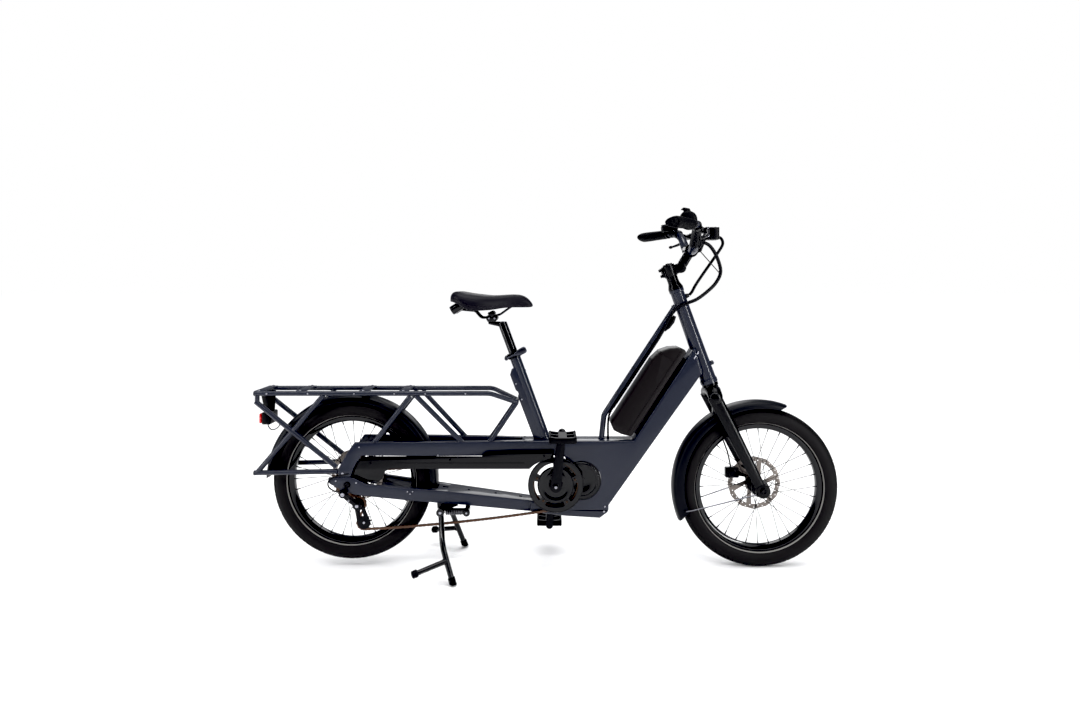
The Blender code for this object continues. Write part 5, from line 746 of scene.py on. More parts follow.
REAR_HUB_SIDES = (0.0205, -0.03)
FRONT_HUB_SIDES = (0.028, -0.0245)
for place, axle, sides, half_width, rotor_y, body in (
        ("rear", REAR_AXLE, REAR_HUB_SIDES, 0.0663, 0.05, "rear_wheel"),
        ("front", FRONT_AXLE, FRONT_HUB_SIDES, 0.0488, 0.038, "front_wheel")):
    right, left = sides
    dressed(tyre(place + "_tyre_tread", axle, TYRE_RADIUS), None, body, "tyre_rubber", place + "_tyre",
            angle=30)
    dressed(rim(place + "_rim_box", axle), RIM_LACQUER, body, "black_metal", place + "_rim")
    shell = [(0.0063, half_width), (0.0105, half_width)]
    if place == "rear":
        shell += [(0.0105, 0.06), (0.0165, 0.06), (0.0165, right + 0.0055)]
    else:
        shell += [(0.013, right + 0.008)]
    shell += [(0.018, right + 0.0042), (0.027, right + 0.0028), (0.029, right + 0.0018),
              (0.029, right - 0.0018), (0.027, right - 0.0028), (0.018, right - 0.005),
              (0.015, right - 0.0085), (0.015, left + 0.0085), (0.018, left + 0.005), (0.027, left + 0.0028),
              (0.029, left + 0.0018), (0.029, left - 0.0018), (0.027, left - 0.0028), (0.0215, left - 0.0042)]
    boss = -(rotor_y - 0.0012)
    shell += [(0.0215, boss), (0.0145, boss), (0.0145, -half_width), (0.0063, -half_width)]
    hub = turned(place + "_hub_shell", shell, axle, TO_RIGHT, 64)
    dressed(hub, BLACK_ANODISED, body, "black_metal", place + "_hub")
    dressed(spokes(place + "_spokes", axle, right, left), SPOKE_STEEL, body, "black_metal")
    dressed(rotor(place + "_rotor_disc", axle, rotor_y), ROTOR_STEEL, body, "brushed_steel", place + "_rotor")
    bolts(place + "_rotor_bolts",
          [(axle + Vector((0.0225 * math.cos(a), rotor_y + 0.0008, 0.0225 * math.sin(a))), TO_LEFT, 0.0034,
            0.0022) for a in (math.pi / 3 * step for step in range(6))], body)

# Axles
# Steel through axles, turned and coated black. Each is pushed through its hub and clamps the dropouts with a
# washer and a domed nut on both sides.
for name, axle, outer, body in (("rear_axle", REAR_AXLE, 0.0741, "frame"),
                                ("front_axle", FRONT_AXLE, 0.0636, "steering")):
    half = [(0.006, outer), (0.0108, outer), (0.0112, outer + 0.0006), (0.0108, outer + 0.0018),
            (0.009, outer + 0.002), (0.009, outer + 0.0064), (0.0074, outer + 0.008), (0.0042, outer + 0.008),
            (0.0038, outer + 0.0064), (0.0, outer + 0.0062)]
    axle_piece = turned(name + "_turned", half + [(r, -a) for r, a in reversed(half)], axle, TO_RIGHT, 48)
    dressed(axle_piece, SPOKE_STEEL, body, "brushed_steel", name)

# Brakes
# Two-piston hydraulic calipers: forged and anodised halves bolted together astride each rotor, on steel
# brackets, with a banjo bolt for the hose.


def seam_groove(piece, where, normal, width, depth):
    """Press a narrow groove right round a piece, where two of its halves meet."""
    normal = Vector(normal).normalized()
    select_only(piece)
    bpy.ops.object.mode_set(mode="EDIT")
    for shift in (-width / 2, width / 2):
        bpy.ops.mesh.select_all(action="SELECT")
        bpy.ops.mesh.bisect(plane_co=Vector(where) + normal * shift, plane_no=normal)
    bpy.ops.mesh.select_mode(type="FACE")
    bpy.ops.mesh.select_all(action="DESELECT")
    bpy.ops.object.mode_set(mode="OBJECT")
    for face in piece.data.polygons:
        between = abs((face.center - Vector(where)).dot(normal)) < width / 2 * 0.98
        face.select = between and abs(face.normal.dot(normal)) < 0.9
    bpy.ops.object.mode_set(mode="EDIT")
    bpy.ops.mesh.extrude_region_shrink_fatten(TRANSFORM_OT_shrink_fatten={"value": -depth})
    bpy.ops.object.mode_set(mode="OBJECT")
    return piece


CALIPER_SLOT_RADIUS = 0.0925
axle_x, axle_z = side_of(FRONT_AXLE)
for name, low, high, slot_centre, slot_y, body, mount, mount_y in (
        ("rear_caliper", (0.052, 0.309, 0.038), (0.1, 0.341, 0.058), (0.0, AXLE_HEIGHT), 0.05, "frame",
         [(0.061, 0.2833), (0.09, 0.2799), (0.09, 0.324), (0.061, 0.324)], (0.0562, 0.0618)),
        ("front_caliper", (axle_x - 0.098, axle_z + 0.018, 0.027), (axle_x - 0.052, axle_z + 0.053, 0.049),
         (axle_x, axle_z), 0.038, "steering",
         [(axle_x - 0.064, axle_z + 0.05), (axle_x - 0.034, axle_z + 0.048), (axle_x - 0.032, axle_z + 0.022),
          (axle_x - 0.064, axle_z + 0.022)], (0.0458, 0.05))):
    caliper = rounded(box(name + "_halves", at(*low), at(*high)), 0.0045, 3)
    middle = at((low[0] + high[0]) / 2, (low[1] + high[1]) / 2, slot_y)
    piston = rod("piston_cap", middle + Vector((0, -0.014, 0)), middle + Vector((0, 0.014, 0)), 0.0125, 32)
    piston = rounded(piston, 0.0012)
    for piece in (caliper, piston):
        disc_room = flat_piece("slot", [ring_of(slot_centre, CALIPER_SLOT_RADIUS, 64)], slot_y - 0.002,
                               slot_y + 0.002)
        cut_by(piece, disc_room)
    bracket = rounded(flat_piece("bracket", [mount], *mount_y), 0.0009)
    pieces = [caliper, piston, bracket]
    if body == "steering":
        route = [(-0.076, 0.048, 0.046), (-0.079, 0.07, 0.049), (-0.085, 0.1, 0.053), (-0.097, 0.135, 0.058),
                 (-0.109, 0.18, 0.064), (-0.126, 0.235, 0.067), (-0.142, 0.275, 0.067),
                 (-0.148, 0.292, 0.064)]
        pieces.append(tube("hose", [at(axle_x + dx, axle_z + dz, y) for dx, dz, y in route], 0.0026))
    dressed(joined(name + "_halves", *pieces), BLACK_ANODISED, body, "black_metal", name)
    long_x = (low[0] + 0.008, high[0] - 0.008)
    bolts(name + "_bolts",
          [(at(x, (low[1] + high[1]) / 2 + 0.004, slot_y - 0.0112), TO_RIGHT, 0.0034, 0.003) for x in long_x]
          + [(at(x, (mount[0][1] + mount[2][1]) / 2, mount_y[1]), TO_LEFT, 0.0036, 0.003) for x in long_x],
          body, BLACK_ANODISED, "black_metal")

# Fenders
# Crowned strips of black polypropylene moulded round each tyre, 2.5 mm thick, their ends cut on a slant. The
# front one hangs from the fork's crown and two wire stays, the rear one from a rack slat.
FENDER_HALF_WIDTH = 0.037
FENDER_WALL = 0.0025


def fender(name, axle, outer, first, last, first_depth, last_depth):
    """Strip between two angles in degrees, its edges rolled: a grid bent over the tyre and given its wall."""
    shares = [(-1.0, 1.0), (-0.985, 0.72), (-0.93, 0.42), (-0.82, 0.22), (-0.62, 0.1), (-0.32, 0.03),
              (0.0, 0.0)]
    shares += [(-across, drop) for across, drop in reversed(shares[:-1])]
    steps = 96
    bpy.ops.object.select_all(action="DESELECT")
    bpy.ops.mesh.primitive_grid_add(x_subdivisions=len(shares) - 1, y_subdivisions=steps, size=1.0)
    strip = bpy.context.object
    strip.name = name
    stand_up = Matrix.Translation(axle) @ Matrix.Rotation(math.pi / 2, 4, "X")
    for index, vertex in enumerate(strip.data.vertices):
        step, column = divmod(index, len(shares))
        across, drop = shares[column]
        depth = first_depth + (last_depth - first_depth) * step / steps
        share = step / steps
        lean = 5.0 * drop * (max(0.0, 1 - share * 12) - max(0.0, 1 - (1 - share) * 12))
        angle = math.radians(first + (last - first) * share + lean)
        radius = outer - depth * drop
        vertex.co = stand_up @ Vector((radius * math.cos(angle), radius * math.sin(angle),
                                       across * FENDER_HALF_WIDTH))
    welded(strip)
    wall = strip.modifiers.new("wall", "SOLIDIFY")
    wall.thickness = FENDER_WALL
    middle = strip.data.polygons[steps // 2 * (len(shares) - 1) + 6]
    outward = (middle.center - axle).dot(middle.normal) > 0
    wall.offset = -1.0 if outward else 1.0
    bpy.ops.object.modifier_apply(modifier=wall.name)
    return rounded(welded(strip), 0.0007, 2, 60)


# Polypropylene, moulded with a satin skin; long smooth curves that carry one soft streak of light.
FENDER_PLASTIC = grained(new_finish("satin_black_polypropylene", "0D0E12", 0.38, IOR=1.5), 500.0, 0.00008,
                         0.2)
rear_strip = fender("rear_fender_strip", REAR_AXLE, 0.283, -4.2, 179.0, 0.024, 0.024)
spacer = rounded(box("spacer", at(0.04, AXLE_HEIGHT + 0.277, -0.01), at(0.056, 0.5762, 0.01)), 0.0008)
dressed(joined("rear_fender_strip", rear_strip, spacer), FENDER_PLASTIC, "frame", "black_plastic",
        "rear_fender")
front_strip = fender("front_fender_strip", FRONT_AXLE, 0.287, 71.0, 203.0, 0.022, 0.04)
dressed(front_strip, FENDER_PLASTIC, "steering", "black_plastic", "front_fender")
tab = rounded(box("front_fender_tab", at(axle_x - 0.15, axle_z + 0.236, -0.008),
                  at(axle_x - 0.137, axle_z + 0.298, 0.008)), 0.001)
dressed(tab, BLACK_ANODISED, "steering", "black_metal")
wires = []
for side in (RIGHT, LEFT):
    edge = at(axle_x - 0.248, axle_z - 0.074, side * 0.0375)
    eye = at(axle_x - 0.022, axle_z - 0.008, side * 0.0655)
    wires.append(tube("stay_wire", [edge, edge.lerp(eye, 0.1) + Vector((0, side * 0.004, 0)), eye], 0.0014,
                      sides=10))
dressed(joined("front_fender_stays", *wires), ZINC_STEEL, "steering", "brushed_steel")
bolts("front_fender_bolts",
      [(at(axle_x - 0.248, axle_z - 0.074, side * 0.0385), (0, side, 0), 0.0034, 0.0024)
       for side in (RIGHT, LEFT)]
      + [(at(axle_x - 0.022, axle_z - 0.008, side * 0.0665), (0, side, 0), 0.0036, 0.003)
         for side in (RIGHT, LEFT)], "steering", BLACK_ANODISED, "black_metal")

# Tail lamp
# A lamp box moulded from black nylon with a clear red acrylic lens, screwed to a black steel plate under the
# last slat. Its lead is curled below it.
lamp_x = SLAT_PLACES[0]
body_box = rounded(box("tail_lamp_box", at(lamp_x - 0.003, 0.468, -0.033), at(lamp_x + 0.026, 0.508, 0.033)),
                   0.0045, 3)
plate = rounded(box("hanger_plate", at(lamp_x + 0.008, 0.495, -0.014), at(lamp_x + 0.012, 0.5762, 0.014)),
                0.0008)
cheeks = [rounded(flat_piece("hanger_cheek",
                             [[(lamp_x - 0.014, 0.575), (lamp_x + 0.026, 0.575), (lamp_x + 0.022, 0.5),
                               (lamp_x + 0.002, 0.5)]], side * 0.014 - 0.0008, side * 0.014 + 0.0008), 0.0003)
          for side in (RIGHT, LEFT)]
route = [(0.008, 0.474), (0.008, 0.458), (0.02, 0.446), (0.038, 0.452), (0.046, 0.466), (0.036, 0.482),
         (0.016, 0.488)]


def smooth_route(points, spacing):
    """Points on a smooth line through the given ones."""
    places = [Vector(point) for point in points]
    padded = [2 * places[0] - places[1]] + places + [2 * places[-1] - places[-2]]
    route = [places[0]]
    for p0, p1, p2, p3 in zip(padded, padded[1:], padded[2:], padded[3:]):
        steps = max(1, round((p2 - p1).length / spacing))
        for step in range(1, steps + 1):
            t = step / steps
            route.append(0.5 * (2 * p1 + (p2 - p0) * t + (2 * p0 - 5 * p1 + 4 * p2 - p3) * t ** 2
                                + (3 * p1 - p0 - 3 * p2 + p3) * t ** 3))
    return route


lead = tube("lamp_lead", smooth_route([at(lamp_x + dx, z, -0.004) for dx, z in route], 0.004), 0.0017,
            sides=10)
dressed(joined("tail_lamp_box", body_box, plate, lead, *cheeks), BLACK_MOULDING, "frame", "black_plastic",
        "tail_light")
lens = rounded(box("tail_lamp_lens", at(lamp_x - 0.0123, 0.472, -0.03), at(lamp_x - 0.0033, 0.504, 0.03)),
               0.0035, 3)
for shift in (-0.015, 0.0, 0.015):
    seam_groove(lens, at(lamp_x, 0.488, shift), TO_LEFT, 0.0012, 0.0006)
# Clear red acrylic over a reflector: deep saturated red with a wet gloss.
RED_ACRYLIC = new_finish("red_acrylic", "B4100E", 0.1, IOR=1.49, Coat_Weight=0.6, Coat_Roughness=0.04)
dressed(lens, RED_ACRYLIC, "frame", "red_lens", "tail_lens")

# Motor
# Mid motor in two die-cast halves bolted together, painted black, with a bearing nose for the spindle and a
# turned round cover on the drive side that carries a bright ring of reflection.
case = rounded(flat_piece("motor_case", [motor_outline(-0.0002)], -0.0365, 0.0365), 0.005, 3)
seam_groove(case, at(*MOTOR, 0.01), TO_LEFT, 0.0012, 0.001)
cover = turned("motor_cover",
               [(0.0, 0.02), (0.059, 0.02), (0.059, 0.0372), (0.0575, 0.039), (0.055, 0.04), (0.05, 0.04),
                (0.0485, 0.0394), (0.0475, 0.0386), (0.03, 0.0386), (0.029, 0.038), (0.012, 0.038),
                (0.0112, 0.0386), (0.0, 0.0386)], at(*MOTOR), TO_RIGHT, 96)
nose = turned("bearing_nose",
              [(0.0124, 0.0428), (0.0205, 0.0428), (0.0225, 0.0415), (0.0225, -0.054), (0.0205, -0.056),
               (0.0124, -0.056)], at(*CRANK), TO_RIGHT, 64)
ribs = []
for step in range(7):
    angle = math.radians(-62 + step * 15)
    spot = Vector((MOTOR[0] + 0.0535 * math.cos(angle), MOTOR[1] + 0.0535 * math.sin(angle)))
    ribs.append(rounded(box("rib", at(spot.x - 0.0012, spot.y - 0.005, -0.0407),
                            at(spot.x + 0.0012, spot.y + 0.005, -0.038)), 0.0005))
# Motor paint, thick and glossy, so that the cover's rim carries one bright ring.
MOTOR_PAINT = new_finish("gloss_black_motor_paint", "040405", 0.22, IOR=1.52, Coat_Weight=0.35,
                         Coat_Roughness=0.05)
dressed(joined("motor_case", case, cover, nose, *ribs), MOTOR_PAINT, "frame", "black_metal", "motor_housing")
bolts("motor_bolts",
      [(at(*spot, -0.0362), TO_RIGHT, 0.0032, 0.003)
       for spot in arc(MOTOR, 0.0605, 200, 232, 1) + arc(CRANK, 0.0275, 120, 240, 2)]
      + [(at(*spot, 0.0362), TO_LEFT, 0.0034, 0.003) for spot in arc(MOTOR, 0.052, -60, 120, 4)], "frame",
      BLACK_ANODISED, "black_metal")

# Cranks and pedals
# Cold-forged aluminium arms with a relieved face, pressed on the spindle and held by a bright bolt, and wide
# platform pedals moulded from nylon with rows of grip studs, turning on steel pins.
CRANK_LENGTH = 0.175
CRANK_LEAN = math.radians(6.5)
PEDAL_INNER_Y = 0.087
for side, label in ((RIGHT, "right"), (LEFT, "left")):
    lean = CRANK_LEAN if side == RIGHT else CRANK_LEAN + math.pi
    tip = (CRANK[0] + CRANK_LENGTH * math.sin(lean), CRANK[1] + CRANK_LENGTH * math.cos(lean))
    toward = math.degrees(math.atan2(math.cos(lean), math.sin(lean)))
    outline = (arc(CRANK, 0.0185, toward + 84, toward + 276, 20)
               + arc(tip, 0.0125, toward - 80, toward + 80, 16))
    low_y, high_y = sorted((side * 0.0645, side * 0.0775))
    arm = rounded(flat_piece("crank_arm", [outline], low_y, high_y), 0.0028, 3)
    parts = [arm,
             rounded(rod("pedal_boss", at(*tip, side * 0.066), at(*tip, side * 0.084), 0.0105, 32), 0.001),
             rod("pedal_pin", at(*tip, side * 0.084), at(*tip, side * 0.178), 0.0045, 20)]
    if side == RIGHT:
        parts.append(rod("spindle", at(*CRANK, -0.07), at(*CRANK, 0.064), 0.012, 32))
    dressed(joined("crank_arm_" + label, *parts), BLACK_ANODISED, "crank", "black_metal", "crank_" + label)
    across = (0, side, 0)
    cap = turned("crank_cap", [(0.0, 0.0), (0.01, 0.0), (0.01, 0.0018), (0.0088, 0.0026), (0.0, 0.0026)],
                 at(*CRANK, side * 0.0774), across, 32)
    dressed(cap, BLACK_ANODISED, "crank", "black_metal")
    bolts("crank_bolt_" + label, [(at(*CRANK, side * 0.0798), across, 0.0042, 0.0022)], "crank")
    x, z = tip
    near, far = side * PEDAL_INNER_Y, side * 0.183
    top = [(x + 0.043, z + 0.0105), (x + 0.0194, z + 0.0074), (x - 0.0194, z + 0.0074),
           (x - 0.043, z + 0.0105)]
    outline = [(x - 0.043, z - 0.0084), (x - 0.0344, z - 0.0105), (x + 0.0344, z - 0.0105),
               (x + 0.043, z - 0.0084)] + top
    platform = rounded(flat_piece("pedal_platform", [outline], *sorted((near, far))), 0.0016)
    windows = []
    for shift in (-0.0245, 0.0245):
        for first, last in ((0.012, 0.044), (0.052, 0.084)):
            ends = sorted((side * (PEDAL_INNER_Y + first), side * (PEDAL_INNER_Y + last)))
            windows.append(box("window", at(x + shift - 0.0115, z - 0.03, ends[0]),
                               at(x + shift + 0.0115, z + 0.03, ends[1])))
    cut_by(platform, *windows, rod("pin_bore", at(x, z, side * 0.077), at(x, z, side * 0.1785), 0.0049, 24))
    ridges = []
    for step in range(9):
        y = side * (0.092 + step * 0.0107)
        for shift in (-0.0385, 0.0385):
            for rise in (0.0098, -0.01):
                ridges.append(rod("grip_stud", at(x + shift, z + rise, y),
                                  at(x + shift, z + rise + math.copysign(0.0022, rise), y), 0.0022, 8,
                                  0.0014))
    dressed(joined("pedal_platform_" + label, platform, *ridges), BLACK_MOULDING, "pedal_" + label,
            "black_plastic", "pedal_" + label)

# Chain drive
# A 40-tooth steel ring behind a moulded guard, a stepped steel cassette, a rust-brown roller chain and a
# derailleur with two toothed jockey wheels. A long black moulded guard covers the chain's upper run.
CHAIN_PITCH = 0.0127
CHAIN_LINE = -0.045
CHAIN_SAG = 0.0085
GUIDE = (0.03, 0.213)
TENSION = (0.048, 0.153)
# Steel cogs with a black oxide worn to brown on the teeth.
COG_STEEL = grained(new_finish("oxidised_cog_steel", "3E342D", 0.4, 1.0), 500.0, 0.0001, 0.3)
# Chain steel under dry rust and old wax: brown, half dull, each link edge still catching light.
CHAIN_STEEL = grained(new_finish("waxed_chain_steel", "54433A", 0.46, 1.0), 800.0, 0.0001, 0.4)


def pitch_radius(teeth):
    """Radius of the circle on which a chain wheel's rollers sit."""
    return CHAIN_PITCH / (2 * math.sin(math.pi / teeth))


def toothed(centre, teeth):
    """Outline of a chain wheel: a rounded seat for each roller with a narrow tooth between."""
    points = []
    for index in range(teeth):
        middle = 2 * math.pi * index / teeth
        seat = (centre[0] + pitch_radius(teeth) * math.cos(middle),
                centre[1] + pitch_radius(teeth) * math.sin(middle))
        for turn in (1.15, 0.6, 0.0, -0.6, -1.15):
            angle = middle + math.pi + turn
            points.append((seat[0] + 0.004 * math.cos(angle), seat[1] + 0.004 * math.sin(angle)))
        for share in (0.43, 0.57):
            angle = middle + 2 * math.pi * share / teeth
            tip = pitch_radius(teeth) + 0.003
            points.append((centre[0] + tip * math.cos(angle), centre[1] + tip * math.sin(angle)))
    return points


def ring_windows(centre, inner, outer):
    """Five long windows between the arms."""
    return [arc(centre, outer, middle - 26, middle + 26, 14)
            + arc(centre, inner, middle + 26, middle - 26, 10)
            for middle in (195.75, 123.75, 51.75, -20.25, -92.25)]


ring = flat_piece("chainring_plate",
                  [toothed(CRANK, 40), ring_of(CRANK, 0.0124, 32)] + ring_windows(CRANK, 0.058, 0.069),
                  CHAIN_LINE - 0.001, CHAIN_LINE + 0.001, 0.0002)
dressed(ring, COG_STEEL, "crank", "brushed_steel", "chainring")
guard = flat_piece("ring_guard_plate",
                   [ring_of(CRANK, 0.0905, 96), ring_of(CRANK, 0.0124, 32)]
                   + ring_windows(CRANK, 0.06, 0.0725), CHAIN_LINE - 0.0091, CHAIN_LINE - 0.0051, 0.0008)
lip = turned("guard_lip",
             [(0.087, 0.0535), (0.088, 0.0552), (0.0898, 0.0552), (0.0905, 0.054), (0.0905, 0.05),
              (0.087, 0.05)], at(*CRANK), TO_RIGHT, 96)
spider = turned("guard_hub",
                [(0.0125, 0.054), (0.04, 0.054), (0.044, 0.0565), (0.056, 0.0565), (0.058, 0.054),
                 (0.058, 0.05), (0.0125, 0.05)], at(*CRANK), TO_RIGHT, 96)
dressed(joined("ring_guard_plate", guard, lip, spider), RIM_LACQUER, "crank", "black_plastic", "ring_guard")
bolts("chainring_bolts",
      [(at(*spot, -0.056), TO_RIGHT, 0.0036, 0.0014)
       for spot in [arc(CRANK, 0.065, middle, middle, 1)[0]
                    for middle in (159.75, 87.75, 15.75, -56.25, -128.25)]], "crank", COG_STEEL)

cogs = []
axle_side = (0.0, AXLE_HEIGHT)
for teeth, y in ((28, -0.0325), (24, -0.037), (21, -0.041), (18, -0.045), (15, -0.0495), (12, -0.054)):
    holes = [ring_of(axle_side, 0.0172, 32)]
    reach = pitch_radius(teeth)
    if teeth > 20:
        holes += [arc(axle_side, reach * 0.8, a - 13, a + 13, 5)
                  + arc(axle_side, reach * 0.62, a + 13, a - 13, 5) for a in range(0, 360, 45)]
    cogs.append(flat_piece("cog", [toothed(axle_side, teeth)] + holes, y - 0.0009, y + 0.0009, 0.0002))
cogs.append(turned("cog_carrier",
                   [(0.017, 0.0318), (0.025, 0.0318), (0.025, 0.042), (0.0215, 0.044), (0.0215, 0.056),
                    (0.017, 0.056)], REAR_AXLE, TO_RIGHT, 48))
cogs.append(turned("lock_ring",
                   [(0.012, 0.0556), (0.0185, 0.0556), (0.0185, 0.0566), (0.017, 0.0572), (0.012, 0.0572)],
                   REAR_AXLE, TO_RIGHT, 48))
dressed(joined("cassette_cogs", *cogs), COG_STEEL, "cassette", "brushed_steel", "cassette")


def chain_line_points():
    """Every pin of the chain: its place and heading round the four wheels, in the order that it runs."""
    wheels = [(CRANK, pitch_radius(40), 1), (axle_side, pitch_radius(18), 1), (GUIDE, pitch_radius(11), -1),
              (TENSION, pitch_radius(11), 1)]
    runs = []
    for (near, near_radius, near_sense), (far, far_radius, far_sense) in zip(wheels, wheels[1:] + wheels[:1]):
        across = Vector(far) - Vector(near)
        heading = (math.atan2(across.y, across.x)
                   + math.asin((near_sense * near_radius - far_sense * far_radius) / across.length))
        square = Vector((math.sin(heading), -math.cos(heading)))
        runs.append((Vector(near) + near_sense * near_radius * square,
                     Vector(far) + far_sense * far_radius * square, heading))
    pieces = []
    for index, (start, end, heading) in enumerate(runs):
        centre, radius, sense = wheels[(index + 1) % 4]
        turn = (runs[(index + 1) % 4][2] - heading) * sense % (2 * math.pi)
        pieces += [("run", (end - start).length, start, end, heading),
                   ("arc", radius * turn, Vector(centre), radius, sense, heading)]
    total = sum(piece[1] for piece in pieces)
    count = 2 * round(total / CHAIN_PITCH / 2)
    found = []
    for index in range(count):
        along = total * index / count
        for piece in pieces:
            if along <= piece[1]:
                break
            along -= piece[1]
        if piece[0] == "run":
            share = along / piece[1]
            place = piece[2].lerp(piece[3], share)
            if piece is pieces[6]:
                place.y -= 4 * CHAIN_SAG * share * (1 - share)
        else:
            heading = piece[5] + piece[4] * along / piece[3]
            place = piece[2] + piece[4] * piece[3] * Vector((math.sin(heading), -math.cos(heading)))
        found.append(at(place.x, place.y, CHAIN_LINE))
    return found


def chain_link(outer):
    """One link, its first pin at the origin and its second a pitch ahead: waisted plates and rollers."""
    half, round_end, waist = CHAIN_PITCH / 2, 0.0042, 0.0031
    outline = []
    for pin_x, turns in ((CHAIN_PITCH, (-115, -60, 0, 60, 115)), (0.0, (65, 120, 180, 240, 295))):
        outline += [(pin_x + round_end * math.cos(math.radians(d)), round_end * math.sin(math.radians(d)))
                    for d in turns]
        outline += [(half, waist if pin_x else -waist)]
    low, high = (0.0024, 0.0033) if outer else (0.0014, 0.0023)
    to_origin = Matrix.Translation(-at(0.0, 0.0, 0.0))
    parts = []
    for near, far in ((low, high), (-high, -low)):
        plate = flat_piece("side_plate", [outline], near, far)
        plate.data.transform(to_origin)
        parts.append(plate)
    for x in (0.0, CHAIN_PITCH):
        if outer:
            parts.append(rod("pin", (x, -0.0036, 0), (x, 0.0036, 0), 0.0018, 8))
        else:
            parts.append(rod("roller", (x, -0.0014, 0), (x, 0.0014, 0), 0.0038, 10))
    return joined("chain_link", *parts)


pins = chain_line_points()
links = []
patterns = (chain_link(False), chain_link(True))
for index, (near, far) in enumerate(zip(pins, pins[1:] + pins[:1])):
    link = patterns[index % 2].copy()
    link.data = patterns[index % 2].data.copy()
    bpy.context.scene.collection.objects.link(link)
    ahead = (far - near).normalized()
    link.data.transform(Matrix(((ahead.x, 0, -ahead.z, near.x), (0, 1, 0, near.y),
                                (ahead.z, 0, ahead.x, near.z), (0, 0, 0, 1))))
    links.append(link)
for pattern in patterns:
    bpy.data.objects.remove(pattern)
dressed(joined("roller_chain", *links), CHAIN_STEEL, "frame", "chain_steel", "chain")

guard_outline = [(0.015, 0.31), (0.0222, 0.331), (0.034, 0.356), (0.0455, 0.3708), (0.431, 0.3708),
                 (0.438, 0.379), (0.447, 0.385), (0.665, 0.385), (0.665, 0.369), (0.63, 0.359),
                 (0.602, 0.344), (0.587, 0.331), (0.135, 0.331), (0.118, 0.322), (0.112, 0.3), (0.1, 0.2905),
                 (0.06, 0.2935), (0.036, 0.3075)]
cover = rounded(flat_piece("chain_guard_cover", [guard_outline], -0.0613, -0.0585), 0.0011)
shelf = [rounded(box("guard_flange", at(0.06, 0.369, -0.06), at(0.43, 0.3706, -0.0525)), 0.0004),
         rounded(box("guard_rib", at(0.15, 0.349, -0.0622), at(0.57, 0.351, -0.06)), 0.0006)]
# Glossy black ABS: near black, with a hard glint along its rolled edges.
GUARD_ABS = new_finish("gloss_black_abs", "030304", 0.22, IOR=1.54, Coat_Weight=0.25, Coat_Roughness=0.05)
dressed(joined("chain_guard_cover", cover, *shelf), GUARD_ABS, "frame", "black_plastic", "chain_guard")
bolts("chain_guard_screws",
      [(at(x, z, -0.0612), TO_RIGHT, 0.0036, 0.0018)
       for x, z in ((0.07, 0.35), (0.33, 0.36), (0.635, 0.373))], "frame", BLACK_ANODISED, "black_metal")

# Derailleur
# A pressed-steel parallelogram between two forged knuckles, hung from the dropout by its bolt; its sprung
# cage of two stamped plates holds the jockey wheels.
upper, lower_pivot = at(-0.01, 0.256), at(*GUIDE)
parts = [rounded(rod("top_knuckle", upper + Vector((0, -0.0738, 0)), upper + Vector((0, -0.088, 0)), 0.0125,
                     32), 0.0015),
         rounded(rod("low_knuckle", lower_pivot + Vector((0, -0.0503, 0)),
                     lower_pivot + Vector((0, -0.069, 0)), 0.0135, 32), 0.0015)]
for near, far in ((-0.074, -0.051), (-0.0862, -0.064)):
    rings = []
    for share, half in ((0.0, 0.007), (0.35, 0.0085), (0.75, 0.009), (1.0, 0.0075)):
        middle = upper.lerp(lower_pivot, share)
        y = near + (far - near) * share
        rings.append([middle + Vector((-half, y, 0.003)), middle + Vector((half, y, 0.003)),
                      middle + Vector((half, y - 0.0034, -0.003)),
                      middle + Vector((-half, y - 0.0034, -0.003))])
    parts.append(rounded(skinned("link_plate", rings), 0.0009))
parts.append(rounded(flat_piece("stop_lug",
                                [[(-0.022, 0.266), (-0.002, 0.27), (0.002, 0.258), (-0.02, 0.252)]], -0.086,
                                -0.0738), 0.0015))
parts.append(tube("shift_cable_end",
                  smooth_route([at(-0.02, 0.262, -0.08), at(-0.04, 0.266, -0.08), at(-0.058, 0.28, -0.079),
                                at(-0.056, 0.3, -0.077), at(-0.03, 0.312, -0.0745), at(0.005, 0.318, -0.073)],
                               0.004), 0.0022, sides=10))
dressed(joined("derailleur_body", *parts), BLACK_ANODISED, "frame", "black_metal", "derailleur")
bolts("derailleur_bolts",
      [(upper + Vector((0, -0.0878, 0)), TO_RIGHT, 0.006, 0.0026),
       (lower_pivot + Vector((0, -0.0688, 0)), TO_RIGHT, 0.0052, 0.0022),
       (at(-0.015, 0.262, -0.0858), TO_RIGHT, 0.0026, 0.002),
       (at(0.008, 0.235, -0.08), TO_RIGHT, 0.003, 0.006)], "frame")
heading = math.degrees(math.atan2(TENSION[1] - GUIDE[1], TENSION[0] - GUIDE[0]))
outline = (arc(GUIDE, 0.0085, heading + 90, heading + 270, 12)
           + arc(TENSION, 0.0105, heading - 90, heading + 90, 14))
along = Vector((TENSION[0] - GUIDE[0], TENSION[1] - GUIDE[1])).normalized()
across = Vector((-along.y, along.x))
middle = (Vector(GUIDE) + Vector(TENSION)) / 2
window = [tuple(middle + along * a + across * b)
          for a, b in ((-0.012, -0.0045), (0.012, -0.005), (0.012, 0.005), (-0.012, 0.0045))]
wide = (arc(GUIDE, 0.015, heading + 90, heading + 270, 12)
        + arc(TENSION, 0.0215, heading - 90, heading + 90, 18))
plates = [flat_piece("cage_plate", [shape, window], y - 0.00065, y + 0.00065, 0.0003)
          for shape, y in ((wide, CHAIN_LINE - 0.0043), (outline, CHAIN_LINE + 0.0047))]
plates += [rod("cage_pin", at(*spot, CHAIN_LINE - 0.004), at(*spot, CHAIN_LINE + 0.0045), 0.0025, 16)
           for spot in (GUIDE, TENSION)]
dressed(joined("derailleur_cage_plates", *plates), BLACK_ANODISED, "derailleur_cage", "black_metal",
        "derailleur_cage")
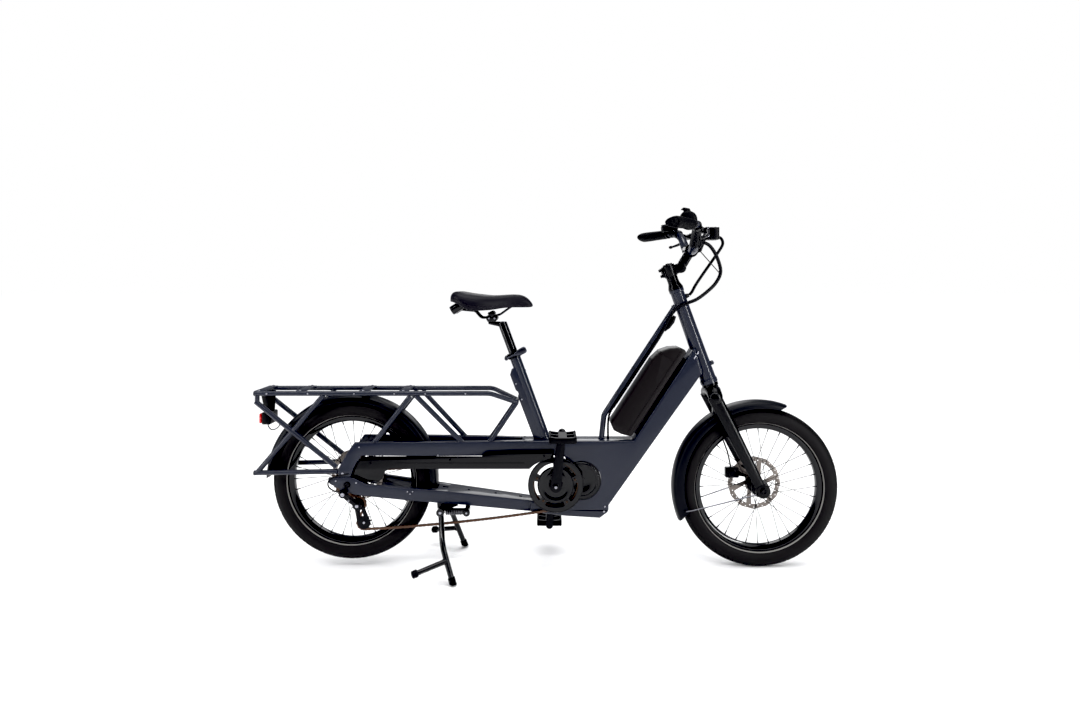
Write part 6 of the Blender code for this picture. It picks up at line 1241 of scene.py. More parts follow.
bolts("cage_bolts", [(at(*spot, CHAIN_LINE - 0.0049), TO_RIGHT, 0.0036, 0.0012) for spot in (GUIDE, TENSION)],
      "derailleur_cage")
for label, spot in (("guide", GUIDE), ("tension", TENSION)):
    wheel = flat_piece(label + "_jockey",
                       [toothed(spot, 11), ring_of(spot, 0.003, 16)]
                       + [ring_of(arc(spot, 0.0105, a, a, 1)[0], 0.0024, 8) for a in range(0, 360, 60)],
                       CHAIN_LINE - 0.001, CHAIN_LINE + 0.001, 0.0003)
    dressed(wheel, BLACK_MOULDING, label + "_pulley", "black_plastic", label + "_pulley")

# Centre stand
# Bent steel tubes welded to a cross tube, stove-enamelled black, with ribbed rubber feet and foot levers; a
# zinc tension spring runs back to its anchor on the frame's box.
STAND = (0.3, 0.194)
# Stove enamel on steel tube: black, smooth and a little glossier than powder.
STOVE_ENAMEL = new_finish("black_stove_enamel", "050507", 0.26, IOR=1.52, Coat_Weight=0.35,
                          Coat_Roughness=0.05)
# Vulcanised rubber, dull and slightly grey.
FOOT_RUBBER = grained(new_finish("vulcanised_rubber", "0C0C0D", 0.7, IOR=1.5), 600.0, 0.0002, 0.3)
bracket = [rounded(box("bracket_plate", at(0.284, 0.203, -0.04), at(0.352, 0.2195, 0.04)), 0.002)]
for side in (RIGHT, LEFT):
    lug = flat_piece("stand_lug",
                     [[(0.284, 0.212), (0.286, 0.19), (0.294, 0.182), (0.306, 0.182), (0.316, 0.19),
                       (0.352, 0.206), (0.352, 0.212)]], side * 0.037 - 0.003, side * 0.037 + 0.003)
    bracket.append(rounded(lug, 0.0008))
bracket += [rounded(box("spring_anchor", at(0.3763, 0.185, -0.0775), at(0.392, 0.2, -0.025)), 0.0025, 3),
            rounded(box("anchor_riser", at(0.3763, 0.186, -0.033), at(0.392, 0.218, -0.023)), 0.0012),
            rounded(box("spring_shield", at(0.315, 0.1835, -0.0612), at(0.392, 0.205, -0.0588)), 0.0008),
            rounded(box("shield_lip", at(0.315, 0.2015, -0.077), at(0.392, 0.2045, -0.06)), 0.0012),
            rounded(rod("anchor_head", at(0.3845, 0.1935, -0.07), at(0.3845, 0.1935, -0.0785), 0.0115, 36),
                    0.002)]
dressed(joined("stand_bracket", *bracket), STOVE_ENAMEL, "frame", "black_metal")
bolts("stand_bracket_bolts",
      [(at(x, 0.203, y), (0, 0, -1), 0.005, 0.004) for x in (0.32, 0.342) for y in (-0.024, 0.024)]
      + [(at(0.3845, 0.1935, -0.0783), TO_RIGHT, 0.003, 0.0014),
         (at(*STAND, -0.0778), TO_RIGHT, 0.0042, 0.0016)], "frame")
legs = [rod("cross_tube", at(*STAND, -0.0645), at(*STAND, 0.0645), 0.008, 32),
        turned("knuckle",
               [(0.0, 0.058), (0.012, 0.058), (0.013, 0.059), (0.013, 0.077), (0.012, 0.078), (0.0, 0.078)],
               at(*STAND), TO_RIGHT, 40)]
shoes = []
for side in (RIGHT, LEFT):
    knee, foot_place = at(0.316, 0.109, side * 0.13), at(0.3555, -0.008, side * 0.157)
    legs.append(tube("leg", bent([at(*STAND, side * 0.06), knee, foot_place.lerp(knee, 0.1)], 0.1, 10), 0.009,
                     sides=20))
    heel, pedal = at(0.331, 0.067, side * 0.141), at(0.232, 0.043, side * 0.19)
    legs.append(rod("foot_lever", heel, pedal.lerp(heel, 0.04), 0.008))
    legs.append(weld_bead("lever_bead", heel.lerp(pedal, 0.085), pedal - heel, 0.0086, 0.0016, 18))
    top = foot_place.lerp(knee, 0.245)
    line = (foot_place - top).length
    profile = [(0.0, 0.0), (0.0092, 0.0), (0.0106, 0.0014)]
    for step in range(6):
        start = 0.003 + step * (line - 0.008) / 6
        profile += [(0.0114, start), (0.0114, start + 0.0026), (0.0104, start + 0.003),
                    (0.0104, start + 0.004)]
    profile += [(0.0114, line - 0.003), (0.0106, line), (0.0, line)]
    shoes.append(turned("rubber_shoe", profile, top, foot_place - top, 32))
    cap_end = pedal.lerp(heel, 0.16)
    length = (pedal - cap_end).length
    shoes.append(turned("lever_cap",
                        [(0.0, 0.0), (0.01, 0.0), (0.0116, 0.0018), (0.0116, length - 0.003),
                         (0.0095, length), (0.0, length)], cap_end, pedal - cap_end, 32))
for shoe in shoes[::2]:
    cut_by(shoe, box("ground", at(0.0, -0.1, -0.4), at(0.6, 0.0, 0.4)))
dressed(joined("stand_leg_tubes", *legs), STOVE_ENAMEL, "stand", "black_metal", "stand_legs")
dressed(joined("stand_rubber_feet", *shoes), FOOT_RUBBER, "stand", "tyre_rubber")
COIL_STEPS = 20
COIL_RADIUS = 0.0064
SPRING_Z, SPRING_Y = 0.1925, -0.07
start_x, end_x, last = STAND[0] + 0.0136, 0.376, 10 * COIL_STEPS
coil = [at(start_x, SPRING_Z, SPRING_Y)]
for index in range(last + 1):
    angle = 2 * math.pi * index / COIL_STEPS
    grow = min(1.0, index / 10, (last - index) / 10)
    coil.append(at(start_x + 0.003 + (end_x - start_x - 0.006) * index / last,
                   SPRING_Z + COIL_RADIUS * grow * math.sin(angle),
                   SPRING_Y + COIL_RADIUS * grow * math.cos(angle)))
coil.append(at(end_x, SPRING_Z, SPRING_Y))
# Spring wire, drawn and oiled: grey with a small glint on each coil.
SPRING_WIRE = new_finish("oiled_spring_wire", "6E6E72", 0.34, 1.0)
dressed(tube("stand_spring_wire", coil, 0.0011, sides=8), SPRING_WIRE, "frame", "brushed_steel",
        "stand_spring")

# Seatpost and saddle
# A drawn aluminium post in a split collar with a quick-release lever; two steel rails held by the head's
# clamp carry a vinyl-covered foam saddle with rubber bumpers under its tail.
SEAT_TOP = (0.53153, 0.70212)


def seat_at(ahead, up, y=0.0):
    """Point level ahead of the seat tube's top and straight up from it."""
    return at(SEAT_TOP[0] + ahead, SEAT_TOP[1] + up, y)


collar = turned("seat_collar",
                [(0.0183, 0.286), (0.022, 0.286), (0.0227, 0.2868), (0.0227, 0.3032), (0.022, 0.304),
                 (0.0183, 0.304)], seat_point(0.0), UP_SEAT, 64)
lug = rounded(rod("collar_lug", seat_point(0.295, 0.027, -0.0131), seat_point(0.295, 0.027, 0.014), 0.0065,
                  28), 0.001)
web = skinned("collar_web",
              [[seat_point(0.295 + dz, behind, y)
                for dz, y in ((-0.006, -0.009), (-0.006, 0.009), (0.006, 0.009), (0.006, -0.009))]
               for behind in (0.0195, 0.027)])
dressed(joined("seat_collar", collar, lug, web), BLACK_ANODISED, "frame", "black_metal", "seat_clamp")
nut = turned("collar_nut",
             [(0.0, 0.0), (0.0062, 0.0), (0.0066, 0.0012), (0.0066, 0.0045), (0.005, 0.006), (0.0, 0.006)],
             seat_point(0.295, 0.027, 0.0141), TO_LEFT, 28)
# Satin anodised aluminium lever: dark grey with a soft bluish streak.
SATIN_ALUMINIUM = new_finish("satin_anodised_aluminium", "3A3B42", 0.26, 1.0)
dressed(nut, SATIN_ALUMINIUM, "frame", "satin_aluminium")
start, tip = seat_point(0.294, 0.027, -0.019), seat_at(0.0435, 0.0149, -0.029)
rings = []
for step in range(13):
    share = step / 12
    middle = start.lerp(tip, share) + Vector((0, -0.0085 * math.sin(math.pi * share), 0))
    heading = (tip - start).normalized()
    square = heading.cross(TO_LEFT).normalized()
    tall = 0.003 + 0.008 * min(1.0, max(0.0, share - 0.35) / 0.35) - (0.004 if step == 12 else 0.0)
    thick = 0.0022 if step < 12 else 0.0012
    rings.append([middle + square * tall * math.cos(a) + Vector((0, thick * math.sin(a), 0))
                  for a in full_turn(12)])
barrel = rounded(rod("lever_barrel", seat_point(0.294, 0.027, -0.0135), seat_point(0.294, 0.027, -0.0225),
                     0.0062, 24), 0.0008)
dressed(joined("seat_lever_blade", skinned("blade", rings), barrel), SATIN_ALUMINIUM, "seat_clamp_lever",
        "satin_aluminium", "seat_clamp_lever")

post = turned("seatpost_tube", [(0.0, 0.192), (0.015, 0.192), (0.015, 0.412), (0.0142, 0.414), (0.0, 0.414)],
              seat_point(0.0), UP_SEAT, 64)
DECK = 0.1029
head_outline = [side_of(seat_at(a, u))
                for a, u in ((-0.083, DECK), (-0.081, DECK - 0.008), (-0.064, DECK - 0.012),
                             (-0.05, DECK - 0.015), (-0.033, DECK - 0.018), (-0.0285, DECK - 0.01),
                             (-0.0415, DECK))]
head_block = rounded(flat_piece("post_head", [head_outline], -0.012, 0.012), 0.0022, 3)
cut_by(post, box("deck_plane", seat_at(-0.13, DECK, -0.1), seat_at(0.03, DECK + 0.06, 0.1)))
dressed(joined("seatpost_tube", post, head_block), STOVE_ENAMEL, "seat", "black_metal", "seatpost")
route = [(-0.0015, 0.1559), (-0.0235, 0.1409), (-0.0398, 0.1292), (-0.0517, 0.1244), (-0.0826, 0.1179),
         (-0.104, 0.1179), (-0.1235, 0.1374), (-0.1365, 0.1399), (-0.1865, 0.1449)]
parts = [tube("saddle_rail", smooth_route([seat_at(x, z, y) for x, z in route], 0.006), 0.0036, sides=12)
         for y in (-0.022, 0.022)]
for side in (RIGHT, LEFT):
    parts.append(rounded(rod("bumper", seat_at(-0.164, 0.162, side * 0.031),
                             seat_at(-0.201, 0.139, side * 0.031), 0.015, 32), 0.003, 3))
    for x, low, high, radius in ((-0.0055, 0.1509, 0.1759, 0.0045), (-0.1565, 0.1399, 0.1699, 0.006)):
        parts.append(rod("rail_seat", seat_at(x, low, side * 0.022), seat_at(x, high, side * 0.022), radius))
    for x, z in ((-0.0785, 0.115), (-0.0605, 0.115), (-0.0695, 0.129)):
        parts.append(rounded(rod("clamp_ear", seat_at(x, z, side * 0.015), seat_at(x, z, side * 0.029),
                                 0.0098, 32), 0.002))
parts.append(rounded(box("clamp_saddle", seat_at(-0.086, 0.1032, -0.027), seat_at(-0.0555, 0.125, 0.027)),
                     0.0045, 3))
parts.append(rounded(box("clamp_lid", seat_at(-0.083, 0.1262, -0.025), seat_at(-0.0585, 0.1345, 0.025)),
                     0.003, 3))
dressed(joined("saddle_rail_wires", *parts), STOVE_ENAMEL, "seat", "black_metal", "saddle_rails")
bolts("saddle_clamp_bolts",
      [(seat_at(x, 0.115, side * 0.0288), (0, side, 0), 0.003, 0.0018) for side in (RIGHT, LEFT)
       for x in (-0.0785, -0.0605)]
      + [(seat_at(-0.0708, 0.1342, y), UPWARD, 0.004, 0.0024) for y in (-0.012, 0.012)], "seat")

stations = [(-0.204, 0.05, 0.1879, 0.1699), (-0.199, 0.064, 0.1975, 0.17), (-0.1895, 0.078, 0.204, 0.169),
            (-0.1675, 0.091, 0.2043, 0.158), (-0.14, 0.0925, 0.1985, 0.1409), (-0.1115, 0.088, 0.195, 0.1409),
            (-0.087, 0.078, 0.1925, 0.142), (-0.0635, 0.066, 0.1899, 0.1434),
            (-0.0265, 0.047, 0.1924, 0.1504), (0.0125, 0.034, 0.1949, 0.1509),
            (0.0385, 0.028, 0.1894, 0.1504), (0.0555, 0.022, 0.1749, 0.1509), (0.0655, 0.014, 0.1599, 0.1524)]
rings = []
for ahead, half, top, skirt in stations:
    height = top - skirt
    dip = 0.0045 if ahead > -0.1 else 0.0075
    outline = [(0.0, height - dip), (0.16, height - dip * 0.6), (0.34, height), (0.56, height * 0.99),
               (0.78, height * 0.9), (0.93, height * 0.74), (1.0, height * 0.5), (0.985, height * 0.2),
               (0.94, 0.0), (0.86, 0.0), (0.8, 0.004), (0.6, min(0.016, height * 0.4)),
               (0.0, min(0.018, height * 0.4))]
    ring = [seat_at(ahead, skirt + rise, share * half) for share, rise in outline]
    rings.append(ring + [seat_at(ahead, skirt + rise, -share * half) for share, rise in outline[-2:0:-1]])
cushion = skinned("saddle_cushion", rings)
select_only(cushion)
rounder = cushion.modifiers.new("soft_foam", "SUBSURF")
rounder.levels = rounder.render_levels = 2
bpy.ops.object.modifier_apply(modifier=rounder.name)
# Grained vinyl over moulded foam: 1 mm leather grain drawn at 2.5 mm, a low sheen on the crown.
SADDLE_VINYL = grained(new_finish("grained_saddle_vinyl", "141318", 0.44, IOR=1.5), 400.0, 0.00025, 0.35)
dressed(cushion, SADDLE_VINYL, "seat", "saddle_cover", "saddle", angle=60)
piping = []
for side in (RIGHT, LEFT):
    line = [seat_at(ahead, skirt + (top - skirt) * 0.3, side * half * 0.992)
            for ahead, half, top, skirt in stations[1:-1]]
    piping.append(tube("cover_seam", smooth_route(line, 0.006), 0.0011, sides=8))
dressed(joined("saddle_seam", *piping), SADDLE_VINYL, "seat", "saddle_cover")

# Battery
# Lithium pack in a two-part ABS case on the rail: rounded shell, an end cap with the lock and switch, and a
# thin seam where they meet. The place of its mark is left plain.
LIFT = 0.0123
corners = [at(*on_down_tube(run, LIFT + rise))
           for run, rise in ((0.15, 0.0), (0.342, 0.0), (0.3385, 0.029), (0.32, 0.0545), (0.294, 0.0745),
                             (0.258, 0.0832), (0.0075, 0.0832), (-0.0085, 0.061), (-0.005, 0.033),
                             (0.006, 0.0), (0.15, 0.0))]
outline = [side_of(p) for p in bent(corners, 0.011, 4)[:-1]]
shell = flat_piece("battery_case", [outline], -0.04, 0.04, 0.01)
run_heading = at(ALONG.x, ALONG.y) - at(0.0, 0.0)
rise_heading = at(SQUARE.x, SQUARE.y) - at(0.0, 0.0)
seam_groove(shell, at(*on_down_tube(0.288, LIFT)), run_heading, 0.0014, 0.0012)
seam_groove(shell, at(*on_down_tube(0.0, LIFT + 0.02)), rise_heading, 0.0014, 0.0012)
# Moulded ABS with a fine satin texture: near black, greyer where the light rakes its long edge.
BATTERY_ABS = grained(new_finish("textured_black_abs", "181616", 0.4, IOR=1.54), 700.0, 0.00012, 0.3)
dressed(shell, BATTERY_ABS, "frame", "black_plastic", "battery")
lock_place = at(*on_down_tube(0.31, LIFT + 0.033), 0.0397)
lock = turned("battery_lock",
              [(0.0, 0.0), (0.01, 0.0), (0.01, 0.0012), (0.0088, 0.002), (0.007, 0.002), (0.0066, 0.001),
               (0.0, 0.001)], lock_place, TO_LEFT, 36)
slot_box = rounded(box("key_slot", lock_place + Vector((-0.0009, 0.0009, -0.004)),
                       lock_place + Vector((0.0009, 0.0016, 0.004))), 0.0003)
dressed(joined("battery_lock", lock, slot_box), ZINC_STEEL, "frame", "brushed_steel")
button = turned("battery_switch",
                [(0.0, 0.0), (0.0072, 0.0), (0.0072, 0.001), (0.0058, 0.0018), (0.0, 0.002)],
                at(*on_down_tube(0.27, LIFT + 0.064), 0.0397), TO_LEFT, 32)
socket_cap = rounded(flat_piece("charge_cap", [ring_of(on_down_tube(0.042, LIFT + 0.042), 0.011, 32)], 0.0395,
                                0.0412), 0.0006)
dressed(joined("battery_switch_and_cap", button, socket_cap), FOOT_RUBBER, "frame", "black_plastic")

# Fork
# Rigid aluminium fork: forged crown, flattened tapering blades and round dropouts welded together, with a
# cast tab for the brake, all in hard satin black, and the headset's lower cup under the head tube.

# Paint over aluminium: black with a soft highlight down each edge.
FORK_PAINT = grained(new_finish("satin_black_paint", "030304", 0.3, IOR=1.52, Coat_Weight=0.12,
                                Coat_Roughness=0.05), 500.0, 0.0001, 0.1)
lower_cup = turned("fork_crown_race",
                   [(0.0, -0.03), (0.0235, -0.03), (0.025, -0.013), (0.0268, -0.011), (0.027, -0.006),
                    (0.0262, -0.0004), (0.0143, -0.0003), (0.0143, 0.413), (0.0, 0.413)], steer_point(0.0),
                   UP_HEAD, 64)


def squarer(share, power):
    """A sine or cosine pushed outwards, so that a round section turns a little square."""
    return math.copysign(abs(share) ** power, share)


rings = []
for y, rise, ahead, half_high, half_long in (
        (-0.0672, -0.047, -0.007, 0.009, 0.008), (-0.0655, -0.046, -0.007, 0.0145, 0.013),
        (-0.061, -0.043, -0.007, 0.02, 0.0205), (-0.054, -0.0385, -0.006, 0.024, 0.0232),
        (-0.04, -0.031, -0.004, 0.0215, 0.024), (-0.028, -0.026, -0.002, 0.019, 0.0245),
        (0.0, -0.0245, -0.001, 0.0185, 0.0245)):
    rings.append([steer_point(rise + half_high * math.sin(a), ahead + half_long * math.cos(a), y)
                  for a in full_turn(28)])
for ring in rings[-2::-1]:
    rings.append([Vector((p.x, -p.y, p.z)) for p in ring])
parts = [lower_cup, skinned("crown", rings)]
for side in (RIGHT, LEFT):
    high, low = steer_point(-0.036, -0.01, side * 0.0535), at(axle_x - 0.0075, axle_z + 0.012, side * 0.0566)
    line = (low - high).normalized()
    ahead = Vector((-line.z, 0.0, line.x)).normalized()
    rings = []
    for share, half_long, half_wide in ((0.0, 0.0226, 0.0105), (0.35, 0.0212, 0.0105), (0.7, 0.0188, 0.0095),
                                        (0.9, 0.0172, 0.0075), (0.985, 0.016, 0.006)):
        rings.append([high.lerp(low, share) + ahead * half_long * squarer(math.cos(a), 0.8)
                      + Vector((0, half_wide * math.sin(a), 0)) for a in full_turn(28)])
    parts.append(skinned("blade", rings))
    parts.append(rounded(rod("dropout", FRONT_AXLE + Vector((0, side * 0.0503, 0)),
                             FRONT_AXLE + Vector((0, side * 0.063, 0)), 0.0235, 56), 0.0025, 3))
parts.append(rounded(flat_piece("caliper_tab",
                                [[(axle_x - 0.052, axle_z + 0.05), (axle_x - 0.018, axle_z + 0.05),
                                  (axle_x - 0.018, axle_z + 0.014), (axle_x - 0.046, axle_z + 0.018)]],
                                0.0503, 0.0573), 0.0015))
crown = joined("fork_blades", *parts)
dressed(crown, FORK_PAINT, "steering", "black_metal", "fork")
bolts("fork_bolts",
      [(steer_point(-0.03, 0.0232), AHEAD_OF_HEAD, 0.0034, 0.0024)]
      + [(at(axle_x - dx, axle_z + dz, 0.0576), TO_LEFT, 0.004, 0.0036)
         for dx, dz in ((0.04, 0.042), (0.036, 0.024))], "steering", BLACK_ANODISED, "black_metal")

# Stem
# Folding-height stem of forged aluminium: stepped spacers and a clamp with two pinch bolts behind it, a hinge
# block with its pivot, and a wide flat arm up to the bar's clamp.
BAR_CLAMP = at(1.12, 1.04)
FOOT = 0.3303
spacer = turned("stem_boot",
                [(0.0143, FOOT), (0.0244, FOOT), (0.025, FOOT + 0.0008), (0.0247, FOOT + 0.005),
                 (0.0205, FOOT + 0.016), (0.0188, FOOT + 0.022), (0.0186, FOOT + 0.03),
                 (0.0178, FOOT + 0.0304), (0.0178, FOOT + 0.0312), (0.0186, FOOT + 0.0316),
                 (0.0186, FOOT + 0.043), (0.0143, FOOT + 0.0435)], steer_point(0.0), UP_HEAD, 64)
clamp = turned("stem_clamp",
               [(0.0146, FOOT + 0.044), (0.0208, FOOT + 0.044), (0.0215, FOOT + 0.045),
                (0.0215, FOOT + 0.083), (0.0205, FOOT + 0.0842), (0.016, FOOT + 0.0848),
                (0.016, FOOT + 0.0872), (0.015, FOOT + 0.088), (0.0, FOOT + 0.088), (0.0, FOOT + 0.086),
                (0.0146, FOOT + 0.086)], steer_point(0.0), UP_HEAD, 64)
head_foot = steer_point(0.0)
on_head_axis = Matrix(((AHEAD_OF_HEAD.x, 0, UP_HEAD.x, head_foot.x), (0, 1, 0, 0),
                       (AHEAD_OF_HEAD.z, 0, UP_HEAD.z, head_foot.z), (0, 0, 0, 1)))
ears = rounded(box("pinch_ears", Vector((-0.0275, -0.0125, FOOT + 0.048)),
                   Vector((-0.017, 0.0125, FOOT + 0.082))), 0.0025, 3)
ears.data.transform(on_head_axis)
hinge_place = steer_point(FOOT + 0.062, 0.036)
hinge = rounded(rod("hinge", hinge_place + Vector((0, -0.021, 0)), hinge_place + Vector((0, 0.021, 0)),
                    0.0175, 48), 0.0018)
bridge = rounded(box("hinge_bridge", Vector((0.014, -0.019, FOOT + 0.047)),
                     Vector((0.038, 0.019, FOOT + 0.079))), 0.003, 3)
bridge.data.transform(on_head_axis)
line = (BAR_CLAMP - hinge_place).normalized()
square = Vector((-line.z, 0.0, line.x))
rings = []
for share, tall, wide in ((0.0, 0.015, 0.017), (0.25, 0.0158, 0.0185), (0.6, 0.0155, 0.0185),
                          (1.0, 0.016, 0.02)):
    middle = hinge_place.lerp(BAR_CLAMP, share)
    rings.append([middle + square * tall * squarer(math.cos(a), 0.45)
                  + Vector((0, wide * squarer(math.sin(a), 0.45), 0))
                  for a in (2 * math.pi * (k + 0.5) / 32 for k in range(32))])
arm = skinned("stem_arm", rings)
bar_clamp = turned("bar_clamp",
                   [(0.0161, -0.024), (0.0212, -0.024), (0.0219, -0.0232), (0.0219, 0.0232), (0.0212, 0.024),
                    (0.0161, 0.024)], BAR_CLAMP, TO_LEFT, 64)
cut_by(arm, rod("bar_room", BAR_CLAMP + Vector((0, -0.05, 0)), BAR_CLAMP + Vector((0, 0.05, 0)), 0.0175, 40))
dressed(joined("stem_body", spacer, clamp, ears, hinge, bridge, arm, bar_clamp), FORK_PAINT, "steering",
        "black_metal", "stem")
bolts("stem_bolts",
      [(steer_point(FOOT + rise, -0.027), -1 * AHEAD_OF_HEAD, 0.0048, 0.007) for rise in (0.055, 0.075)]
      + [(hinge_place + Vector((0, -0.0209, 0)), TO_RIGHT, 0.008, 0.0022),
         (hinge_place + Vector((0, 0.0209, 0)), TO_LEFT, 0.008, 0.0022)]
      + [(BAR_CLAMP + line * 0.0212 + square * s + Vector((0, y, 0)), line, 0.0036, 0.003)
         for s in (-0.006, 0.006) for y in (-0.018, 0.018)]
      + [(steer_point(FOOT + 0.0878), UP_HEAD, 0.006, 0.002)], "steering", FORK_PAINT, "black_metal")

# Handlebar
# One drawn and bent aluminium tube, rising and sweeping back, lacquered black; the lever clamps with their
# oil reservoirs and the shifter's pod are clamped on it.
GRIP_START = (1.083, 0.2, 1.111)
GRIP_HEADING = Vector((-0.555, 0.831, -0.028)).normalized()
GRIP_LENGTH = 0.132


def grip_point(side, along, back=0.0, rise=0.0):
    """Point along a grip's axis, and square behind it in the level plane."""
    forward = Vector((GRIP_HEADING.y, -GRIP_HEADING.x, 0.0)).normalized()
    place = Vector(GRIP_START) + GRIP_HEADING * along - forward * back + Vector((0, 0, rise))
    return at(place.x, place.z, side * place.y)


half = [((1.12, 0.0, 1.04), 0.0159), ((1.12, 0.026, 1.04), 0.0159), ((1.12, 0.036, 1.0408), 0.0158),
        ((1.1198, 0.046, 1.044), 0.0157), ((1.119, 0.058, 1.0495), 0.0153), ((1.1182, 0.07, 1.0565), 0.0148),
        ((1.117, 0.088, 1.07), 0.014), ((1.116, 0.105, 1.083), 0.0132), ((1.1146, 0.122, 1.0945), 0.012),
        ((1.1122, 0.138, 1.1035), 0.0111), ((1.1085, 0.153, 1.1092), 0.0111),
        ((1.103, 0.168, 1.1115), 0.0111), ((1.095, 0.182, 1.1118), 0.0111), ((1.089, 0.1912, 1.1114), 0.0111)]
stations = [(grip_point(RIGHT, GRIP_LENGTH - 0.006), 0.0111), (grip_point(RIGHT, 0.0), 0.0111)]
stations += ([(at(x, z, -y), radius) for (x, y, z), radius in half[::-1]]
             + [(at(x, z, y), radius) for (x, y, z), radius in half[1:]])
stations += [(grip_point(LEFT, 0.0), 0.0111), (grip_point(LEFT, GRIP_LENGTH - 0.006), 0.0111)]
# Lacquer over drawn tube: black with a long bluish highlight down each rise.
BAR_LACQUER = new_finish("lacquered_drawn_tube", "1A1D28", 0.22, IOR=1.52, Coat_Weight=0.6,
                         Coat_Roughness=0.1)
dressed(tube("handlebar_tube", [place for place, radius in stations], 0.0159,
             [radius for place, radius in stations], 32), BAR_LACQUER, "steering", "black_metal", "handlebar")
for side, label in ((RIGHT, "right"), (LEFT, "left")):
    inner, outer = at(1.112, 1.104, side * 0.138), at(1.1045, 1.111, side * 0.164)
    parts = [rounded(rod("lever_clamp", inner, outer, 0.0155, 48), 0.0016),
             rounded(rod("oil_reservoir", at(1.146, 1.096, side * 0.098), at(1.139, 1.096, side * 0.148),
                         0.0105, 40), 0.0025, 3),
             rounded(skinned("lever_arm",
                             [[at(x, z, side * y) for x, z, y in quad]
                              for quad in ([(1.11, 1.1, 0.142), (1.106, 1.103, 0.16), (1.106, 1.113, 0.16),
                                            (1.11, 1.113, 0.142)],
                                           [(1.142, 1.09, 0.128), (1.14, 1.09, 0.147), (1.14, 1.102, 0.147),
                                            (1.142, 1.102, 0.128)])]), 0.002),
             rounded(box("clamp_lid",
                         *[at(*corner)
                           for corner in ((1.0935, 1.1, min(side * 0.144, side * 0.158)),
                                          (1.102, 1.118, max(side * 0.144, side * 0.158)))]), 0.002),
             rounded(rod("hose_nut", at(1.146, 1.096, side * 0.0985), at(1.1472, 1.0962, side * 0.088),
                         0.0052, 6), 0.0006)]
    dressed(joined("lever_clamp_" + label, *parts), BLACK_ANODISED, "steering", "black_metal")
    bolts("lever_bolts_" + label,
          [(at(1.0975, 1.1175, side * 0.151), UPWARD, 0.0028, 0.0022),
           (at(1.143, 1.1062, side * 0.108), UPWARD, 0.0022, 0.0012),
           (at(1.141, 1.1062, side * 0.14), UPWARD, 0.0022, 0.0012)], "steering")
pod = [(0.0262 * squarer(math.cos(a), 0.86), 0.029 * squarer(math.sin(a), 0.86)) for a in full_turn(40)]
rings = []
for y, size in ((-0.164, 0.72), (-0.1648, 0.84), (-0.1675, 0.96), (-0.1705, 1.0), (-0.1765, 1.0),
                (-0.1771, 0.985), (-0.1777, 1.0), (-0.183, 1.0), (-0.1858, 0.96), (-0.1876, 0.88),
                (-0.188, 0.8)):
    middle = 1.082 - (-0.164 - y) * 0.45
    rings.append([at(middle + dx * size, 1.1237 + dz * size, y) for dx, dz in pod])
shifter = [skinned("shifter_pod", rings),
           rounded(rod("display_clamp", at(1.102, 1.112, 0.17), at(1.092, 1.112, 0.186), 0.015, 40), 0.0018),
           rounded(box("display_neck", at(1.086, 1.112, 0.17), at(1.098, 1.13, 0.186)), 0.0025, 3)]
dressed(joined("shifter_pod", *shifter), BLACK_MOULDING, "steering", "black_plastic")
base = at(1.077, 1.1459, -0.177)
quads = [[(-0.012, -0.006, 0.0), (0.008, -0.006, 0.0), (0.008, 0.006, 0.0), (-0.012, 0.006, 0.0)],
         [(-0.018, -0.008, 0.01), (0.002, -0.008, 0.014), (0.002, 0.006, 0.014), (-0.018, 0.006, 0.01)],
         [(-0.026, -0.01, 0.009), (-0.018, -0.01, 0.0172), (-0.018, 0.004, 0.0172), (-0.026, 0.004, 0.009)]]
paddle = rounded(skinned("shift_paddle", [[base + Vector(corner) for corner in quad] for quad in quads]),
                 0.0026, 3, 25)
dressed(paddle, BLACK_MOULDING, "shift_lever", "black_plastic", "shift_lever")

# Grips
# Rubber moulded on a plastic sleeve: a ribbed barrel swelling to a palm wing at its outer end, slid on the
# bar and held by a lock ring of anodised aluminium.

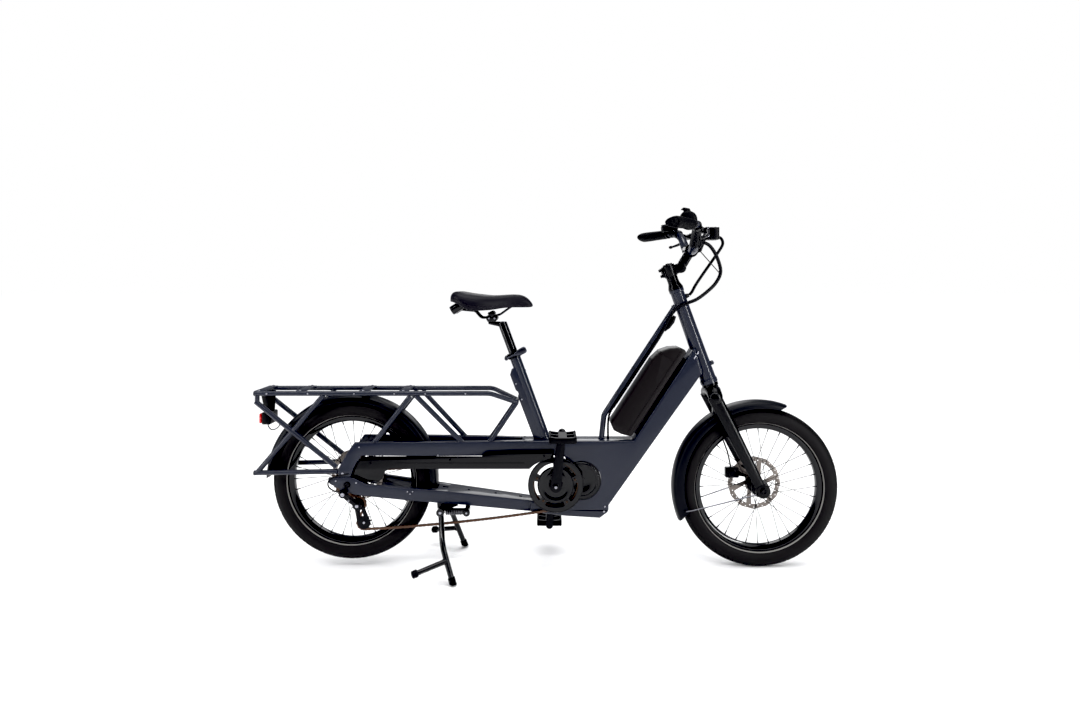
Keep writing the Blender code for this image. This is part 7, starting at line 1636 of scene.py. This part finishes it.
# Grip rubber, fully matt with a fine moulded grain.
GRIP_RUBBER = grained(new_finish("grip_rubber", "0A0A0B", 0.66, IOR=1.5), 900.0, 0.00015, 0.3)
for side, label in ((RIGHT, "right"), (LEFT, "left")):
    profile = [(0.0032, 0.0148, 0, 1), (0.004, 0.0156, 0, 1), (0.01, 0.0163, 0, 1)]
    for step in range(14):
        start = 0.014 + step * 0.007
        wing = 0.0188 * min(1.0, max(0.0, (start - 0.035) / 0.075)) ** 1.5
        high = 1.0 + 0.08 * min(1.0, max(0.0, (start - 0.03) / 0.06))
        profile += [(start, 0.0163, wing, high), (start + 0.0016, 0.0156, wing, high),
                    (start + 0.0032, 0.0156, wing, high), (start + 0.0048, 0.0163, wing, high)]
    profile += [(0.116, 0.0163, 0.0188, 1.08), (0.125, 0.0161, 0.0186, 1.08), (0.1295, 0.0155, 0.017, 1.06),
                (0.1316, 0.014, 0.0135, 1.02), (0.132, 0.0115, 0.01, 1.0)]
    rings = []
    for along, radius, wing, high in profile:
        ring = []
        for angle in full_turn(36):
            back = -math.cos(angle)
            ring.append(grip_point(side, along, back * (radius + wing * max(0.0, back) ** 0.6),
                                   math.sin(angle) * radius * high))
        rings.append(ring)
    dressed(skinned("grip_barrel_" + label, rings), GRIP_RUBBER, "steering", "grip_rubber", "grip_" + label)
    collar = turned("grip_lock_ring",
                    [(0.0112, -0.0052), (0.0152, -0.0052), (0.0158, -0.0046), (0.0158, 0.0024),
                     (0.0152, 0.003), (0.0112, 0.003)], grip_point(side, 0.0),
                    grip_point(side, 1.0) - grip_point(side, 0.0), 48)
    dressed(collar, BLACK_ANODISED, "steering", "black_metal")
    plug = turned("grip_end_plug",
                  [(0.0, 0.1316), (0.01, 0.1316), (0.01, 0.1322), (0.0085, 0.133), (0.006, 0.133),
                   (0.0052, 0.1325), (0.0, 0.1325)], grip_point(side, 0.0),
                  grip_point(side, 1.0) - grip_point(side, 0.0), 40)
    dressed(plug, BLACK_MOULDING, "steering", "grip_rubber")

# Brake levers
# Forged aluminium blades for two fingers, anodised black. Each is bored and bolted into its clamp at the
# pivot, and ends in a ball.
for side, label in ((RIGHT, "right"), (LEFT, "left")):
    start, end = at(1.14, 1.094, side * 0.152), at(1.099, 1.066, side * 0.256)
    rings = []
    for share, tall, wide in ((-0.02, 0.004, 0.004), (0.0, 0.0068, 0.0068), (0.06, 0.007, 0.0066),
                              (0.14, 0.006, 0.0056), (0.35, 0.0055, 0.0038), (0.6, 0.0052, 0.0034),
                              (0.8, 0.0042, 0.0032), (0.86, 0.0038, 0.0034), (0.9, 0.0052, 0.005),
                              (0.94, 0.006, 0.0058), (0.975, 0.0052, 0.005), (1.0, 0.0026, 0.0024)):
        middle = start.lerp(end, share) + Vector((0.008, 0.0, -0.004)) * math.sin(math.pi * max(0.0, share))
        heading = (end - start).normalized()
        out = UPWARD.cross(heading).normalized()
        high = heading.cross(out)
        rings.append([middle + high * tall * math.sin(a) + out * wide * math.cos(a) for a in full_turn(20)])
    dressed(skinned("brake_blade_" + label, rings), BLACK_ANODISED, "brake_lever_" + label, "black_metal",
            "brake_lever_" + label)
    bolts("brake_pivot_bolt_" + label, [(start + Vector((0, 0, 0.0066)), UPWARD, 0.0036, 0.0016)],
          "brake_lever_" + label)

# Display and headlight
# The display is a flat ABS case under a glass face beside the left grip; the headlight is a square die-cast
# box with a clear lens, on a folded steel bracket from the bar's clamp.
DISPLAY_PLACE = Matrix.Translation(at(1.086, 1.1315, 0.173)) @ Matrix.Rotation(math.radians(-8), 4, "Y")
case = rounded(box("display_case", Vector((-0.03, -0.022, -0.012)), Vector((0.026, 0.022, 0.0135))), 0.007, 4)
seam_groove(case, Vector((0, 0, 0.006)), UPWARD, 0.001, 0.0008)
buttons = [rounded(box("button", Vector((-0.0285, y - 0.0045, 0.0125)), Vector((-0.024, y + 0.0045, 0.0145))),
                   0.0008) for y in (-0.013, 0.0, 0.013)]
case = joined("display_case", case, *buttons)
case.data.transform(DISPLAY_PLACE)
dressed(case, BLACK_MOULDING, "steering", "black_plastic", "display")
glass = rounded(box("display_glass", Vector((-0.0215, -0.0185, 0.013)), Vector((0.023, 0.0185, 0.0148))),
                0.0007, 2)
glass.data.transform(DISPLAY_PLACE)
# Dark glass over an unlit panel: black and mirror smooth.
DARK_GLASS = new_finish("dark_display_glass", "07080A", 0.05, IOR=1.52)
dressed(glass, DARK_GLASS, "steering", "black_plastic")
lamp = rounded(box("lamp_case", at(1.17, 1.076, -0.024), at(1.2085, 1.118, 0.024)), 0.0042, 3)
for shift in range(4):
    seam_groove(lamp, at(1.176 + shift * 0.0055, 1.097), (1, 0, 0), 0.0022, 0.0014)
bezel = rounded(box("lamp_bezel", at(1.205, 1.0765, -0.0235), at(1.212, 1.1175, 0.0235)), 0.002, 2)
cut_by(bezel, box("bezel_window", at(1.208, 1.0805, -0.0195), at(1.216, 1.1135, 0.0195)))
start = BAR_CLAMP + Vector((0.0222, 0, 0))
bracket = rounded(skinned("lamp_bracket",
                          [[start + Vector((0.0, y, z))
                            for y, z in ((-0.01, -0.008), (0.01, -0.008), (0.01, 0.008), (-0.01, 0.008))],
                           [start + Vector((x, y, z))
                            for x, y, z in ((0.014, -0.01, -0.002), (0.014, 0.01, -0.002),
                                            (0.008, 0.01, 0.012), (0.008, -0.01, 0.012))],
                           [at(1.173, z, y)
                            for z, y in ((1.082, -0.01), (1.082, 0.01), (1.096, 0.01), (1.096, -0.01))]]),
                  0.0012)
dressed(joined("lamp_case", lamp, bezel, bracket), BLACK_ANODISED, "steering", "black_plastic", "headlight")
lens = rounded(box("lamp_lens", at(1.207, 1.081, -0.019), at(1.21, 1.113, 0.019)), 0.0012, 2)
# Clear polycarbonate over a silvered reflector: pale and bright with a wet face.
LAMP_LENS = new_finish("clear_lamp_lens", "C9CDD2", 0.08, IOR=1.58, Coat_Weight=0.5)
dressed(lens, LAMP_LENS, "steering", "black_plastic")
bolts("lamp_bolts",
      [(at(x, 1.1178, y), UPWARD, 0.0024, 0.001) for x in (1.178, 1.202) for y in (-0.018, 0.018)]
      + [(at(1.1745, 1.089, -0.024), TO_RIGHT, 0.0036, 0.002)], "steering")

# Hoses and leads
# Brake hoses, the shift cable and the bar's leads run in one spiral-wrapped sleeve that crosses to the drive
# side of the head tube and follows the top stay down to the body; the lamp's lead goes to the head tube's
# port.

# Black polyethylene sleeve: dull sheen broken by the wrap's edges.
CABLE_SLEEVE = new_finish("black_polyethylene_sleeve", "0B0B0D", 0.42, IOR=1.51)
route = [at(x, z, y)
         for x, y, z in ((1.1372, -0.043, 1.049), (1.148, -0.038, 1.06), (1.164, -0.028, 1.064),
                         (1.185, -0.022, 1.05), (1.206, -0.018, 1.015), (1.217, -0.017, 0.97),
                         (1.2, -0.02, 0.933), (1.168, -0.027, 0.903), (1.135, -0.0335, 0.88),
                         (1.108, -0.0345, 0.869), (1.087, -0.0305, 0.86), (1.0695, -0.024, 0.849),
                         (1.057, -0.018, 0.832), (1.0474, -0.0152, 0.8129), (1.014, -0.0118, 0.7514),
                         (0.959, -0.0112, 0.6679), (0.8821, -0.0112, 0.5509), (0.858, -0.009, 0.514),
                         (0.849, -0.005, 0.49), (0.8466, -0.003, 0.462), (0.8465, -0.003, 0.4168))]
path = smooth_route(route, 0.0024)
radii = [(0.0036 if p.z < 0.5257 else 0.005 if p.z < 0.84 else 0.0058) + 0.00022 * math.sin(k * math.pi / 2)
         for k, p in enumerate(path)]
sleeve = tube("cable_sleeve", path, 0.0058, radii, 14)
dressed(sleeve, CABLE_SLEEVE, None, "cable_sleeve", "cable_bundle")
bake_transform(sleeve)
route = [at(x, z, y)
         for x, y, z in ((1.2137, 0.006, 1.086), (1.2225, 0.006, 1.084), (1.229, 0.005, 1.074),
                         (1.229, 0.005, 1.06), (1.2165, 0.004, 1.039), (1.1944, 0.004, 1.007),
                         (1.164, 0.003, 0.964), (1.14, 0.001, 0.929), (1.126, 0.0, 0.904),
                         (1.1173, 0.0, 0.8935))]
lead = tube("lamp_cable", smooth_route(route, 0.005), 0.005, sides=16)
dressed(lead, CABLE_SLEEVE, None, "cable_sleeve", "headlight_cable")
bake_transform(lead)
hoses = []
for points, radius in ((((1.1472, -0.088, 1.0962), (1.15, -0.076, 1.093), (1.151, -0.062, 1.08),
                         (1.144, -0.05, 1.062), (1.14, -0.044, 1.052)), 0.005),
                       (((1.1385, -0.044, 1.05), (1.131, -0.039, 1.068), (1.131, -0.031, 1.096),
                         (1.141, -0.026, 1.114), (1.154, -0.023, 1.115), (1.163, -0.022, 1.102),
                         (1.161, -0.022, 1.086), (1.151, -0.028, 1.068), (1.141, -0.04, 1.055)), 0.005),
                       (((1.1472, 0.088, 1.0962), (1.156, 0.06, 1.09), (1.158, 0.02, 1.072),
                         (1.152, -0.018, 1.062), (1.142, -0.039, 1.053)), 0.004),
                       (((1.092, -0.164, 1.118), (1.12, -0.13, 1.085), (1.135, -0.09, 1.056),
                         (1.137, -0.06, 1.046), (1.138, -0.044, 1.048)), 0.0024),
                       (((1.09, 0.165, 1.125), (1.11, 0.12, 1.08), (1.138, 0.07, 1.048), (1.146, 0.01, 1.056),
                         (1.14, -0.038, 1.05)), 0.0018)):
    hoses.append(tube("hose", smooth_route([at(x, z, y) for x, y, z in points], 0.006), radius, sides=10))
hoses.append(tube("shift_wire", [at(1.1507, 1.0365, -0.018), at(1.213, 0.966, -0.018)], 0.0016, sides=8))
hoses.append(tube("riser_wrap", smooth_route([at(x, z, -y) for (x, y, z), radius in half[5:10]], 0.003),
                  0.016, sides=24))
dressed(joined("bar_hoses", *hoses), CABLE_SLEEVE, "steering", "cable_sleeve")
down_stay = (stay_bend - stay_high).normalized()
under = Vector((-down_stay.z, 0, down_stay.x))
boot_places = [stay_high + down_stay * run + under * drop + Vector((0, -0.006, 0))
               for run, drop in ((0.03, 0.015), (0.05, 0.0175), (0.072, 0.016), (0.09, 0.012))]
boot = tube("entry_boot", boot_places, 0.0085, [0.0055, 0.0085, 0.008, 0.005], 20)
ties = [boot] + [tube("tie",
                      [stay_high + down_stay * run + under * (0.0026 + 0.0131 * math.cos(a))
                       + Vector((0, 0.0132 * math.sin(a) - 0.0035, 0)) for a in full_turn(24)], 0.001,
                      sides=8, closed=True) for run in (0.05, 0.15, 0.25, 0.35)]
dressed(joined("stay_cable_ties", *ties), BLACK_MOULDING, "frame", "black_plastic")

# Floor, light and camera
# A wide sheet of white paper under one broad overhead light. Narrow strips above and at both ends draw thin
# highlights along the tubes, soft panels fill from both ends and from beyond, and a level camera stands on
# the drive side as in the photograph.
bpy.data.objects.remove(BOLT)
bpy.ops.object.select_all(action="DESELECT")
bpy.ops.mesh.primitive_plane_add(size=160.0, location=(0, 0, -0.0002))
floor = bpy.context.object
floor.name = "floor"
# Matt white paper.
floor.data.materials.append(new_finish("white_paper", "FBFBFB", 0.9, Specular_IOR_Level=0.1))
scene = bpy.context.scene
scene.view_settings.view_transform = "Standard"
# The print's blacks are deeper than a white room gives.
scene.view_settings.use_curve_mapping = True
scene.view_settings.curve_mapping.black_level = (0.017, 0.017, 0.016)
scene.view_settings.curve_mapping.update()
studio = scene.world or bpy.data.worlds.new("studio")
scene.world = studio
studio.use_nodes = True
# The room is dim round the bicycle, and its far wall is a white sheet.
room = studio.node_tree.nodes["Background"]
room.inputs["Color"].default_value = linear("F4F6FF")
room.inputs["Strength"].default_value = 0.24
wall = add_node(studio, "ShaderNodeBackground", {"Color": linear("FFFFFF"), "Strength": 1.0}, [])
ray = add_node(studio, "ShaderNodeLightPath", {}, [])
add_node(studio, "ShaderNodeMixShader", {},
         [(ray, "Is Camera Ray", None, 0), (room, 0, None, 1), (wall, 0, None, 2),
          (None, 0, studio.node_tree.nodes["World Output"], "Surface")])
for kind, name, place, aim, size, power in (
        ("SUN", "overhead_sheet", (0.0, 0.0, 3.0), (0.0, 0.0, 0.0), math.radians(50), 2.7),
        ("AREA", "overhead_strip", (-0.2, -1.7, 2.5), (-0.2, 0.0, 0.6), (4.0, 0.14), 36.0),
        ("AREA", "front_strip", (2.18, -1.66, 0.95), (0.5, 0.0, 0.75), (0.12, 1.7), 40.0),
        ("AREA", "rear_strip", (-2.29, -1.0, 0.95), (-0.7, 0.0, 0.5), (0.12, 1.8), 26.0),
        ("AREA", "front_softbox", (2.2, -2.2, 1.9), (0.2, 0.0, 0.6), (1.2, 1.2), 10.0),
        ("AREA", "rear_softbox", (-2.4, -1.6, 1.8), (-0.2, 0.0, 0.5), (1.2, 1.2), 6.0),
        ("AREA", "far_rim_light", (0.4, 2.4, 2.0), (0.0, 0.0, 0.6), (1.6, 1.6), 28.0)):
    bpy.ops.object.light_add(type=kind, location=place)
    light = bpy.context.object
    light.name = name
    light.data.energy = power
    if kind == "SUN":
        light.data.angle = size
    else:
        light.data.shape = "RECTANGLE"
        light.data.size, light.data.size_y = size
    light.rotation_euler = (Vector(aim) - Vector(place)).to_track_quat("-Z", "Y").to_euler()
bpy.ops.object.camera_add(location=(-0.01375, -2.2, 0.9257), rotation=(math.pi / 2, 0, 0))
camera = bpy.context.object
camera.data.sensor_width = 36.0
camera.data.lens = 22.032
camera.data.shift_x = -0.0046
camera.data.shift_y = -0.0676
camera.data.clip_end = 120.0
scene.camera = camera
